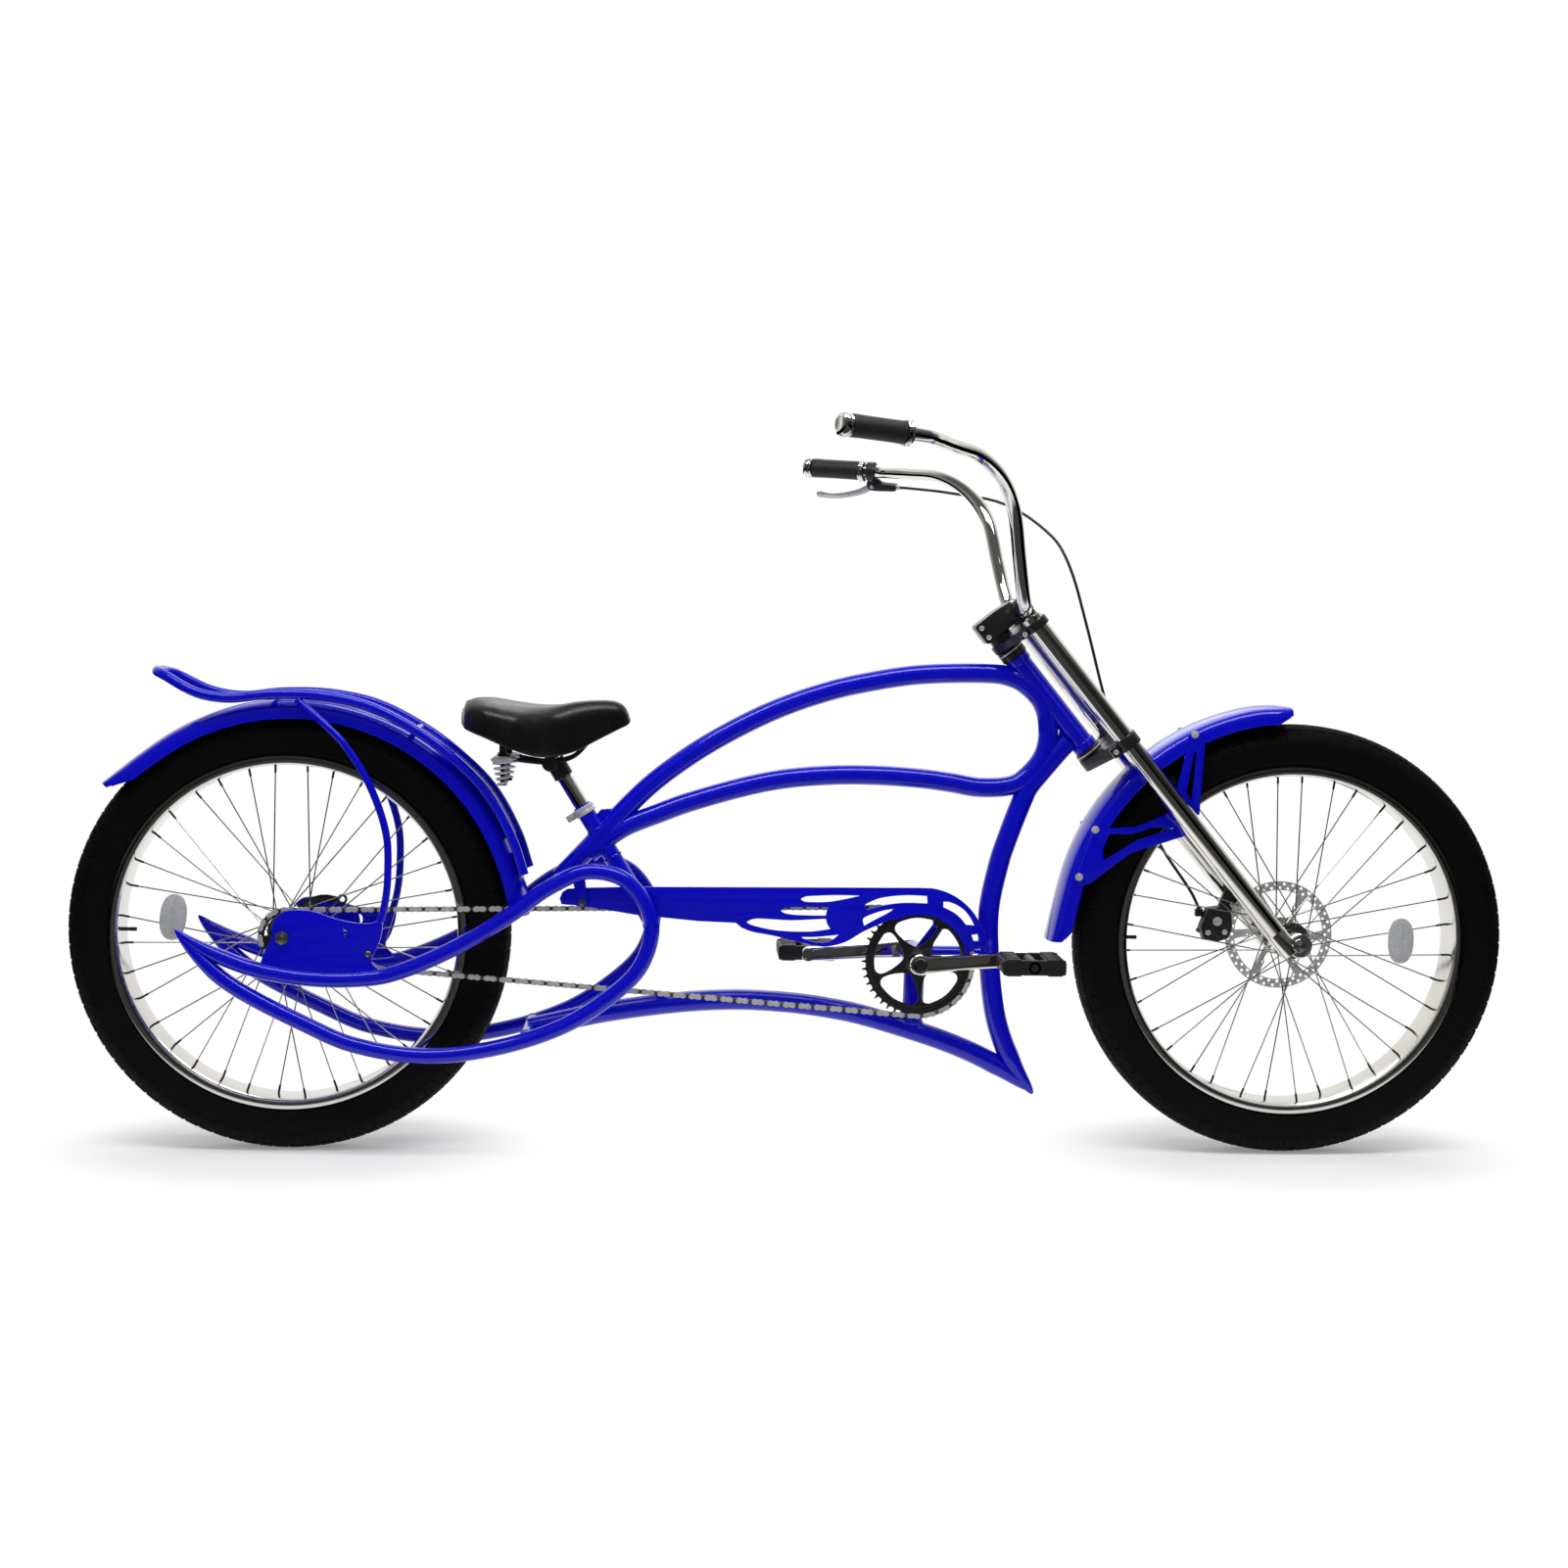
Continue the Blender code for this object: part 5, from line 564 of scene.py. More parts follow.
def makeCable():
    alongGrip = leverDirections()[1]
    first = onLever(-0.0643, 0.028)
    caliperMiddle = frontAxle + Vector((-0.108, 0, 0.018))
    last = caliperMiddle + Vector((-0.024, 0.064, 0.025))
    rise = Vector((-0.46, 0.05, 0.8864)).normalized()
    route = [
        first, first - 0.012 * alongGrip, frontAxle + Vector((-0.54, 0.318, 0.742)),
        frontAxle + Vector((-0.4473, 0.24, 0.7187)), frontAxle + Vector((-0.3758, 0.17, 0.6616)),
        frontAxle + Vector((-0.3486, 0.142, 0.6084)), frontAxle + Vector((-0.3215, 0.121, 0.5096)),
        frontAxle + Vector((-0.2905, 0.112, 0.3914)), frontAxle + Vector((-0.2476, 0.11, 0.2629)),
        frontAxle + Vector((-0.196, 0.09, 0.1481)), last + 0.03 * rise, last
    ]
    points = spreadEvenly(route, cableSet["steps"])
    length = runAlong(points)[-1]
    cable = bendTube("brakeCable", points, cableSet["diameter"] / 2, sides=12)
    finishPiece(cable, "steering", "cable", "brake_cable")
    print("cable made,", round(length, 3), "m long")


makeCable()


# Frame tubes
tubeSet = {
    "top": 0.01625, "down": 0.017, "loop": 0.0127, "seat": 0.0145, "bridge": 0.01, "strut": 0.017,
    "sides": 32
}


def weldRing(name, place, way, radius, bead=0.0022):
    # the filled bead round the end of a tube
    angles = [math.tau * k / 10 for k in range(10)]
    shape = [(radius + bead * 0.55 * math.cos(angle), bead * math.sin(angle)) for angle in angles]
    return turnOnLathe(name, shape, place, way, 32)


def crossBar(middle):
    # the tube between both rear loops, with its weld beads
    reach = loopOut * sideways
    parts = [straightTube("cross", middle - reach, middle + reach, tubeSet["bridge"], 28)]
    for side in (-1, 1):
        end = middle + side * (loopOut - 0.0115) * sideways
        parts.append(weldRing("bead", end, sideways, tubeSet["bridge"]))
    return parts


def taper(points, reach, shortest, fromStart, toEnd, lead=0.0005):
    run = runAlong(points)
    shares = []
    for along in run:
        away = min(along if fromStart else 9.0, run[-1] - along if toEnd else 9.0)
        shares.append(max(shortest, min(1.0, math.sqrt((away + lead) / reach))))
    return shares


def frameTube(name, radius, points, *ends):
    line = spreadEvenly(points, 8)
    return bendTube(name, line, tubeSet[radius], taper(line, *ends) if ends else None, tubeSet["sides"])


def makeTopLoop():
    rise = mm((56.5, 90.5), (90.4, 126.4), (190.7, 233), (264, 290.7), (340.2, 336.7))
    over = mm((-219.7, 409.2), (-139.7, 436.7), (-76.2, 451.3), (-13.2, 461.7), (44.8, 465.8))
    nose = mm((197.4, -52.7), (174.6, -30.3), (145.8, -15.4), (104.1, -11.6), (65.4, -29))
    turn = mm((36.3, -59.4), (24.8, -97.7), (27.6, -132.3), (58.7, -177.8))
    back = mm((55.9, 287.2), (4.7, 293.6), (-67.9, 297.9), (-139.8, 297.4), (-215.3, 290.8))
    fall = mm((356.8, 242.5), (264.8, 215.4), (214.4, 196.3), (161.8, 174.7), (129, 153), (103, 130))
    points = [fromRear(0.377 + x, z) for x, z in rise]
    points += [fromBracket(x, z) for x, z in over]
    points += [onSteering(head["bottom"] + up, forward) for up, forward in nose + turn]
    points += [fromBracket(x, z) for x, z in back]
    points += [fromRear(0.377 + x, z) for x, z in fall]
    loop = frameTube("topLoop", "top", points)
    wide = tubeSet["seat"]
    sleeve = [(0.0131, -0.064), (wide, -0.064), (wide, 0.0155), (0.0141, 0.016), (0.0131, 0.016)]
    stub = turnOnLathe("stub", sleeve, onSeat(0), -seatDown, 48)
    corners = [onSeat(down, across) for down, across in mm((10, 10), (6, 24), (22, 56), (40, 20))]
    gusset = cutPlate("gusset", [(place.x, place.z) for place in corners], [], 0.006, (0, 0, 0), 0.0012)
    bead = weldRing("bead", onSeat(0.03), seatDown, tubeSet["seat"] + 0.0004)
    joinTo(loop, stub, gusset, bead, *crossBar(fromRear(0.4335, 0.0905)))
    finishPiece(loop, "frame", "frame_paint", "top_loop")


def makeDownTube():
    nearHead = mm((27.8, -17.7), (22.6, -47.3), (15.2, -84.7), (8.3, -114.7))
    shape = mm((169.2, 251.5), (150.4, 199.9), (136.9, 157.6), (121.4, 76.6), (123.6, -4.8))
    toe = mm((133.8, -88.5), (148.9, -140.4), (169.9, -184.2), (200, -227))
    points = [onSteering(head["bottom"] + up, forward) for up, forward in nearHead]
    points += [fromBracket(x, z) for x, z in shape + toe]
    tube = frameTube("downTube", "down", points, 0.075, 0.14, False, True, 0.002)
    joinTo(tube, cutPlate("filler", mm((1240, 668), (1249, 706), (1274, 662)), [], 0.014, (0, 0, 0), 0.002))
    finishPiece(tube, "frame", "frame_paint", "down_tube")


def makeLowerTube():
    toe = mm((194, -220), (150, -187), (108.7, -164.1), (63.4, -144.6), (13, -126.8))
    middle = mm((-84, -97.9), (-143.6, -85.9), (-213.4, -77.2))
    tail = mm((720.3, -108.6), (626.9, -114), (508.5, -130.5), (420, -150), (385, -158))
    points = [fromBracket(x, z) for x, z in toe + middle] + [fromRear(x, z) for x, z in tail]
    tube = frameTube("lowerTube", "down", points, 0.075, 0.17, True, False, 0.004)
    joinTo(tube, *crossBar(fromRear(0.385, -0.158)))
    finishPiece(tube, "frame", "frame_paint", "lower_tube")


def makeSeatTube():
    foot = onSeat(0.2017)
    tube = straightTube("seatTube", onSeat(0.0643), foot, tubeSet["seat"], 36)
    joinTo(tube, weldRing("bead", onSeat(0.082), seatDown, tubeSet["seat"] + 0.0004), *crossBar(foot))
    finishPiece(tube, "frame", "frame_paint", "seat_tube")


def makeRearLoop(name, side):
    tip = (-0.1683, 0.0112)
    upper = mm((-145, -6.2), (-105, -28), (-44.4, -50.5), (32.2, -64), (109, -66))
    rise = mm((172.3, -57), (265.1, -17.7), (358, 38), (419.7, 83), (481.7, 109.7))
    front = mm((544, 94.6), (583.6, 32.1), (568.7, -39), (514.5, -94.7), (436.8, -142.6))
    lower = mm((327.9, -177), (219.1, -188.2), (109, -170.4), (32.1, -136.9), (-44.5, -98.3))
    tail = mm((-89.6, -70), (-120.8, -43), (-148, -14))
    route = [fromRear(x, z, side * loopOut) for x, z in (tip, *upper, *rise, *front, *lower, *tail, tip)]
    tube = frameTube(name, "loop", route, 0.09, 0.13, True, True)
    finishPiece(tube, "frame", "frame_paint", sided("rear_loop", side))


def makeHeadTube():
    length = head["top"] - head["bottom"]
    radius = head["radius"]
    collar = radius + 0.0025
    shape = [
        (0.0158, 0), (collar - 0.0008, 0), (collar, 0.0008), (collar, 0.011), (collar - 0.0006, 0.0122),
        (radius, 0.0138), (radius, length - 0.0138), (collar - 0.0006, length - 0.0122),
        (collar, length - 0.011), (collar, length - 0.0008), (collar - 0.0008, length), (0.0158, length)
    ]
    tube = turnOnLathe("headTube", shape, onSteering(head["bottom"], 0), steerUp, 64)
    finishPiece(tube, "frame", "frame_paint", "head_tube")


def makeBracketShell():
    half = 0.044
    radius = 0.02
    shape = [(radius, half - 0.0006), (radius - 0.0006, half), (0.0165, half)]
    shell = turnOnLathe("bracketShell", evenSided(shape), bracket, sideways, 56)
    strut = straightTube("strut", fromBracket(0, -0.018), fromBracket(-0.002, -0.12), tubeSet["strut"], 36)
    brace = straightTube("brace", fromBracket(0.018, 0.006), fromBracket(0.124, 0.006), 0.012, 28)
    tab = mm((-12, 10), (12, 5), (40, 50), (39.5, 59), (33, 64), (27, 62))
    ear = cutPlate("ear", tab, [], 0.003, fromBracket(0, 0, -half + 0.0019))
    beads = [
        weldRing("bead", fromBracket(0, -0.0195), (0, 0, 1), tubeSet["strut"]),
        weldRing("bead", fromBracket(0.0195, 0.006), (1, 0, 0), 0.012),
        weldRing("bead", fromBracket(-0.0018, -0.1085), (0, 0, 1), tubeSet["strut"])
    ]
    joinTo(shell, strut, brace, ear, *beads)
    finishPiece(shell, "frame", "frame_paint", "bottom_bracket_shell")
    race = mm((16.2, 42.5), (16, 43.6), (11.2, 43.6), (11, 43), (8.9, 43))
    unit = turnOnLathe("bearingUnit", evenSided(race), bracket, sideways, 48)
    finishPiece(unit, "frame", "steel", "bottom_bracket_cartridge", finish="bearingSteel")


def roundCorners(points, steps, sharp=()):
    # an outline drawn through its points, with a corner only at the sharp ones
    count = len(points)
    found = []
    for i in range(count):
        four = [Vector(points[(i + k) % count]) for k in (-1, 0, 1, 2)]
        found += stretch(*four, steps, i in sharp, (i + 1) % count in sharp)
    return [(place.x, place.y) for place in found]


def ringOf(centre, radius, count=24, start=0.0):
    return [polar(radius, start + math.tau * k / count, centre) for k in range(count)]


def arcOf(centre, radius, first, last, count):
    angles = [math.radians(first + (last - first) * k / (count - 1)) for k in range(count)]
    return [polar(radius, angle, centre) for angle in angles]


def makeDropout(name, side):
    left = mm((6.9, 43.6), (-9, 33), (-16, 18), (-17, 0), (-30, -28))
    low = mm((-36, -47), (32, -60), (109, -62), (156, -53))
    right = mm((140, -36), (148, -18), (156, 6), (156, 27))
    top = mm((135, 24), (112.2, 25.1), (83.4, 31.3), (47.7, 42.7))
    slit = roundCorners(mm((96.2, 16.5), (101, 13), (101.5, 4), (98.5, 1), (97.5, 8)), 4)
    outline = roundCorners(left + low + right + top, 4, (5, 6, 7, 8))
    holes = [ringOf((0, 0), 0.0054, 28), slit, ringOf((0.1354, -0.0245), 0.0033, 16)]
    plate = cutPlate(name, outline, holes, 0.006, rearAxle + side * loopOut * sideways, 0.0008)
    place = fromRear(0.1354, -0.0245, side * (loopOut + 0.003))
    bolt = socketBolt("bolt", place, side * sideways, 0.0088, 0.0042)
    legBolt = [bolt, washer(place, side * sideways, 0.0034, 0.0058, 0.0008)]
    finishTogether(name + "LegBolt", legBolt, "frame", "steel")
    finishPiece(plate, "frame", "frame_paint", sided("dropout", side))


makeTopLoop()
makeDownTube()
makeLowerTube()
makeSeatTube()
makeHeadTube()
makeBracketShell()
for side, word in ((-1, "Right"), (1, "Left")):
    makeRearLoop("rearLoop" + word, side)
    makeDropout("dropout" + word, side)
print("frame tubes and dropouts made")


# Chain guard: a pierced plate with a curl round the front of the chainring
guardSet = {"middle": -0.0655, "thickness": 0.003, "outer": 0.105, "arch": 0.0775, "tie": 0.003}


def makeGuard():
    def disc(first, last):
        # the flames stop at a plain round field
        return arcOf((-0.1213, 0.0735), 0.03, first, last, 5)

    upper = mm((-578.4, 98.7), (-574.5, 109), (-566.6, 114.5), (-548.7, 116.5), (-456, 119), (0, 121.5))
    front = arcOf((0.005, 0.017), guardSet["outer"], 82, 6, 25)
    arch = arcOf((0, 0), guardSet["arch"], 12, 118, 30)
    low = spreadEvenly(
        [(x, y, 0) for x, y in mm((-45, 70), (-89.8, 49.8), (-119.7, 32.2), (-152.9, 24.4), (-189.3, 30.8),
        (-234.8, 41.6), (-270, 48), (-286.8, 54.3))], 5
    )
    tail = mm((-296, 62), (-356.2, 64.3), (-458.5, 74), (-542.5, 87.5), (-575.4, 89.7))
    outline = upper + front + arch + [(place.x, place.y) for place in low] + tail
    behind = mm((-223.2, 82.1), (-216, 87.2), (-200, 88.4))
    behind += disc(149, 177) + mm((-178, 75.2), (-204, 76.2), (-218, 78.6))
    below = mm((-278, 62.8), (-272, 67.2), (-260, 69.2), (-233, 68), (-205.6, 67))
    below += disc(187, 222) + mm((-175.1, 49.1), (-226.5, 50.2), (-260, 56))
    first = mm(
        (-191.6, 101.5), (-184, 105.6), (-170, 106.8), (-136.1, 108.3), (-96, 107.8), (-124, 101.5),
        (-148, 97.5), (-176, 96.8), (-187, 98)
    )
    drop = mm(
        (-189.5, 39.4), (-172, 40), (-156.2, 41.2), (-130, 44), (-143.9, 33.8), (-160, 31.8), (-176, 34)
    )
    ahead = mm(
        (-89, 92), (-76, 99.5), (-60, 105), (-24.2, 109.1), (11.6, 108.2), (12.5, 96.3), (-23.9, 97),
        (-56, 93), (-84, 85)
    )
    beneath = mm((-91, 70.2), (-78, 77.5), (-60, 83.5), (-39, 88), (-53.9, 78.5), (-74.9, 67.5), (-89, 59))
    curl = mm(
        (38.5, 99), (47.3, 98.8), (60, 94), (72, 86), (82, 74), (89, 61.2), (75.5, 62.2), (68, 71.5),
        (56.7, 81.2), (38.4, 90.5)
    )
    last = mm((84.9, 45.5), (94.5, 47), (97.5, 36.1), (88.5, 36.1))
    flames = (
        (first, (4,)), (behind, (3, 7)), (below, (5, 9)), (drop, (3,)), (ahead, (4, 5, 8)),
        (beneath, (3, 6)), (curl, (0, 5, 6, 9)), (last, (0, 1, 2, 3))
    )
    holes = [roundCorners(points, 4, sharp) for points, sharp in flames]
    across = guardSet["middle"]
    guard = cutPlate("chainGuard", outline, holes, guardSet["thickness"], fromBracket(0, 0, across), 0.0005)
    shelf = blockAt("shelf", fromBracket(0.02, 0.0975, across), fromBracket(0.034, 0.1005, -0.0443), 0.0005)
    stay = cutPlate(
        "stay", mm((20, 100.5), (34, 100.5), (40, 56), (33, 49), (25, 56)), [], guardSet["tie"],
        fromBracket(0, 0, -0.0458)
    )
    ear = cutPlate(
        "ear", mm((-551.5, 87.6), (-533.5, 86.2), (-533, 96), (-539.5, 142), (-561, 142), (-550, 98)), [],
        0.0054, fromBracket(0, 0, -0.0696), 0.0008
    )
    joinTo(guard, shelf, stay, ear)
    finishPiece(guard, "frame", "frame_paint", "chain_guard")
    rear = fromBracket(-0.5425, 0.0936, -0.0723)
    bolts = [
        hexNut("bolt", rear, (0, -1, 0), 0.009, 0.0032, 0.0012),
        washer(rear, (0, -1, 0), 0.004, 0.0064, 0.0008),
        hexNut("bolt", fromBracket(0.027, 0.1005, -0.056), (0, 0, 1), 0.008, 0.003, 0.001),
        socketBolt("bolt", fromBracket(0.0335, 0.057, -0.0473), (0, -1, 0), 0.009, 0.003)
    ]
    finishTogether("guardBolts", bolts, "frame", "steel")


makeGuard()
print("chain guard made")


# Fenders: a curved sheet with a deep side, a rolled edge and drawn out ends
fenderSet = {
    "halfWidth": 0.0505, "wall": 0.0016, "depth": 0.03, "cellsLong": 110, "cellsWide": 34,
    "front": {"radius": 0.39, "first": 91.5, "last": 180.5, "flares": (-0.006, 0.01)},
    "rear": {"radius": 0.377, "first": 141.5, "last": 5.0, "flares": (0.01, 0.003)},
}
fenderShape = [
    (-1.0, 1.0), (-0.985, 0.72), (-0.945, 0.44), (-0.84, 0.235), (-0.62, 0.1), (-0.32, 0.026), (0.0, 0.0)
]


def shapeFender(name, centre, size):
    half = [Vector((u, v, 0)) for u, v in fenderShape]
    whole = half + [Vector((-place.x, place.y, 0)) for place in reversed(half[:-1])]
    section = spreadEvenly(whole, 8)
    run = runAlong(section)

    def across(t):
        far = t * run[-1]
        k = min(len(section) - 2, max(i for i, done in enumerate(run) if done <= far + 1e-9))
        part = (far - run[k]) / (run[k + 1] - run[k])
        return section[k].lerp(section[k + 1], min(1.0, part))

    shares = [across(k / fenderSet["cellsWide"]) for k in range(fenderSet["cellsWide"] + 1)]
    first, last = size["first"], size["last"]
    startFlare, endFlare = size["flares"]

    def place(s, t):
        spot = shares[round(t * fenderSet["cellsWide"])]
        out = startFlare * max(0.0, 1 - s / 0.12) ** 2 + endFlare * max(0.0, (s - 0.84) / 0.16) ** 2
        edge = min(1.0, s / 0.08 + 0.45, (1 - s) / 0.08 + 0.65)
        wide = fenderSet["halfWidth"] * (0.8 + 0.2 * min(1.0, edge))
        reach = size["radius"] + out - fenderSet["depth"] * edge * spot.y
        return roundWheel(centre, first + (last - first) * s, reach, wide * spot.x)

    sheet = bendSheet(name, fenderSet["cellsLong"], fenderSet["cellsWide"], place)
    # the sheet's faces must look outwards before the wall is given its thickness
    over = roundWheel(centre, 110, size["radius"])
    top = min(sheet.data.polygons, key=lambda face: (face.center - over).length)
    if top.normal.dot(top.center - centre) < 0:
        inEdit(sheet, wholeMesh, ("flip_normals", {}))
    withModifier(sheet, "SOLIDIFY", thickness=fenderSet["wall"], offset=-1)
    edges = []
    for end in (0.0, 1.0):
        line = [place(k / fenderSet["cellsLong"], end) for k in range(1, fenderSet["cellsLong"])]
        inward = Vector((0, 0.001 if end == 0.0 else -0.001, 0))
        edges.append(bendTube("rolledEdge", [spot + inward for spot in line], 0.0013, None, 8))
    return joinTo(sheet, *edges)


def bracketOutlines():
    def at(points):
        reach = fenderSet["front"]["radius"]
        found = [roundWheel(frontAxle, degrees, reach - inside) for degrees, inside in points]
        return [(place.x, place.z) for place in found]

    rear = at(
        [(133.8, 0.1446), (138.8, 0.1321), (152.0, 0.082), (164.6, 0.039), (165.8, 0.0228), (164.4, 0.0137),
        (161.7, 0.015), (152.4, 0.0107), (150.1, 0.0106), (149.0, 0.0317), (145.0, 0.064), (140.2, 0.0802),
        (133.1, 0.0946), (131.1, 0.1086)]
    )
    window = at(
        [(137.4, 0.1154), (147.6, 0.08), (157.3, 0.0475), (154.7, 0.0384), (150.4, 0.0358), (147.0, 0.068),
        (141.9, 0.0876)]
    )
    front = at(
        [(130.3, 0.0686), (128.7, 0.0709), (120.5, 0.0251), (118.4, 0.0056), (116.5, 0.0057),
        (115.1, 0.0147), (115.1, 0.0248), (127.8, 0.1266), (133.6, 0.1057)]
    )
    notch = at([(127.0, 0.0844), (127.3, 0.101), (118.8, 0.0387), (118.9, 0.0335)])
    return ((rear, window, 0.25), (front, notch, 0.304))


def roundBolt(name, place, way, size=0.0088, height=0.0026):
    # a low domed head on a thin washer
    head = [
        (0, 0), (size * 0.72, 0), (size * 0.72, 0.0006), (size * 0.5, 0.0007), (size * 0.49, height * 0.45),
        (size * 0.4, height * 0.8), (size * 0.22, height * 0.97), (0, height)
    ]
    return turnOnLathe(name, head, place, way, 24)


def makeFrontFender():
    fender = shapeFender("frontFender", frontAxle, fenderSet["front"])
    extras = []
    screws = []
    out = fenderSet["halfWidth"] + 0.0006
    legFace = fork["legSpacing"] - fork["legRadius"] - 0.0003
    for side in (-1, 1):
        for outline, window, foot in bracketOutlines():
            plate = cutPlate("plate", outline, [window], 0.003, (0, side * out, 0), 0.0006)
            near = onSteering(foot, fork["legOffset"])
            spacer = straightTube(
                "spacer", (near.x, side * out, near.z), (near.x, side * legFace, near.z), 0.007, 24, 0.0006
            )
            extras += [plate, spacer]
        for degrees, inside in ((151.2, 0.012), (163.6, 0.019), (117.0, 0.01)):
            reach = fenderSet["front"]["radius"] - inside
            place = roundWheel(frontAxle, degrees, reach, side * (out + 0.0015))
            screws.append(roundBolt("screw", place, (0, side, 0)))
    joinTo(fender, *extras)
    finishPiece(fender, "steering", "frame_paint", "front_fender", angle=40)
    finishTogether("frontFenderScrews", screws, "steering", "steel", finish="leverAlloy")


def makeRearFender():
    fender = shapeFender("rearFender", fromRear(0.008, 0), fenderSet["rear"])
    finishPiece(fender, "frame", "frame_paint", "rear_fender", angle=40)


makeFrontFender()
makeRearFender()
print("fenders made")


# Rack over the rear wheel
rackSet = {"rail": 0.008, "leg": 0.006, "bar": 0.005, "half": 0.058, "over": 0.377, "sides": 20}


def overWheel(degrees, over, y):
    return roundWheel(fromRear(0.008, 0), degrees, rackSet["over"] + over, y)


def bentStrip(name, line, low, high, thickness):
    # a flat strip along a line in the middle plane, with its lower face on the line
    cells = len(line) - 1
    piece = bendSheet(
        name, cells, 1, lambda s, t: line[round(s * cells)] + (low + (high - low) * t) * sideways
    )
    withModifier(piece, "SOLIDIFY", thickness=thickness, offset=0)
    return roundEdges(tidyMesh(piece), thickness * 0.25, 1, 60)


def makeRack():
    heights = [
        (116, 0.0824), (110.9, 0.0363), (104.5, 0.0135), (94.8, 0.0089), (83.4, 0.0091), (71.7, 0.0105)
    ]
    heights += [(59.5, 0.0076), (49, 0.0075), (37, 0.0106), (24.5, 0.0087), (15.2, 0.0074)]

    def rail(side):
        points = []
        for k, (degrees, over) in enumerate(heights):
            points.append(overWheel(degrees, over, side * rackSet["half"] * (0.72 if k == 0 else 1.0)))
        return points

    tail = [overWheel(117.4, 0.094, y) for y in (-0.02, 0.02)]
    line = spreadEvenly(rail(-1)[::-1] + tail + rail(1), 6)
    rack = bendTube("rack", line, rackSet["rail"], None, rackSet["sides"])
    middle = spreadEvenly([Vector((place.x, 0, place.z)) for place in rail(1)], 6)
    extras = []
    for y in (-0.033, -0.011, 0.011, 0.033):
        extras.append(bentStrip("slat", middle[18:43], y - 0.004, y + 0.004, 0.003))
    for k in (18, 36):
        left = Vector((middle[k].x, rackSet["half"], middle[k].z))
        right = Vector((middle[k].x, -rackSet["half"], middle[k].z))
        extras.append(straightTube("bar", left, right, rackSet["bar"], 16))
    wide = rackSet["half"] - 0.004
    extras.append(bentStrip("plate", middle[42:55], -wide, wide, 0.0026))
    pad = [overWheel(15 + k * 1.5, 0.0034, 0) for k in range(5)]
    extras.append(bentStrip("pad", pad, -wide, wide, 0.0052))
    foot = loopOut - 0.003 - 0.0003 - rackSet["leg"]
    for side in (-1, 1):
        points = [
            fromRear(0.019, 0.376, side * rackSet["half"]), fromRear(0.0653, 0.3382, side * (foot - 0.003)),
            fromRear(0.096, 0.3076, side * foot)
        ]
        for x, z in mm((134.5, 245.9), (161.6, 168.3), (164.7, 100), (159.4, 50.9), (146, 5), (135.4, -29)):
            points.append(fromRear(x, z, side * foot))
        extras.append(bendTube("leg", spreadEvenly(points, 6), rackSet["leg"], None, 18))
        place = fromRear(0.0215, 0.3742, side * (rackSet["half"] + 0.001))
        extras.append(weldRing("bead", place, (0.75, side * 0.2, -0.6), rackSet["leg"], 0.0018))
    joinTo(rack, *extras)
    finishPiece(rack, "frame", "frame_paint", "rack")


makeRack()
print("rack made")


# Chain: an inner and an outer link, copied round both sprockets
chainSet = {"pitch": 0.0127, "line": -0.056, "front": 44, "rear": 20, "plate": 0.0042, "waist": 0.003}


def pitchRadius(teeth):
    return chainSet["pitch"] / 2 / math.sin(math.pi / teeth)


def linkOutline(half):
    pitch = chainSet["pitch"] / 2
    tall, waist = chainSet["plate"] * half, chainSet["waist"] * half
    right = [
        (0.0, waist), (pitch - 0.0028, tall * 0.93), (pitch, tall), (pitch + tall * 0.72, tall * 0.7),
        (pitch + tall, 0.0)
    ]
    outline = right + [(x, -y) for x, y in reversed(right[:-1])]
    return outline[:-1] + [(-x, y) for x, y in reversed(outline)][:-1]


def makeLink(half, inside, outside, past, thick, sides):
    parts = []
    for side in (-1, 1):
        middle = (0, side * (inside + outside) / 2, 0)
        parts.append(cutPlate("plate", linkOutline(half), [], outside - inside, middle, 0))
    for end in (-1, 1):
        spot = end * chainSet["pitch"] / 2
        parts.append(straightTube("pin", (spot, -past, 0), (spot, past, 0), thick, sides))
    return joinTo(*parts)


def chainPins():
    # pin places round both sprockets, one pitch apart
    big, small = pitchRadius(chainSet["front"]), pitchRadius(chainSet["rear"])
    apart = bracket - rearAxle
    span = math.hypot(apart.x, apart.z)
    tilt = math.atan2(apart.z, apart.x)
    wrap = math.asin((big - small) / span)
    run = math.sqrt(span**2 - (big - small) ** 2)
    frontArc = (math.pi + 2 * wrap) * big
    rearArc = (math.pi - 2 * wrap) * small
    total = frontArc + rearArc + 2 * run
    top = tilt + math.pi / 2 + wrap
    low = top - frontArc / big

    def onArc(centre, radius, angle, past=0.0):
        # a place on a sprocket, or past it along the straight run that leaves it there
        out = Vector((math.cos(angle), 0, math.sin(angle)))
        return centre + radius * out + past * Vector((math.sin(angle), 0, -math.cos(angle)))

    pins = []
    count = 2 * round(total / chainSet["pitch"] / 2)
    for k in range(count):
        s = total * k / count
        if s < frontArc:
            spot = onArc(bracket, big, top - s / big)
        elif s < frontArc + run:
            spot = onArc(bracket, big, low, s - frontArc)
        elif s < frontArc + run + rearArc:
            spot = onArc(rearAxle, small, low - (s - frontArc - run) / small)
        else:
            spot = onArc(rearAxle, small, top, s - frontArc - run - rearArc)
        pins.append(spot + Vector((0, chainSet["line"], 0)))
    return pins


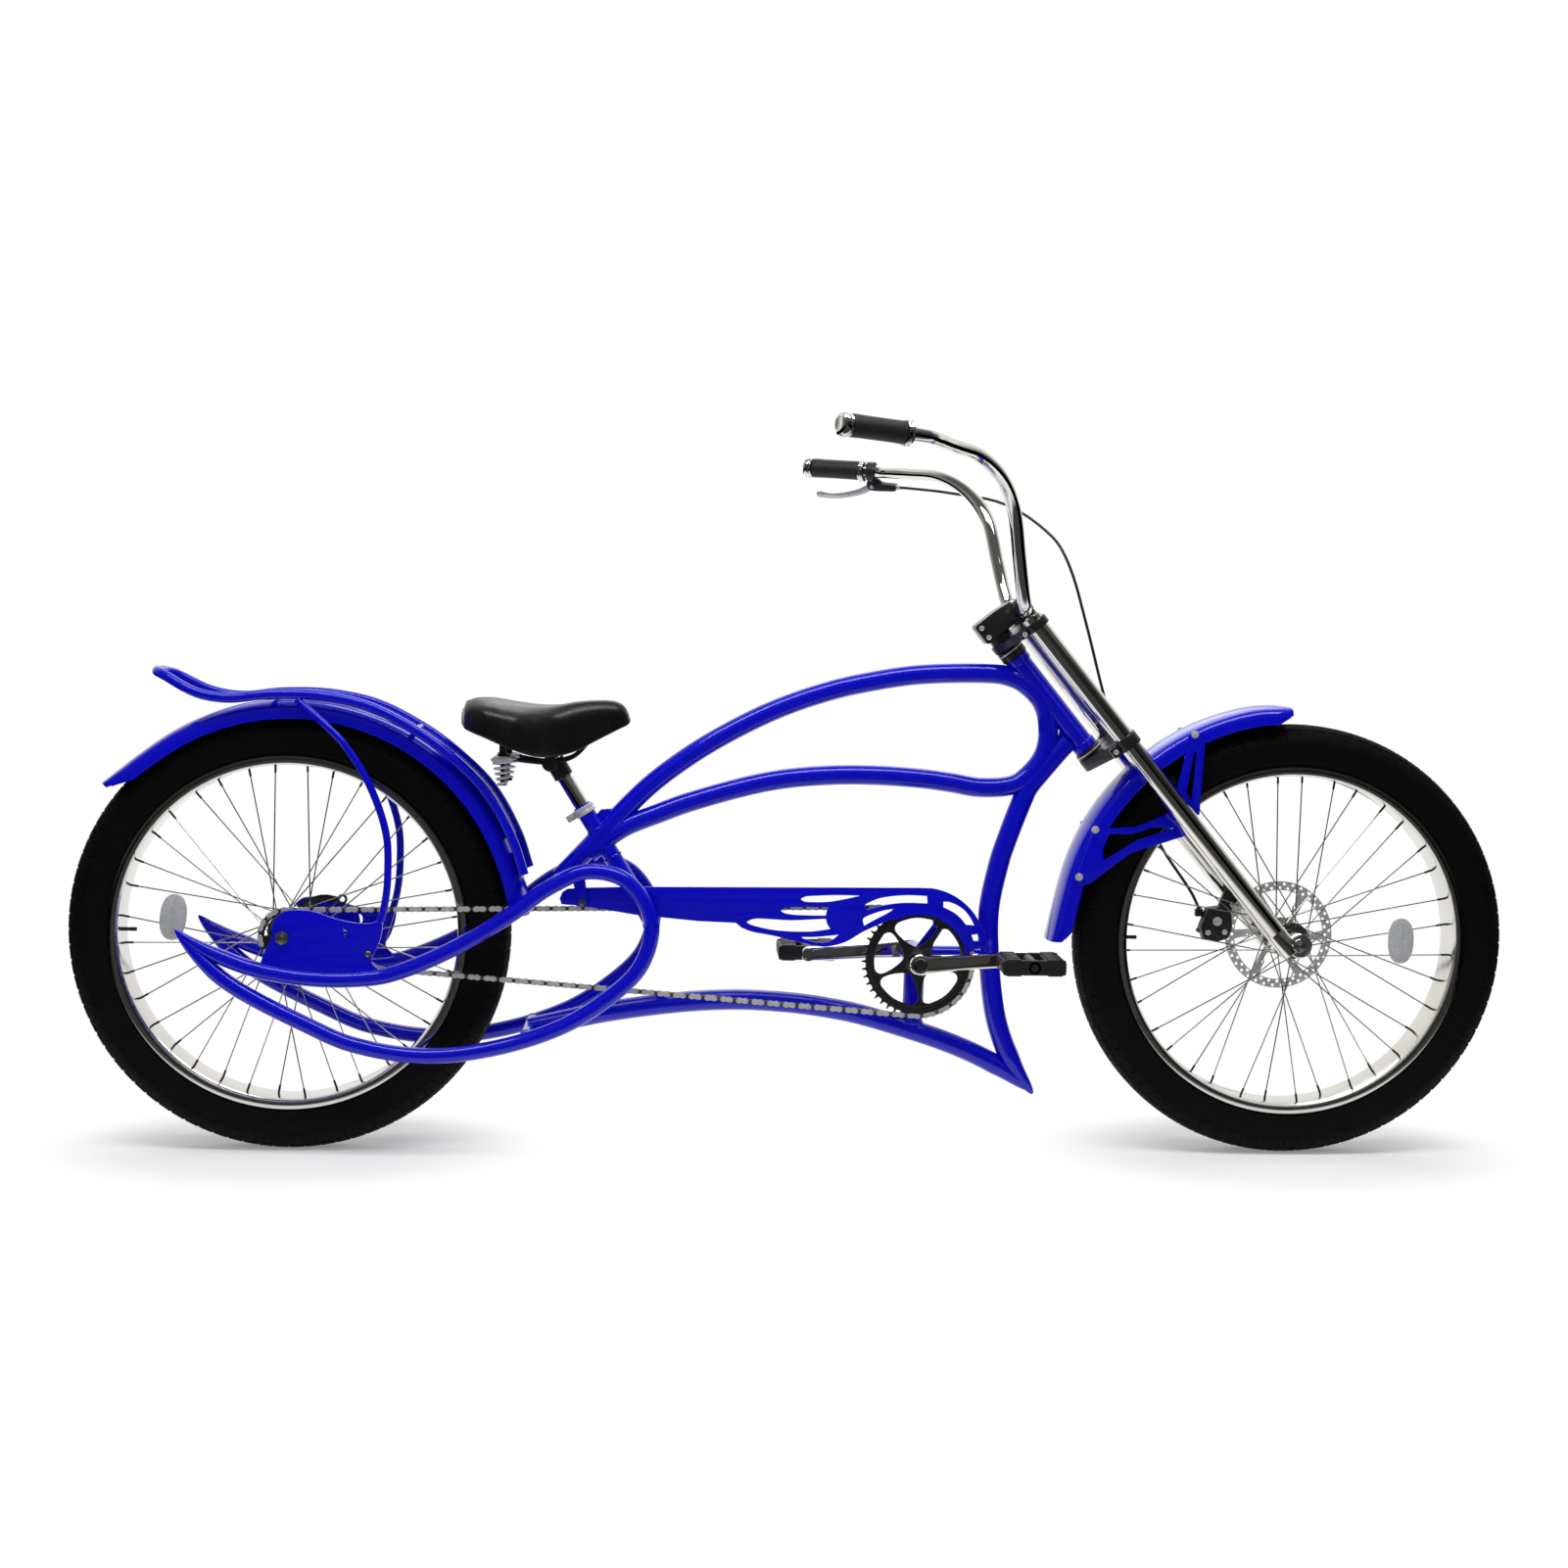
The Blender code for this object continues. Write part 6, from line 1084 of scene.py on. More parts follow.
def makeChain():
    inner = makeLink(0.96, 0.0015, 0.0026, 0.0017, 0.003, 8)
    outer = makeLink(1.0, 0.0028, 0.0038, 0.0042, 0.0014, 6)
    pins = chainPins()
    links = []
    for k, first in enumerate(pins):
        second = pins[(k + 1) % len(pins)]
        way = (second - first).normalized()
        turn = turnOf(way, sideways, way.cross(sideways))
        link = (inner if k % 2 else outer).copy()
        link.data = link.data.copy()
        link.data.transform(Matrix.Translation((first + second) / 2) @ turn)
        bpy.context.collection.objects.link(link)
        links.append(link)
    pickOnly(inner, outer)
    bpy.ops.object.delete()
    print("chain made of", len(links), "links")
    finishTogether("driveChain", links[::2], "frame", "steel", "chain", finish="chainSteel", angle=30)
    finishTogether("driveChainInner", links[1::2], "frame", "steel", finish="bearingSteel", angle=30)


makeChain()


# Small fittings on the frame
def makeHeadset(name, node, bottom, height, ring):
    shape = [
        (0.0149, 0), (0.0205, 0), (0.0222, 0.0008), (0.0225, 0.0028), (0.0225, height * 0.46),
        (0.0219, height * 0.5), (0.0225, height * 0.54), (0.0225, height - 0.003),
        (0.0218, height - 0.0012), (0.02, height), (0.0149, height)
    ]
    cup = turnOnLathe(name, shape, onSteering(bottom, 0), steerUp, 56)
    finishPiece(cup, "frame", "black_metal", node)
    band = mm((22.4, -1.2), (23.2, -0.9), (23.2, 0.9), (22.4, 1.2))
    silver = turnOnLathe(name + "Ring", band, onSteering(bottom + height * ring, 0), steerUp, 56)
    finishPiece(silver, "frame", "steel", finish="leverAlloy")


def makeSeatClamp():
    shape = mm(
        (14.9, 0.3), (17.2, 0.3), (18, 1.2), (18, 5.2), (17.6, 5.8), (17.6, 8.2), (18, 8.8), (18, 12.8),
        (17.2, 13.7), (14.9, 13.7)
    )
    collar = turnOnLathe("seatClamp", shape, onSeat(0), -seatDown, 48)
    for side in (-1, 1):
        near, far = sorted((0.0008 * side, 0.0055 * side))
        low, high = (-0.032, near, -0.0055), (-0.0165, far, 0.0055)
        joinTo(collar, blockOn("lug", low, high, onSeat(-0.007), seatAcross, -seatDown, 0.0012))
    place = onSeat(-0.007, -0.0255)
    joinTo(collar, straightTube("shank", place - 0.0085 * sideways, place + 0.0085 * sideways, 0.0024, 12))
    joinTo(collar, socketBolt("head", place - 0.0055 * sideways, -sideways, 0.0082, 0.004))
    joinTo(collar, hexNut("nut", place + 0.0055 * sideways, sideways, 0.0078, 0.0036))
    finishPiece(collar, "frame", "steel", "seat_clamp", finish="leverAlloy")


def makeAxle(name, node, body, centre, face, past, plate, nutSize):
    # a threaded axle with a washer and a nut at each end: the plate is the washer's radius and thickness
    wide, thick = plate
    end = (face + past) * sideways
    axle = straightTube(name, centre - end, centre + end, 0.0049, 24, 0.0008)
    for side in (-1, 1):
        way = side * sideways
        shape = [(0.005, 0), (wide - 0.0001, 0), (wide, 0.0003), (wide, thick), (0.005, thick)]
        nut = hexNut("nut", centre + (face + thick) * way, way, *nutSize)
        joinTo(axle, turnOnLathe("washer", shape, centre + face * way, way, 36), nut)
    finishPiece(axle, body, "steel", node)


def makeCoasterArm():
    outline = arcOf((0, 0), 0.02, 105, 395, 40) + mm((30, 39), (45, 38.2), (61, 35))
    outline += arcOf((0.0691, 0.0415), 0.0085, -100, 150, 18) + mm((45, 49), (33, 48.6), (12, 43), (-1, 33))
    holes = [ringOf((0, 0), 0.0055, 28), ringOf((0.0691, 0.0415), 0.0045, 20)]
    arm = cutPlate("coasterArm", outline, holes, 0.005, rearAxle + 0.0794 * sideways, 0.0008)
    finishPiece(arm, "frame", "black_metal", "coaster_arm")


makeHeadset("upperHeadset", "headset_upper", 0.6463, 0.0201, 0.66)
makeHeadset("lowerHeadset", "headset_lower", 0.4446, 0.0111, 0.5)
makeSeatClamp()
makeAxle(
    "rearAxle", "rear_axle", "frame", rearAxle, loopOut + 0.0033, 0.011, (0.0109, 0.0016), (0.0165, 0.0078)
)
makeCoasterArm()
print("frame fittings made")


# Tyres: a bald carcass from the lathe, whose tread faces are pushed out into blocks
tyreSet = {"pitches": 88, "groove": 0.13, "raise": 0.0012, "slope": 0.0007, "slant": 0.16}


def makeTyre(name, centre, body, node):
    radius = wheel["tyre"]
    base = radius - tyreSet["raise"]
    crown = mm(
        (0, 0), (0.1, 6), (0.5, 12.5), (0.9, 14.2), (2.2, 18.6), (4.4, 23.5), (7.2, 27.8), (8.7, 29.6)
    )
    side = mm((13.0, 33.8), (19.0, 37.6), (25.0, 39.9), (26.2, 40.2), (27.4, 41.0), (28.6, 40.6))
    wall = mm(
        (318, 41.1), (308, 40.9), (299, 39.6), (293, 38.3), (291.8, 38.8), (290.6, 37.9), (285, 36.4),
        (279.5, 34.5)
    )
    inner = mm((279.5, 30.5), (295, 34.5), (317, 36.5), (338, 30), (348, 18), (350.5, 0))
    half = [(base - inside, y) for inside, y in crown + side] + wall + inner[:-1]
    outer = [(r, -y) for r, y in reversed(half[1:])]
    profile = outer + half + [inner[-1]]
    steps = tyreSet["pitches"] * 2
    tyre = turnOnLathe(name, profile, centre, sideways, steps)
    start = sideways.orthogonal().normalized()
    startAngle = math.atan2(start.z, start.x)
    # every second step is narrowed to a groove, slanted back on the shoulders
    for spot in tyre.data.vertices:
        away = spot.co - centre
        angle = math.atan2(away.z, away.x) - startAngle
        step = round(angle / math.tau * steps)
        reach = math.hypot(away.x, away.z)
        outside = reach > 0.3255 and not (abs(away.y) < 0.0305 and reach < 0.3507)
        shift = 0.0
        if step % 2:
            shift = (0.5 - tyreSet["groove"]) * math.tau / tyreSet["pitches"]
        if outside:
            shift -= tyreSet["slant"] * max(0.0, abs(away.y) - 0.0142)
        angle = startAngle + step * math.tau / steps + shift
        spot.co = centre + Vector((reach * math.cos(angle), away.y, reach * math.sin(angle)))
    bands = mm((0, 13), (14, 28), (29.5, 40))
    chosen = []
    for face in tyre.data.polygons:
        away = face.center - centre
        reach = math.hypot(away.x, away.z)
        out = Vector((away.x, 0, away.z)).normalized()
        looksOut = face.normal.dot(out) > 0.25 or abs(face.normal.y) > 0.3 and face.normal.y * away.y > 0
        if reach < 0.3265 or not looksOut or reach < 0.35 and abs(away.y) < 0.02:
            continue
        wide = any(low <= abs(away.y) <= high for low, high in bands)
        corners = [tyre.data.vertices[k].co - centre for k in face.vertices]
        edges = [(first - second) for first, second in zip(corners, corners[1:])]
        along = max(edge.length for edge in edges if abs(edge.y) < 0.0006)
        if wide and along > 0.012:
            chosen.append(face.index)
    block = {"thickness": tyreSet["slope"], "depth": tyreSet["raise"], "use_even_offset": True}
    onFaces(tyre, chosen, ("inset", block))
    limit = radius - 0.0002
    for spot in tyre.data.vertices:
        away = spot.co - centre
        reach = math.hypot(away.x, away.z)
        if reach > limit:
            spot.co = centre + Vector((away.x * limit / reach, away.y, away.z * limit / reach))
    finishPiece(tyre, body, "tyre", node, angle=38)


def makeInnerTube(name, centre, body, node):
    half = mm((272.2, 0), (273.5, 24), (284, 29), (301, 34.5), (325, 35), (342, 24), (349.5, 0))
    profile = [(r, -y) for r, y in reversed(half[1:-1])] + half
    tube = turnOnLathe(name, [half[-1]] + profile[:-1], centre, sideways, 64)
    stem = mm((0, 0), (2.8, 0), (3, 15.5), (3.1, 16), (3.1, 26.2), (2.8, 26.8), (2.8, 46), (0, 46))
    valve = turnOnLathe("valve", stem, centre - Vector((0.249, 0, 0)), (-1, 0, 0), 24)
    cap = mm((0, -0.6), (2.6, -0.4), (3.2, 0.6), (3.2, 9.2), (3, 10), (0, 10))
    joinTo(tube, valve, turnOnLathe("cap", cap, centre - Vector((0.2491, 0, 0)), (-1, 0, 0), 14))
    finishPiece(tube, body, "inner_tube", node, finish="gripRubber")


def makeRim(name, centre, body, node):
    half = mm(
        (270.5, 0), (270.5, 26.2), (270.9, 30), (272.2, 35.2), (273.8, 38.4), (275.6, 39.6), (279, 40),
        (284.4, 40), (285.6, 39.7), (286, 38.9), (285.7, 38), (284.6, 37.6), (279, 37.4), (274.4, 36.6),
        (272.8, 34.2), (272.1, 29), (272, 0)
    )
    profile = half + [(r, -y) for r, y in reversed(half[1:-1])]
    rim = turnOnLathe(name, profile, centre, sideways, 160)
    finishPiece(rim, body, "alloy", node, angle=28)


spokeSet = {
    "radius": 0.0011, "nipple": 0.0019, "nippleLength": 0.013, "hole": 0.027, "reach": 0.2704,
    "flange": 0.032
}


def spokeEnds(side, k):
    each = wheel["spokes"] // 2
    lean = 1 if k % 2 else -1
    root = math.tau * (k + 0.25 * side) / each
    tip = root + lean * math.tau * 3 / each
    x, z = polar(spokeSet["hole"], root)
    foot = Vector((x, side * (spokeSet["flange"] + lean * 0.0016), z))
    x, z = polar(spokeSet["reach"], tip)
    end = Vector((x, side * (0.012 + lean * 0.0012), z))
    return foot, end, lean


def makeSpokes(name, centre, body):
    wires = []
    nipples = []
    for side in (-1, 1):
        for k in range(wheel["spokes"] // 2):
            foot, end, lean = spokeEnds(side, k)
            foot, end = centre + foot, centre + end
            way = (end - foot).normalized()
            elbow = foot - Vector((0, side * lean * 0.0042, 0))
            line = [elbow, foot - Vector((0, side * lean * 0.0006, 0)), foot + way * 0.0014, end]
            wires.append(bendTube("spoke", line, spokeSet["radius"], None, 6))
            button = mm((0, 0), (1.9, 0.3), (1.9, 0.9), (0, 1.6))
            wires.append(turnOnLathe("head", button, elbow, (0, -side * lean, 0), 8))
            wide, long = spokeSet["nipple"], spokeSet["nippleLength"]
            shape = [(0, 0), (wide * 0.72, 0), (wide, 0.0016), (wide, long), (0, long)]
            nipples.append(turnOnLathe("nipple", shape, end - way * long, way, 8))
    finishTogether(name, wires, body, "steel", finish="spokeSteel")
    finishTogether(name + "Nipples", nipples, body, "black_metal")


def makeReflector(name, centre, degrees, body):
    angle = math.radians(degrees)
    out = Vector((math.cos(angle), 0, math.sin(angle)))
    along = Vector((-math.sin(angle), 0, math.cos(angle)))
    oval = []
    for k in range(48):
        x, z = polar(1.0, math.tau * (k + 0.5) / 48)
        oval.append((0.0205 * math.copysign(abs(x) ** 0.85, x), 0.037 * math.copysign(abs(z) ** 0.85, z)))
    middle = centre + 0.187 * out + Vector((0, -0.019, 0))
    lens = cutPlate(name, oval, [], 0.0088, middle, 0.0022, out, along)
    ring = [middle + x * 0.985 * out + z * 0.985 * along - 0.0022 * sideways for x, z in oval]
    frameRing = bendTube("frameRing", ring, 0.0011, None, 8, True)
    low, high = mm((-1.2, -30, -1.2), (1.2, 30, 1.2))
    bar = blockOn("bar", low, high, middle - 0.0046 * sideways, out, sideways, 0.0004)
    joinTo(lens, frameRing, bar)
    finishPiece(lens, body, "black_plastic", finish="greyReflector")


def makeHub(name, node, body, centre, left, flange, waist, right):
    # the right flange mirrors the left one
    mirrored = [(radius, -height) for radius, height in reversed(flange)]
    shape = left + mirrored + [(waist, 0)] + flange + right
    finishPiece(turnOnLathe(name, shape, centre, sideways, 64), body, "chrome", node)


def makeHubs():
    left = mm((5.6, -56.5), (9, -56.5), (9.5, -55.8), (9.8, -48), (12.5, -40), (14, -34.5))
    flange = mm(
        (14.6, 18), (15.5, 23.8), (20, 28), (29, 30.5), (30.7, 31.2), (31, 32.5), (30.7, 33.5), (29, 34)
    )
    right = mm(
        (22.4, 34.4), (22, 35.2), (22, 42.5), (21.4, 43.1), (12.2, 43.2), (12, 47), (11.8, 55.8),
        (11.2, 56.5), (5.6, 56.5)
    )
    makeHub("frontHub", "front_hub", "front_wheel", frontAxle, left, flange, 0.0144, right)
    left = mm((5.6, -54.7), (18, -54.7), (19, -54), (19, -47.2), (20.6, -45.5), (25, -36), (26.2, -33.8))
    flange = mm((26.2, 18), (26.6, 25.5), (28.5, 29), (33, 30.4), (34, 31.3), (34, 32.8), (33, 33.7))
    right = mm(
        (26.2, 34.5), (24, 37.5), (22.8, 45), (20.5, 56), (18.4, 69), (18.4, 74.5), (17.6, 76.2),
        (5.6, 76.5)
    )
    makeHub("rearHub", "rear_hub", "rear_wheel", rearAxle, left, flange, 0.0258, right)


for word, centre, body, degrees in (
    ("front", frontAxle, "front_wheel", 0), ("rear", rearAxle, "rear_wheel", 173)
):
    makeTyre(word + "Tyre", centre, body, word + "_tyre")
    makeInnerTube(word + "InnerTube", centre, body, word + "_inner_tube")
    makeRim(word + "Rim", centre, body, word + "_rim")
    makeSpokes(word + "Spokes", centre, body)
    makeReflector(word + "Reflector", centre, degrees, body)
makeHubs()
print("wheels made")


# Brake disc
discSet = {"radius": 0.09, "band": 0.015, "thickness": 0.002, "out": 0.0445}


def makeDisc():
    inner = discSet["radius"] - discSet["band"]
    holes = []
    for k in range(6):
        first = 60 * k + 6
        last = first + 48
        far = arcOf((0, 0), inner, first, last, 12)
        near = arcOf((0, 0), 0.03, last - 14, first - 14, 5)
        holes.append(
            roundCorners([far[0], far[3], far[6], far[9], far[11], near[0], near[2], near[4]], 4,
            (0, 4, 5, 7))
        )
    for k in range(36):
        for row, turn in ((0.0786, 0.0), (0.0857, 0.5)):
            angle = math.tau * (k + turn) / 36
            holes.append(ringOf(polar(row, angle), 0.0026, 10, angle))
    for k in range(6):
        angle = math.radians(60 * k + 26)
        holes.append(ringOf(polar(0.0525, angle + 0.62), 0.003, 10))
    holes.append(ringOf((0, 0), 0.0123, 36))
    disc = cutPlate(
        "brakeDisc", ringOf((0, 0), discSet["radius"], 120), holes, discSet["thickness"],
        frontAxle + Vector((0, discSet["out"], 0)), 0.0002
    )
    finishPiece(disc, "front_wheel", "steel", "brake_rotor", finish="leverAlloy")
    bolts = []
    for k in range(6):
        place = roundWheel(frontAxle, 60 * k + 10, 0.0175, discSet["out"] + 0.001)
        bolts.append(socketBolt("bolt", place, sideways, 0.0056, 0.0018))
    finishTogether("discBolts", bolts, "front_wheel", "black_metal")


# Chain wheels
chainwheelSet = {"thickness": 0.002, "window": 0.8, "core": 0.27}


def toothOutline(teeth, radius):
    points = []
    for k in range(teeth):
        for share, reach in (
            (-0.3, -0.004), (-0.16, -0.0026), (-0.1, 0.001), (-0.045, 0.0031), (0.045, 0.0031),
            (0.1, 0.001), (0.16, -0.0026), (0.3, -0.004)
        ):
            angle = math.tau * (k + share) / teeth
            points.append(polar(radius + reach, angle))
    return points


def makeChainwheel():
    radius = pitchRadius(chainSet["front"])
    far, near = chainwheelSet["window"] * radius, chainwheelSet["core"] * radius
    holes = []
    for k in range(5):
        middle = 94 + 72 * k
        shape = [
            (far, -23), (far + 0.0002, 0), (far, 23), (far * 0.955, 30.0), (far * 0.86, 33.0),
            (far * 0.66, 31.5), (far * 0.5, 25.5), (near * 1.12, 13.0), (near, 0), (near * 1.12, -13.0),
            (far * 0.5, -25.5), (far * 0.66, -31.5), (far * 0.86, -33.0), (far * 0.955, -30.0)
        ]
        points = [polar(reach, math.radians(middle + turn)) for reach, turn in shape]
        holes.append(roundCorners(points, 4))
    holes.append(ringOf((0, 0), 0.0088, 32))
    place = fromBracket(0, 0, chainSet["line"])
    ring = cutPlate(
        "chainwheel", toothOutline(chainSet["front"], radius), holes, chainwheelSet["thickness"], place,
        0.0003
    )
    step = [
        (far + 0.0022, -0.0009), (far + 0.003, -0.0016), (far + 0.0082, -0.0016), (far + 0.009, -0.0009),
        (far + 0.0056, 0.0)
    ]
    joinTo(ring, turnOnLathe("step", step, place, sideways, 120))
    collar = mm((15, -8.6), (20.5, -3), (21.5, -0.9), (21.5, 0.9), (15, 3))
    joinTo(ring, turnOnLathe("collar", collar, place, sideways, 40))
    finishPiece(ring, "cranks", "black_metal", "chainring")


def makeSprocket():
    radius = pitchRadius(chainSet["rear"])
    holes = []
    for k in range(3):
        first, last = 30 + 120 * k - 32, 30 + 120 * k + 32
        holes.append(arcOf((0, 0), 0.0335, first, last, 16) + arcOf((0, 0), 0.0255, last, first, 14))
    holes.append(ringOf((0, 0), 0.0054, 28))
    place = rearAxle + Vector((0, chainSet["line"], 0))
    ring = cutPlate("rearSprocket", toothOutline(chainSet["rear"], radius), holes, 0.002, place, 0.0003)
    finishPiece(ring, "sprocket", "black_metal", "rear_sprocket")


makeDisc()
makeChainwheel()
makeSprocket()


# Cranks: a forged arm with a round boss, an eye at the pedal and the pedal's axle
crankSet = {"length": 0.17, "big": 0.017, "small": 0.0125, "thickness": 0.014, "out": 0.085, "angle": 3.8}


def makeCrank(name, side):
    length, big, small = crankSet["length"], crankSet["big"], crankSet["small"]
    outline = arcOf((0, 0), big, 62, 298, 40)
    outline += [(0.03, -0.014), (0.06, -0.0126)]
    outline += arcOf((length, 0), small, -84, 84, 30)
    outline += [(0.06, 0.0126), (0.03, 0.014)]
    turn = math.radians(crankSet["angle"] if side < 0 else 180 + crankSet["angle"])
    along = Vector((math.cos(turn), 0, math.sin(turn)))
    up = Vector((-along.z, 0, along.x))
    middle = bracket + side * (crankSet["out"] + crankSet["thickness"] / 2) * sideways
    arm = cutPlate(
        name, outline, [ringOf((0, 0), 0.0086, 32), ringOf((length, 0), 0.0064, 28)], crankSet["thickness"],
        middle, 0.0048, along, up
    )
    face = side * (crankSet["out"] + crankSet["thickness"])
    boss = mm((8.8, 65), (13.2, 65), (14, 66), (14, 89), (8.8, 89))
    joinTo(arm, turnOnLathe("boss", boss, bracket, side * sideways, 40))
    eyeRing = mm((8.6, -3.4), (11.6, 0), (12.8, 0), (14, -1.4), (14, -5), (8.6, -5))
    joinTo(arm, turnOnLathe("eyeRing", eyeRing, bracket + face * sideways, side * sideways, 40))
    pedalEye = bracket + crankSet["length"] * along
    smallRing = mm((6.4, -3), (6.4, 0), (10.4, 0), (11, -1), (11, -3))
    joinTo(
        arm, turnOnLathe("pedalRing", smallRing, pedalEye + side * (crankSet["out"] + 0.0002) * sideways,
        -side * sideways, 32)
    )
    axle = mm(
        (0, 85.6), (5.8, 85.6), (6, 89), (6, 99), (8.5, 99.2), (8.5, 101.5), (6, 102), (6, 180),
        (5.2, 182.8), (0, 183)
    )
    joinTo(arm, turnOnLathe("pedalAxle", axle, pedalEye, side * sideways, 24))
    finishPiece(arm, "cranks", "chrome", sided("crank", side), angle=34)
    cup = mm((0, -2), (4, -2), (4.6, -0.8), (8.2, -0.6), (8.6, -0.2), (8.6, -4), (0, -4))
    dark = turnOnLathe(name + "Cap", cup, bracket + face * sideways, side * sideways, 32)
    plug = mm((0, -1.2), (6.2, -1.2), (6.2, -2.6), (0, -2.6))
    joinTo(
        dark, turnOnLathe("plug", plug, pedalEye + side * (crankSet["out"] + 0.0002) * sideways,
        -side * sideways, 24)
    )
    finishPiece(dark, "cranks", "black_plastic")


def makeSpindle():
    shape = evenSided(mm((8.5, 90.4), (7.9, 91), (0, 91)))
    finishPiece(
        turnOnLathe("crankSpindle", shape, bracket, sideways, 32), "cranks", "steel", "crank_spindle"
    )


# Block pedals
pedalSet = {"long": 0.1, "wide": 0.088, "thick": 0.027, "out": 0.146, "ribs": 6}


def makePedal(name, side):
    turn = math.radians(crankSet["angle"] if side < 0 else 180 + crankSet["angle"])
    centre = bracket + Vector(
        (crankSet["length"] * math.cos(turn), side * pedalSet["out"], crankSet["length"] * math.sin(turn))
    )
    tall, wide, long = pedalSet["thick"] / 2, pedalSet["wide"] / 2, pedalSet["long"] / 2
    core = [(0.0105, wide - 0.002), (0.0096, wide), (0.0063, wide)]
    pedal = turnOnLathe(name, evenSided(core), centre, sideways, 32)

    def block(name, near, far, low, high, tall, edge):
        # from near to far along the pedal, towards its end
        start, stop = sorted((near * end, far * end))
        corner = Vector((start, low, -tall))
        return blockAt(name, centre + corner, centre + Vector((stop, high, tall)), edge)

    parts = []
    inner = wide - 0.0012
    each = 2 * inner / (pedalSet["ribs"] * 2 - 1)
    for end in (-1, 1):
        # a tread block with a row of ribs over and under it
        parts.append(block("block", 0.019, long - 0.0008, -inner, inner, tall - 0.003, 0.0016))
        for k in range(pedalSet["ribs"]):
            start = -inner + 2 * k * each
            parts.append(block("rib", 0.021, long - 0.006, start, start + each, tall, 0.0013))
            parts.append(block("edge", long - 0.01, long, start, start + each, tall - 0.0055, 0.0012))
        aside = end * (wide - 0.0032)
        plate = (0.0006 - long, long - 0.0006, aside - 0.0032, aside + 0.0032, tall - 0.0014)
        parts.append(block("sidePlate", *plate, 0.0026))
    joinTo(pedal, *parts)
    body = "right_pedal" if side < 0 else "left_pedal"
    finishPiece(pedal, body, "black_plastic", sided("pedal", side))
    lamps = []
    for end in (-1, 1):
        lamps.append(block("lamp", long - 0.008, long - 0.0002, -0.024, 0.024, 0.0062, 0.0008))
    finishTogether(name + "Reflectors", lamps, body, "black_plastic", finish="amberReflector")


makeSpindle()
for side, word in ((-1, "Right"), (1, "Left")):
    makeCrank("crank" + word, side)
    makePedal("pedal" + word, side)
print("cranks and pedals made")


# Fork: two crowns, two straight legs and the steerer
crownSet = {"core": 0.0235, "collar": 0.02, "reliefAt": 0.11, "relief": 0.06, "low": 0.02, "high": 0.014}


def makeCrown(name, node, bottom, thick):
    far, out = fork["legOffset"], fork["legSpacing"]
    toLeg = math.degrees(math.atan2(out, far))
    lean = math.degrees(math.acos((crownSet["core"] - crownSet["collar"]) / math.hypot(out, far)))
    tangent = toLeg + lean
    low = math.degrees(math.acos((crownSet["reliefAt"] - far - crownSet["collar"]) / crownSet["relief"]))
    outline = arcOf((0, 0), crownSet["core"], 360 - tangent, tangent, 20)
    outline += arcOf((far, out), crownSet["collar"], tangent, 0, 22)
    outline += arcOf((crownSet["reliefAt"], 0), crownSet["relief"], 180 - low, 180 + low, 24)
    outline += arcOf((far, -out), crownSet["collar"], 0, -tangent, 22)
    holes = [ringOf((0, 0), 0.0146, 40), ringOf((far, out), 0.0168, 40), ringOf((far, -out), 0.0168, 40)]
    crown = cutPlate(
        name, outline, holes, thick, onSteering(bottom + thick / 2, 0), 0.0012, steerForward, sideways
    )
    bolts = []
    for side in (-1, 1):
        place = onSteering(bottom + thick / 2, far - 0.026, side * (out - 0.001))
        lug = blockOn(
            "lug", (-0.007, -0.013, -thick * 0.42), (0.007, 0.013, thick * 0.42), place, steerForward,
            steerUp, 0.0016
        )
        joinTo(crown, lug)
        place += side * 0.0128 * sideways
        bolts.append(socketBolt("bolt", place, (0, side, 0), 0.0082, 0.0032))
        place = onSteering(bottom + thick / 2, -0.006, side * 0.0222)
        bolts.append(socketBolt("bolt", place, (0, side, 0), 0.0074, 0.0026))
    finishPiece(crown, "steering", "black_metal", node)
    finishTogether(name + "Bolts", bolts, "steering", "steel", finish="leverAlloy")


def makeLeg(name, side):
    out = side * fork["legSpacing"]
    bottom, top = -0.004, fork["legTop"]
    radius = fork["legRadius"]
    shape = [
        (0, bottom), (radius - 0.0012, bottom), (radius, bottom + 0.0012), (radius, 0.038),
        (radius - 0.0005, 0.0388), (radius - 0.0005, 0.04), (radius, 0.0408), (radius, top - 0.0012),
        (radius - 0.0012, top), (0.011, top), (0.0105, top - 0.002), (0, top - 0.002)
    ]
    leg = turnOnLathe(name, shape, onSteering(0, fork["legOffset"], out), steerUp, 48)
    axleAt = frontAxle + Vector((0, out, 0))
    boss = mm(
        (5.3, -14.5), (18.4, -14.5), (20, -13), (20, 13), (18.4, 14.5), (16, 14.5), (15.4, 13.8),
        (11.2, 13.8), (10.8, 14.5), (5.3, 14.5)
    )
    joinTo(leg, turnOnLathe("boss", boss, axleAt, side * sideways, 48))
    finishPiece(leg, "steering", "chrome", sided("fork_leg", side))


def makeSteerer():
    top = 0.7257
    low = head["crownLow"]
    shape = [
        (0, low), (0.0136, low), (0.0143, low + 0.0007), (0.0143, top - 0.0008), (0.0136, top),
        (0.006, top), (0.0056, top - 0.003), (0, top - 0.003)
    ]
    steerer = turnOnLathe("steerer", shape, onSteering(0, 0), steerUp, 40)
    finishPiece(steerer, "steering", "steel", "steerer")


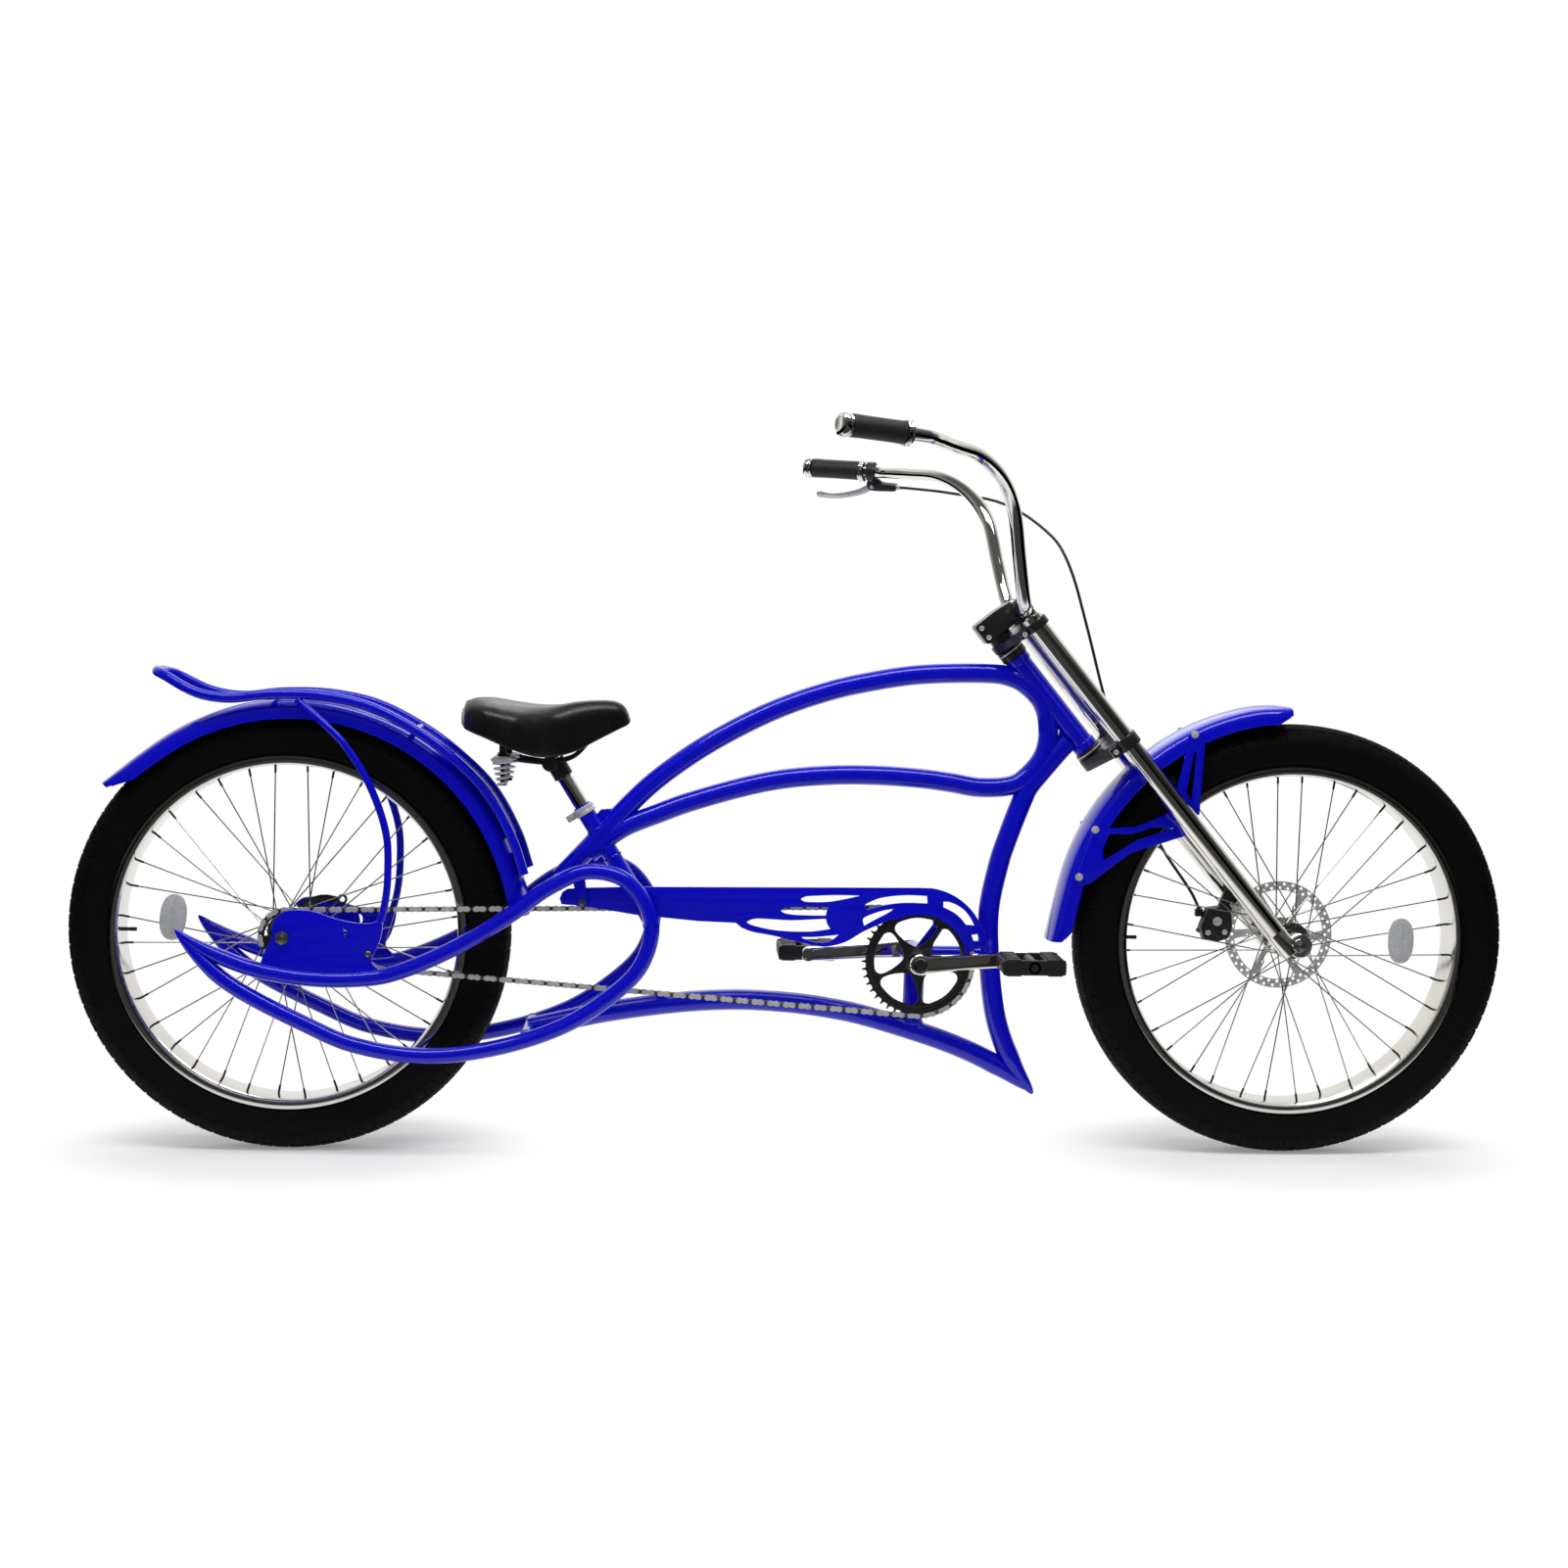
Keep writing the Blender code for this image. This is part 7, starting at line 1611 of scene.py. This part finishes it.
makeCrown("lowerCrown", "crown_lower", head["crownLow"], crownSet["low"])
makeCrown("upperCrown", "crown_upper", head["crownHigh"], crownSet["high"])
for side, word in ((-1, "Right"), (1, "Left")):
    makeLeg("forkLeg" + word, side)
makeAxle(
    "frontAxle", "front_axle", "steering", frontAxle, 0.0898, 0.0092, (0.0093, 0.0014), (0.015, 0.0066)
)
makeSteerer()
print("fork made")


# Stem and handlebar
stemSet = {
    "foot": 0.681, "height": 0.047, "half": 0.024, "barUp": 0.702, "barForward": 0.051, "bar": 0.0111
}
barMiddle = onSteering(stemSet["barUp"], stemSet["barForward"])


def makeStem():
    foot = onSteering(stemSet["foot"], 0)
    sleeve = mm((14.7, 0), (18.7, 0), (19.5, 0.8), (19.5, 11.8), (18.5, 13), (14.7, 13))
    neck = turnOnLathe("stem", sleeve, foot, steerUp, 48)
    half, tall = stemSet["half"], stemSet["height"]
    side = [
        (-0.026, 0.013), (-0.0225, 0.01), (0.045, 0.01), (0.045, tall - 0.003), (0.016, tall),
        (-0.0225, tall), (-0.026, tall - 0.0035)
    ]
    body = cutPlate("body", side, [], 2 * half, foot, 0.0026, steerForward, steerUp)
    clampShape = [(0.0196, half + 0.001), (0.0186, half + 0.002), (0.0114, half + 0.002)]
    clamp = turnOnLathe("clamp", evenSided(clampShape), barMiddle, sideways, 48)
    lug = blockOn(
        "lug", (0, -0.018, 0), (0.012, 0.018, 0.036), onSteering(0.684, 0.055), steerForward, steerUp, 0.002
    )
    joinTo(neck, body, clamp, lug)
    finishPiece(neck, "steering", "black_metal", "stem")
    bolts = []
    for across in (-0.0105, 0.0105):
        for up in (0.005, 0.031):
            place = onSteering(0.684 + up, 0.067, across)
            bolts.append(socketBolt("bolt", place, steerForward, 0.0078, 0.0034))
    for up in (0.019, 0.038):
        for across in (-1, 1):
            place = onSteering(stemSet["foot"] + up, -0.0175, across * half)
            bolts.append(socketBolt("bolt", place, across * sideways, 0.0084, 0.0024))
    finishTogether("stemBolts", bolts, "steering", "steel", finish="leverAlloy")


def gripLine(side):
    start = barMiddle + Vector((-0.2228, side * 0.4022, 0.2485))
    return start, Vector((-0.1078, side * 0.0487, 0.0081)).normalized()


def makeHandlebar():
    shape = mm(
        (0, 32, 0), (-3, 80, 2), (-11.6, 106.2, 35.4), (-20.1, 125.8, 80.4), (-34.6, 155.7, 153.8),
        (-60.5, 198.6, 199.6), (-103.1, 249.7, 230.5), (-150, 315, 240), (-179, 364, 244.5)
    )
    halves = []
    for side in (-1, 1):
        start, out = gripLine(side)
        line = [barMiddle + Vector((x, side * y, z)) for x, y, z in shape]
        line += [start - 0.026 * out, start + 0.096 * out]
        halves.append(line)
    line = spreadEvenly(halves[0][::-1] + halves[1], 9)
    finishPiece(bendTube("handlebar", line, stemSet["bar"], None, 28), "steering", "chrome", "handlebar")


gripSet = {"radius": 0.017, "length": 0.1, "lobes": 7}


def makeGrip(name, side):
    start, out = gripLine(side)
    radius = gripSet["radius"]
    sleeve = [(0.0114, 0.0112), (0.0158, 0.0112), (0.0166, 0.0124), (radius, 0.015)]
    sleeve += [(radius - 0.0003, 0.025), (radius - 0.0004, 0.05), (radius - 0.0003, 0.08), (radius, 0.093)]
    sleeve += [(radius, 0.0975), (0.0162, 0.0995), (0.0114, 0.0995)]
    grip = turnOnLathe(name, sleeve, start, out, 56)
    finishPiece(grip, "steering", "black_plastic", sided("grip", side), finish="gripRubber")
    ring = mm(
        (11.4, 0.2), (16.8, 0.2), (18.8, 1), (19.6, 2.6), (18.8, 4), (18.4, 5.6), (19.2, 6.6), (19.8, 7.8),
        (19.6, 9.8), (18.2, 11), (11.4, 11)
    )
    collar = turnOnLathe(name + "Ring", ring, start, out, 56)
    # soft lobes round the ring, as a knurled nut has
    for spot in collar.data.vertices:
        away = spot.co - start
        height = away.dot(out)
        away -= height * out
        if away.length > 0.0165:
            angle = math.atan2(away.dot(out.cross(Vector((0, 0, 1)))), away.z)
            share = 1 - 0.045 * max(0.0, math.cos(gripSet["lobes"] * angle)) ** 4
            spot.co = start + height * out + away * share
    finishPiece(collar, "steering", "chrome")


def makeGripCap(name, side):
    start, out = gripLine(side)
    shape = mm(
        (0, 0.4), (17.2, 0.4), (18, 1.4), (18, 3), (17.4, 4), (18.4, 5.2), (18.8, 6.6), (18.8, 10),
        (18.4, 12), (17.4, 14), (15.6, 15.8), (12.4, 17.2), (10.6, 17.6), (9.8, 17), (5, 16.6), (0, 16.5)
    )
    cap = turnOnLathe(name, shape, start + gripSet["length"] * out, out, 56)
    finishPiece(cap, "steering", "chrome", sided("grip_cap", side))


makeStem()
makeHandlebar()
for side, word in ((-1, "Right"), (1, "Left")):
    makeGrip("grip" + word, side)
    makeGripCap("gripCap" + word, side)


# Brake lever, its perch and the caliper
def makePerch():
    start, alongGrip, away, axis = leverDirections()
    shape = mm((11.4, -17.8), (15.7, -17.8), (16.5, -17), (16.5, -5), (15.7, -4.2), (11.4, -4.2))
    perch = turnOnLathe("leverPerch", shape, start, alongGrip, 40)
    outline = mm(
        (-17, 12.5), (-5, 12.5), (-2, 26), (-6, 33), (-18, 35), (-38, 34.4), (-56, 33), (-57.5, 28),
        (-56, 23), (-30, 21)
    )
    for side in (-1, 1):
        cheek = cutPlate(
            "cheek", roundCorners(outline, 4, (0, 1)), [], 0.0032, start + side * 0.0048 * axis, 0.0006,
            alongGrip, away
        )
        joinTo(perch, cheek)
    core = mm(
        (-24, 15), (-17, 12.5), (-22.5, 30), (-25, 34.5), (-38, 34.4), (-56, 33), (-57.5, 28), (-56, 23),
        (-30, 21)
    )
    joinTo(perch, cutPlate("core", core, [], 0.007, start, 0.0004, alongGrip, away))
    finishPiece(perch, "steering", "black_plastic", "lever_perch")
    barrel = mm(
        (2.8, 0), (4, 0), (4.5, 0.6), (4.5, 3), (4, 3.6), (4.5, 4.2), (4.5, 7.6), (3.6, 8.2), (3.6, 11.6),
        (2.8, 12)
    )
    adjuster = turnOnLathe("leverAdjuster", barrel, onLever(-0.052, 0.028), -alongGrip, 24)
    for side in (-1, 1):
        place = onLever(-0.012, 0.027, side * 0.0064)
        joinTo(adjuster, socketBolt("pin", place, side * axis, 0.007, 0.0018))
    joinTo(adjuster, socketBolt("clampBolt", onLever(-0.011, 0.0125, 0.0064), axis, 0.006, 0.0022))
    finishPiece(adjuster, "steering", "steel", finish="leverAlloy")


def makeLever():
    start, alongGrip, away, _ = leverDirections()
    spine = spreadEvenly([(x, z, 0) for x, z in mm((-12, 27), (10, 39), (40, 48), (70, 52), (93, 50))], 6)
    widths = [0.0065, 0.0066, 0.0062, 0.0058, 0.0055, 0.0052, 0.005, 0.0052, 0.006]
    upper = []
    lower = []
    for k, spot in enumerate(spine):
        share = k / (len(spine) - 1) * 8
        low = min(7, int(share))
        wide = widths[low] + (widths[low + 1] - widths[low]) * (share - low)
        way = (spine[min(k + 1, len(spine) - 1)] - spine[max(k - 1, 0)]).normalized()
        upper.append((spot.x - way.y * wide, spot.y + way.x * wide))
        lower.append((spot.x + way.y * wide, spot.y - way.x * wide))
    first, last = spine[0], spine[-1]
    nose = [
        (first.x - 0.005, first.y + 0.003), (first.x - 0.0064, first.y - 0.001),
        (first.x - 0.003, first.y - 0.0058)
    ]
    end = [(last.x + 0.0048, last.y - 0.0042), (last.x + 0.0062, last.y), (last.x + 0.0046, last.y + 0.004)]
    lever = cutPlate(
        "brakeLever", upper[::-1] + nose + lower + end, [], 0.0056, start, 0.0022, alongGrip, away
    )
    finishPiece(lever, "lever", "steel", "brake_lever", finish="leverAlloy")


def makeCaliper():
    caliper = refinedCopy("caliper", "brakeCaliper", 0.0011)
    middle = frontAxle + Vector((-0.108, 0, 0.018))
    finishPiece(caliper, "steering", "black_plastic", "caliper", angle=35)
    arm = refinedCopy("caliper_arm", "caliperArm", 0.0007)
    finishPiece(arm, "brake_arm", "steel", "caliper_arm")
    bolts = []
    for x in (-0.015, 0.015):
        place = middle + Vector((x, 0.0575, -0.015))
        bolts.append(socketBolt("bolt", place, sideways, 0.0085, 0.003))
    outer = mm((-14, 33, -14, 9), (14, 33, -13, 9), (1, 33, 5, 15), (30, 51.5, 30, 8.5), (33, 51.5, 52, 8.5))
    for x, y, z, size in outer:
        bolts.append(socketBolt("bolt", middle + Vector((x, y, z)), -sideways, size, 0.003))
    finishTogether("caliperBolts", bolts, "steering", "steel", finish="leverAlloy")


makePerch()
makeLever()
makeCaliper()
print("bar, grips and brake made")


# Seat post, under-frame and springs
postTop = onSeat(-0.092)
seatSet = {
    "post": 0.0127, "rail": 0.0035, "spring": 0.0021, "turns": 4.5, "springTop": 0.015, "springLow": 0.0065,
    "springTall": 0.042
}


def fromPost(x, y, z):
    return postTop + Vector((x, y, z))


def makePost():
    shape = mm((0, -100), (12.2, -100), (12.7, -99.5), (12.7, 90.5), (12.1, 92), (0, 92))
    finishPiece(turnOnLathe("seatPost", shape, onSeat(0), -seatDown, 48), "seat", "chrome", "seat_post")


def makeSeatFrame():
    sleeve = mm((13, 0), (15.5, 0), (16.2, 0.8), (16.2, 30), (15, 31.8), (13, 31.8))
    body = turnOnLathe("saddleFrame", sleeve, onSeat(-0.092 + 0.022), -seatDown, 40)
    barrel = mm((11.2, 23.2), (13, 24), (13, 29), (11.8, 30), (0, 30))
    joinTo(body, turnOnLathe("barrel", evenSided(barrel), fromPost(-0.01, 0, 0.004), sideways, 48))
    for side in (-1, 1):
        # a knurled washer over each end of the clamp
        teeth = 28
        knurl = [polar(0.0128 if k % 2 else 0.0117, math.tau * k / teeth / 2) for k in range(teeth * 2)]
        joinTo(body, cutPlate("knurl", knurl, [], 0.004, fromPost(-0.01, side * 0.0315, 0.004), 0.0004))
        way = mm((-84, 55, 15), (-45, 36, 8), (-10, 24, 6), (28, 20, 16), (56, 14, 48), (70, 6, 80))
        rail = [fromPost(x, side * y, z) for x, y, z in way]
        joinTo(body, bendTube("rail", spreadEvenly(rail, 8), seatSet["rail"], None, 14))
        stud = straightTube(
            "stud", fromPost(-0.084, side * 0.055, 0.015), fromPost(-0.084, side * 0.055, 0.075), 0.0052,
            20, 0.0006
        )
        joinTo(body, stud, hexNut("nut", fromPost(-0.084, side * 0.055, 0.0172), (0, 0, 1), 0.014, 0.006))
    finishPiece(body, "seat", "black_metal", "saddle_frame")


def makeSpringPlate():
    # a pressed plate with a wavy edge that holds both springs
    def place(s, t):
        y = -0.071 + 0.142 * s
        swell = 0.5 + 0.5 * math.cos(math.tau * y / 0.055)
        half = 0.015 + 0.006 * swell
        return fromPost(-0.082 + half * (2 * t - 1), y, 0.0168 - 0.0012 * swell - 0.0034 * (2 * t - 1) ** 2)

    plate = bendSheet("springPlate", 60, 10, place)
    withModifier(plate, "SOLIDIFY", thickness=0.0018, offset=0)
    roundEdges(tidyMesh(plate), 0.0004, 1, 60)
    for side in (-1, 1):
        cup = mm((5.6, 2), (15, 1), (17.2, -1), (17.8, -5), (16.8, -5.6), (16, -1.6), (5.6, 0.4))
        joinTo(plate, turnOnLathe("cup", cup, fromPost(-0.084, side * 0.055, 0.014), (0, 0, 1), 40))
    finishPiece(plate, "seat", "steel", finish="leverAlloy")


def makeSpring(name, side):
    top = fromPost(-0.084, side * 0.055, 0.0117)
    wire = seatSet["spring"]
    rise = seatSet["springTall"] - 2 * wire
    line = []
    steps = 110
    for k in range(steps + 1):
        t = k / steps
        radius = seatSet["springTop"] + (seatSet["springLow"] - seatSet["springTop"]) * t
        angle = side * math.tau * seatSet["turns"] * t
        line.append(top + Vector((radius * math.cos(angle), radius * math.sin(angle), -wire - rise * t)))
    coil = bendTube(name, line, wire, None, 12)
    finishPiece(coil, "seat", "steel", sided("saddle_spring", side), finish="leverAlloy")
    foot = top - Vector((0, 0, seatSet["springTall"]))
    button = mm((0, 40), (3.4, 40), (3.4, 4), (7.2, 2.6), (7.6, 1), (7.6, -0.2), (6, -1.2), (0, -1.6))
    stem = turnOnLathe(name + "Button", button, foot + Vector((0, 0, 0.0016)), (0, 0, 1), 24)
    finishPiece(stem, "seat", "black_plastic")


makePost()
makeSeatFrame()
makeSpringPlate()
for side, word in ((-1, "Right"), (1, "Left")):
    makeSpring("spring" + word, side)
print("seat post, frame and springs made")


# Saddle: a moulded cover over foam, drawn in round its edge
saddleSet = {
    "length": 0.265, "half": 0.105, "nose": 0.1167,
    "closing": ((0.93, 0.0016), (0.8, 0.003), (0.6, 0.0042), (0.35, 0.005), (0.12, 0.0053)),
    "stations": (
        (0.0, 0.46, 0.092, 0.064, 0.084), (0.03, 0.74, 0.1045, 0.0585, 0.097),
        (0.15, 0.97, 0.1067, 0.0467, 0.103), (0.3, 1.0, 0.1009, 0.03, 0.098),
        (0.445, 0.78, 0.0966, 0.017, 0.094), (0.565, 0.52, 0.097, 0.0166, 0.095),
        (0.683, 0.38, 0.1022, 0.0248, 0.101), (0.8, 0.32, 0.105, 0.0411, 0.104),
        (0.89, 0.285, 0.1048, 0.0535, 0.104), (0.942, 0.235, 0.101, 0.0605, 0.1002),
        (0.974, 0.185, 0.0935, 0.0645, 0.0925), (0.993, 0.125, 0.084, 0.0675, 0.083),
        (1.0, 0.075, 0.078, 0.07, 0.0775),
    ),
}


def makeSaddle():
    stations = saddleSet["stations"]
    rings = []
    for along, wide, crown, low, middle in stations:
        x = saddleSet["nose"] - saddleSet["length"] * (1 - along)
        half = saddleSet["half"] * wide
        edge = low + 0.45 * (crown - low)
        rise = min(0.03, 0.42 * (crown - low))
        right = [
            (0.45, crown + 0.001), (0.8, crown - 0.13 * (crown - low)), (0.95, crown - 0.3 * (crown - low)),
            (1.0, edge), (0.975, low + 0.003), (0.9, low + 0.0004), (0.8, low + 0.003), (0.55, low + rise)
        ]
        shape = [(0.0, middle), *right, (0.0, low + rise + 0.002)]
        shape += [(-u, z) for u, z in reversed(right)]
        ring = roundCorners([(half * u, z) for u, z in shape], 9)
        rings.append([Vector((x, y, z)) for y, z in ring])
    count = len(rings[0])
    columns = [spreadEvenly([ring[k] for ring in rings], 16) for k in range(count)]
    for edge, way in (([column[0] for column in columns], -1), ([column[-1] for column in columns], 1)):
        middle = sum(edge, Vector()) / count
        for share, bulge in saddleSet["closing"]:
            for column, spot in zip(columns, edge):
                closer = middle + share * (spot - middle) + Vector(
                    (-bulge if way < 0 else 0.25 * bulge, 0, 0)
                )
                column.insert(0 if way < 0 else len(column), closer)
    rows = len(columns[0])

    def place(s, t):
        spot = columns[round(t * count) % count][round(s * (rows - 1))]
        return postTop + spot

    cover = bendSheet("saddleCover", rows - 1, count, place)
    tidyMesh(cover, 0.00005)
    # both ends close in shrinking rings, and the last small hole of each gets a face
    inEdit(cover, noneOfMesh, ("select_non_manifold", {}), ("edge_face_add", {}), mode="EDGE")
    tidyMesh(cover, 0.00005)
    withModifier(cover, "SMOOTH", factor=0.5, iterations=10)
    swellSaddle(cover)
    finishPiece(cover, "seat", "vinyl", "saddle", angle=60)


def swellSaddle(cover):
    # the folds that the cover draws into behind, and a faint welt along its lower edge
    for spot in cover.data.vertices:
        x = (spot.co.x - postTop.x - saddleSet["nose"]) / saddleSet["length"] + 1
        y = abs(spot.co.y) / saddleSet["half"]
        z = spot.co.z - postTop.z
        side = max(0.0, min(1.0, (y - 0.45) / 0.4))
        fold = math.exp(-((x - 0.33) / 0.05) ** 2) - 0.7 * math.exp(
            -((x - 0.235) / 0.04) ** 2
        ) + 0.5 * math.exp(-((x - 0.15) / 0.035) ** 2)
        low = max(0.0, min(1.0, (z - 0.052) / 0.02)) * max(0.0, min(1.0, (0.104 - z) / 0.014))
        spot.co.y += math.copysign(
            0.0022 * fold * side * low, spot.co.y
        ) - math.copysign(0.002 * side * low, spot.co.y)


makeSaddle()
print("saddle made")


# Studio: a pale floor, soft lamps and a white surround, darker beside the camera for metal and
# gloss to show
studio = {
    "floorRadius": 14.0, "floorColour": (0.86, 0.86, 0.86, 1), "floorGlow": (0.22, 0.22, 0.22, 1),
    "worldLight": 0.3,
    "keyLong": 3.4, "keyWide": 0.9, "keyPower": 58.0, "fillPower": 16.0, "backPower": 30.0,
    "floorDark": 0.05, "floorDarkFrom": -0.24, "floorDarkTo": -0.62, "floorSide": 1.7,
    "shadowLong": 0.42, "shadowWide": 0.3,
    # turn from straight towards the camera side, in degrees, and the shade there
    "surround": (
        (-180, 1.0), (-134, 0.92), (-122, 0.2), (-104, 0.3), (-84, 0.16), (-50, 0.07), (-20, 0.03),
        (56, 0.015), (84, 0.06), (112, 0.16), (126, 0.85), (180, 1.0),
    ),
    "patchLow": -0.6, "patchHigh": 0.3,
    # overhead: where the shade begins and ends, and how light it is there
    "upper": (-0.1, 0.4, 0.1, 0.85),
}


def makeWorld():
    world = bpy.data.worlds.new("studioWorld")
    bpy.context.scene.world = world
    world.use_nodes = True
    tree = world.node_tree
    tree.nodes.clear()
    ray = addNode(tree, "LightPath")
    way = addNode(tree, "SeparateXYZ", {"Vector": addNode(tree, "TexCoord")["Generated"]})
    white = (1, 1, 1, 1)

    def light(colour, strength):
        return addNode(tree, "Background", {"Color": colour, "Strength": strength})["Background"]

    def mixed(factor, first, second):
        return addNode(tree, "MixShader", {"Fac": factor, 1: first, 2: second})["Shader"]

    # what metal and gloss see, by the turn about the upright
    turn = combine(tree, "ARCTAN2", way["X"], combine(tree, "MULTIPLY", way["Y"], -1.0))
    around = addNode(
        tree, "ValToRGB", {"Fac": ramped(tree, turn, -math.pi, math.pi, form="LINEAR")}
    )["Color"]
    ramp = around.node.color_ramp
    stops = studio["surround"]
    for k, (degrees, shade) in enumerate(stops):
        place = (degrees + 180) / 360
        stop = ramp.elements[k] if k < 1 else ramp.elements[-1] if k == len(
            stops
        ) - 1 else ramp.elements.new(place)
        stop.position = place
        stop.color = (shade, shade * 0.99, shade * 0.96, 1)
    high, low = studio["patchHigh"], studio["patchLow"]
    under, above = ramped(tree, way["Z"], high + 0.14, high), ramped(tree, way["Z"], low - 0.14, low)
    # overhead the room is dark on the camera side and bright behind the object
    over = ramped(tree, way["Y"], *studio["upper"])
    level = combine(tree, "MULTIPLY", under, above)
    shade = addNode(tree, "Mix", {"A": over, "B": around, "Factor": level}, data_type="RGBA")["Result"]
    gloss = mixed(ray["Is Glossy Ray"], light(white, studio["worldLight"]), light(shade, 1.0))
    seen = combine(tree, "MAXIMUM", ray["Is Camera Ray"], ray["Is Transmission Ray"])
    addNode(tree, "OutputWorld", {"Surface": mixed(seen, gloss, light(white, 1.0))})


def makeFloor():
    bpy.ops.mesh.primitive_circle_add(
        vertices=96, radius=studio["floorRadius"], fill_type="NGON", location=(0.8, 0, -0.0004)
    )
    bpy.ops.object.transform_apply(location=True, rotation=True, scale=True)
    floor = made("studioFloor")
    finish = bpy.data.materials.new("paleFloor")
    finish.use_nodes = True
    tree = finish.node_tree
    shader = tree.nodes["Principled BSDF"]
    feed(tree, shader, {"Base Color": studio["floorColour"], "Roughness": 0.9, "Specular IOR Level": 0.0})
    place = addNode(tree, "TexCoord")["Object"]

    # the floor keeps its shadow in a soft oval under each tyre, and is white like the backdrop beyond
    def oval(x):
        size = (studio["shadowLong"], studio["shadowWide"], 1)
        shift = {"Location": (x, 0, 0), "Scale": size, "Vector": place}
        near = addNode(tree, "Mapping", shift, vector_type="TEXTURE")["Vector"]
        return ramped(tree, addNode(tree, "VectorMath", {0: near}, operation="LENGTH")["Value"], 1.0, 0.35)

    def glow(colour, strength):
        return addNode(tree, "Emission", {"Color": colour, "Strength": strength})["Emission"]

    ray = addNode(tree, "LightPath")
    split = addNode(tree, "SeparateXYZ", {"Vector": place})
    # a dark cloth lies in front of the camera, which only metal and gloss show
    cloth = ramped(tree, split["Y"], studio["floorDarkTo"], studio["floorDarkFrom"], studio["floorDark"])
    aside = {0: split["X"], 1: 0.8, 2: studio["floorSide"]}
    aside = addNode(tree, "Math", aside, operation="COMPARE")["Value"]
    shine = combine(tree, "MULTIPLY", ray["Is Glossy Ray"], cloth)
    shine = combine(tree, "MULTIPLY", shine, aside)
    clear = combine(tree, "MAXIMUM", ray["Is Camera Ray"], ray["Is Transmission Ray"])
    seen = combine(tree, "MAXIMUM", clear, ray["Is Glossy Ray"])
    shaded = combine(tree, "MAXIMUM", oval(0.0), oval(frontAxle.x))
    pale = glow(studio["floorGlow"], combine(tree, "MULTIPLY", seen, shaded))
    near = addNode(tree, "AddShader", {0: shader.outputs["BSDF"], 1: pale})["Shader"]
    white = glow((1, 1, 1, 1), combine(tree, "MAXIMUM", clear, shine))
    beyond = combine(tree, "MULTIPLY", seen, combine(tree, "SUBTRACT", 1.0, shaded))
    total = addNode(tree, "MixShader", {"Fac": beyond, 1: near, 2: white})["Shader"]
    feed(tree, tree.nodes["Material Output"], {"Surface": total})
    floor.data.materials.append(finish)


def hangLamp(name, place, target, size, power, wide=None, shown=True):
    bpy.ops.object.light_add(type="AREA", location=place)
    lamp = made(name)
    lamp.data.shape = "RECTANGLE" if wide else "DISK"
    lamp.data.size = size
    if wide:
        lamp.data.size_y = wide
    lamp.data.energy = power
    lamp.visible_glossy = shown
    way = Vector(target) - Vector(place)
    lamp.rotation_euler = way.to_track_quat("-Z", "Y").to_euler()


makeWorld()
makeFloor()
middle = (0.8, 0, 0.55)
hangLamp("keyLamp", (0.8, -1.0, 3.1), middle, studio["keyLong"], studio["keyPower"], studio["keyWide"])
hangLamp("fillLamp", (-0.8, -3.4, 2.6), middle, 2.4, studio["fillPower"], shown=False)
hangLamp("backLamp", (1.2, 2.8, 3.0), middle, 2.8, studio["backPower"])
bpy.context.scene.view_settings.view_transform = "Standard"
print("studio made")
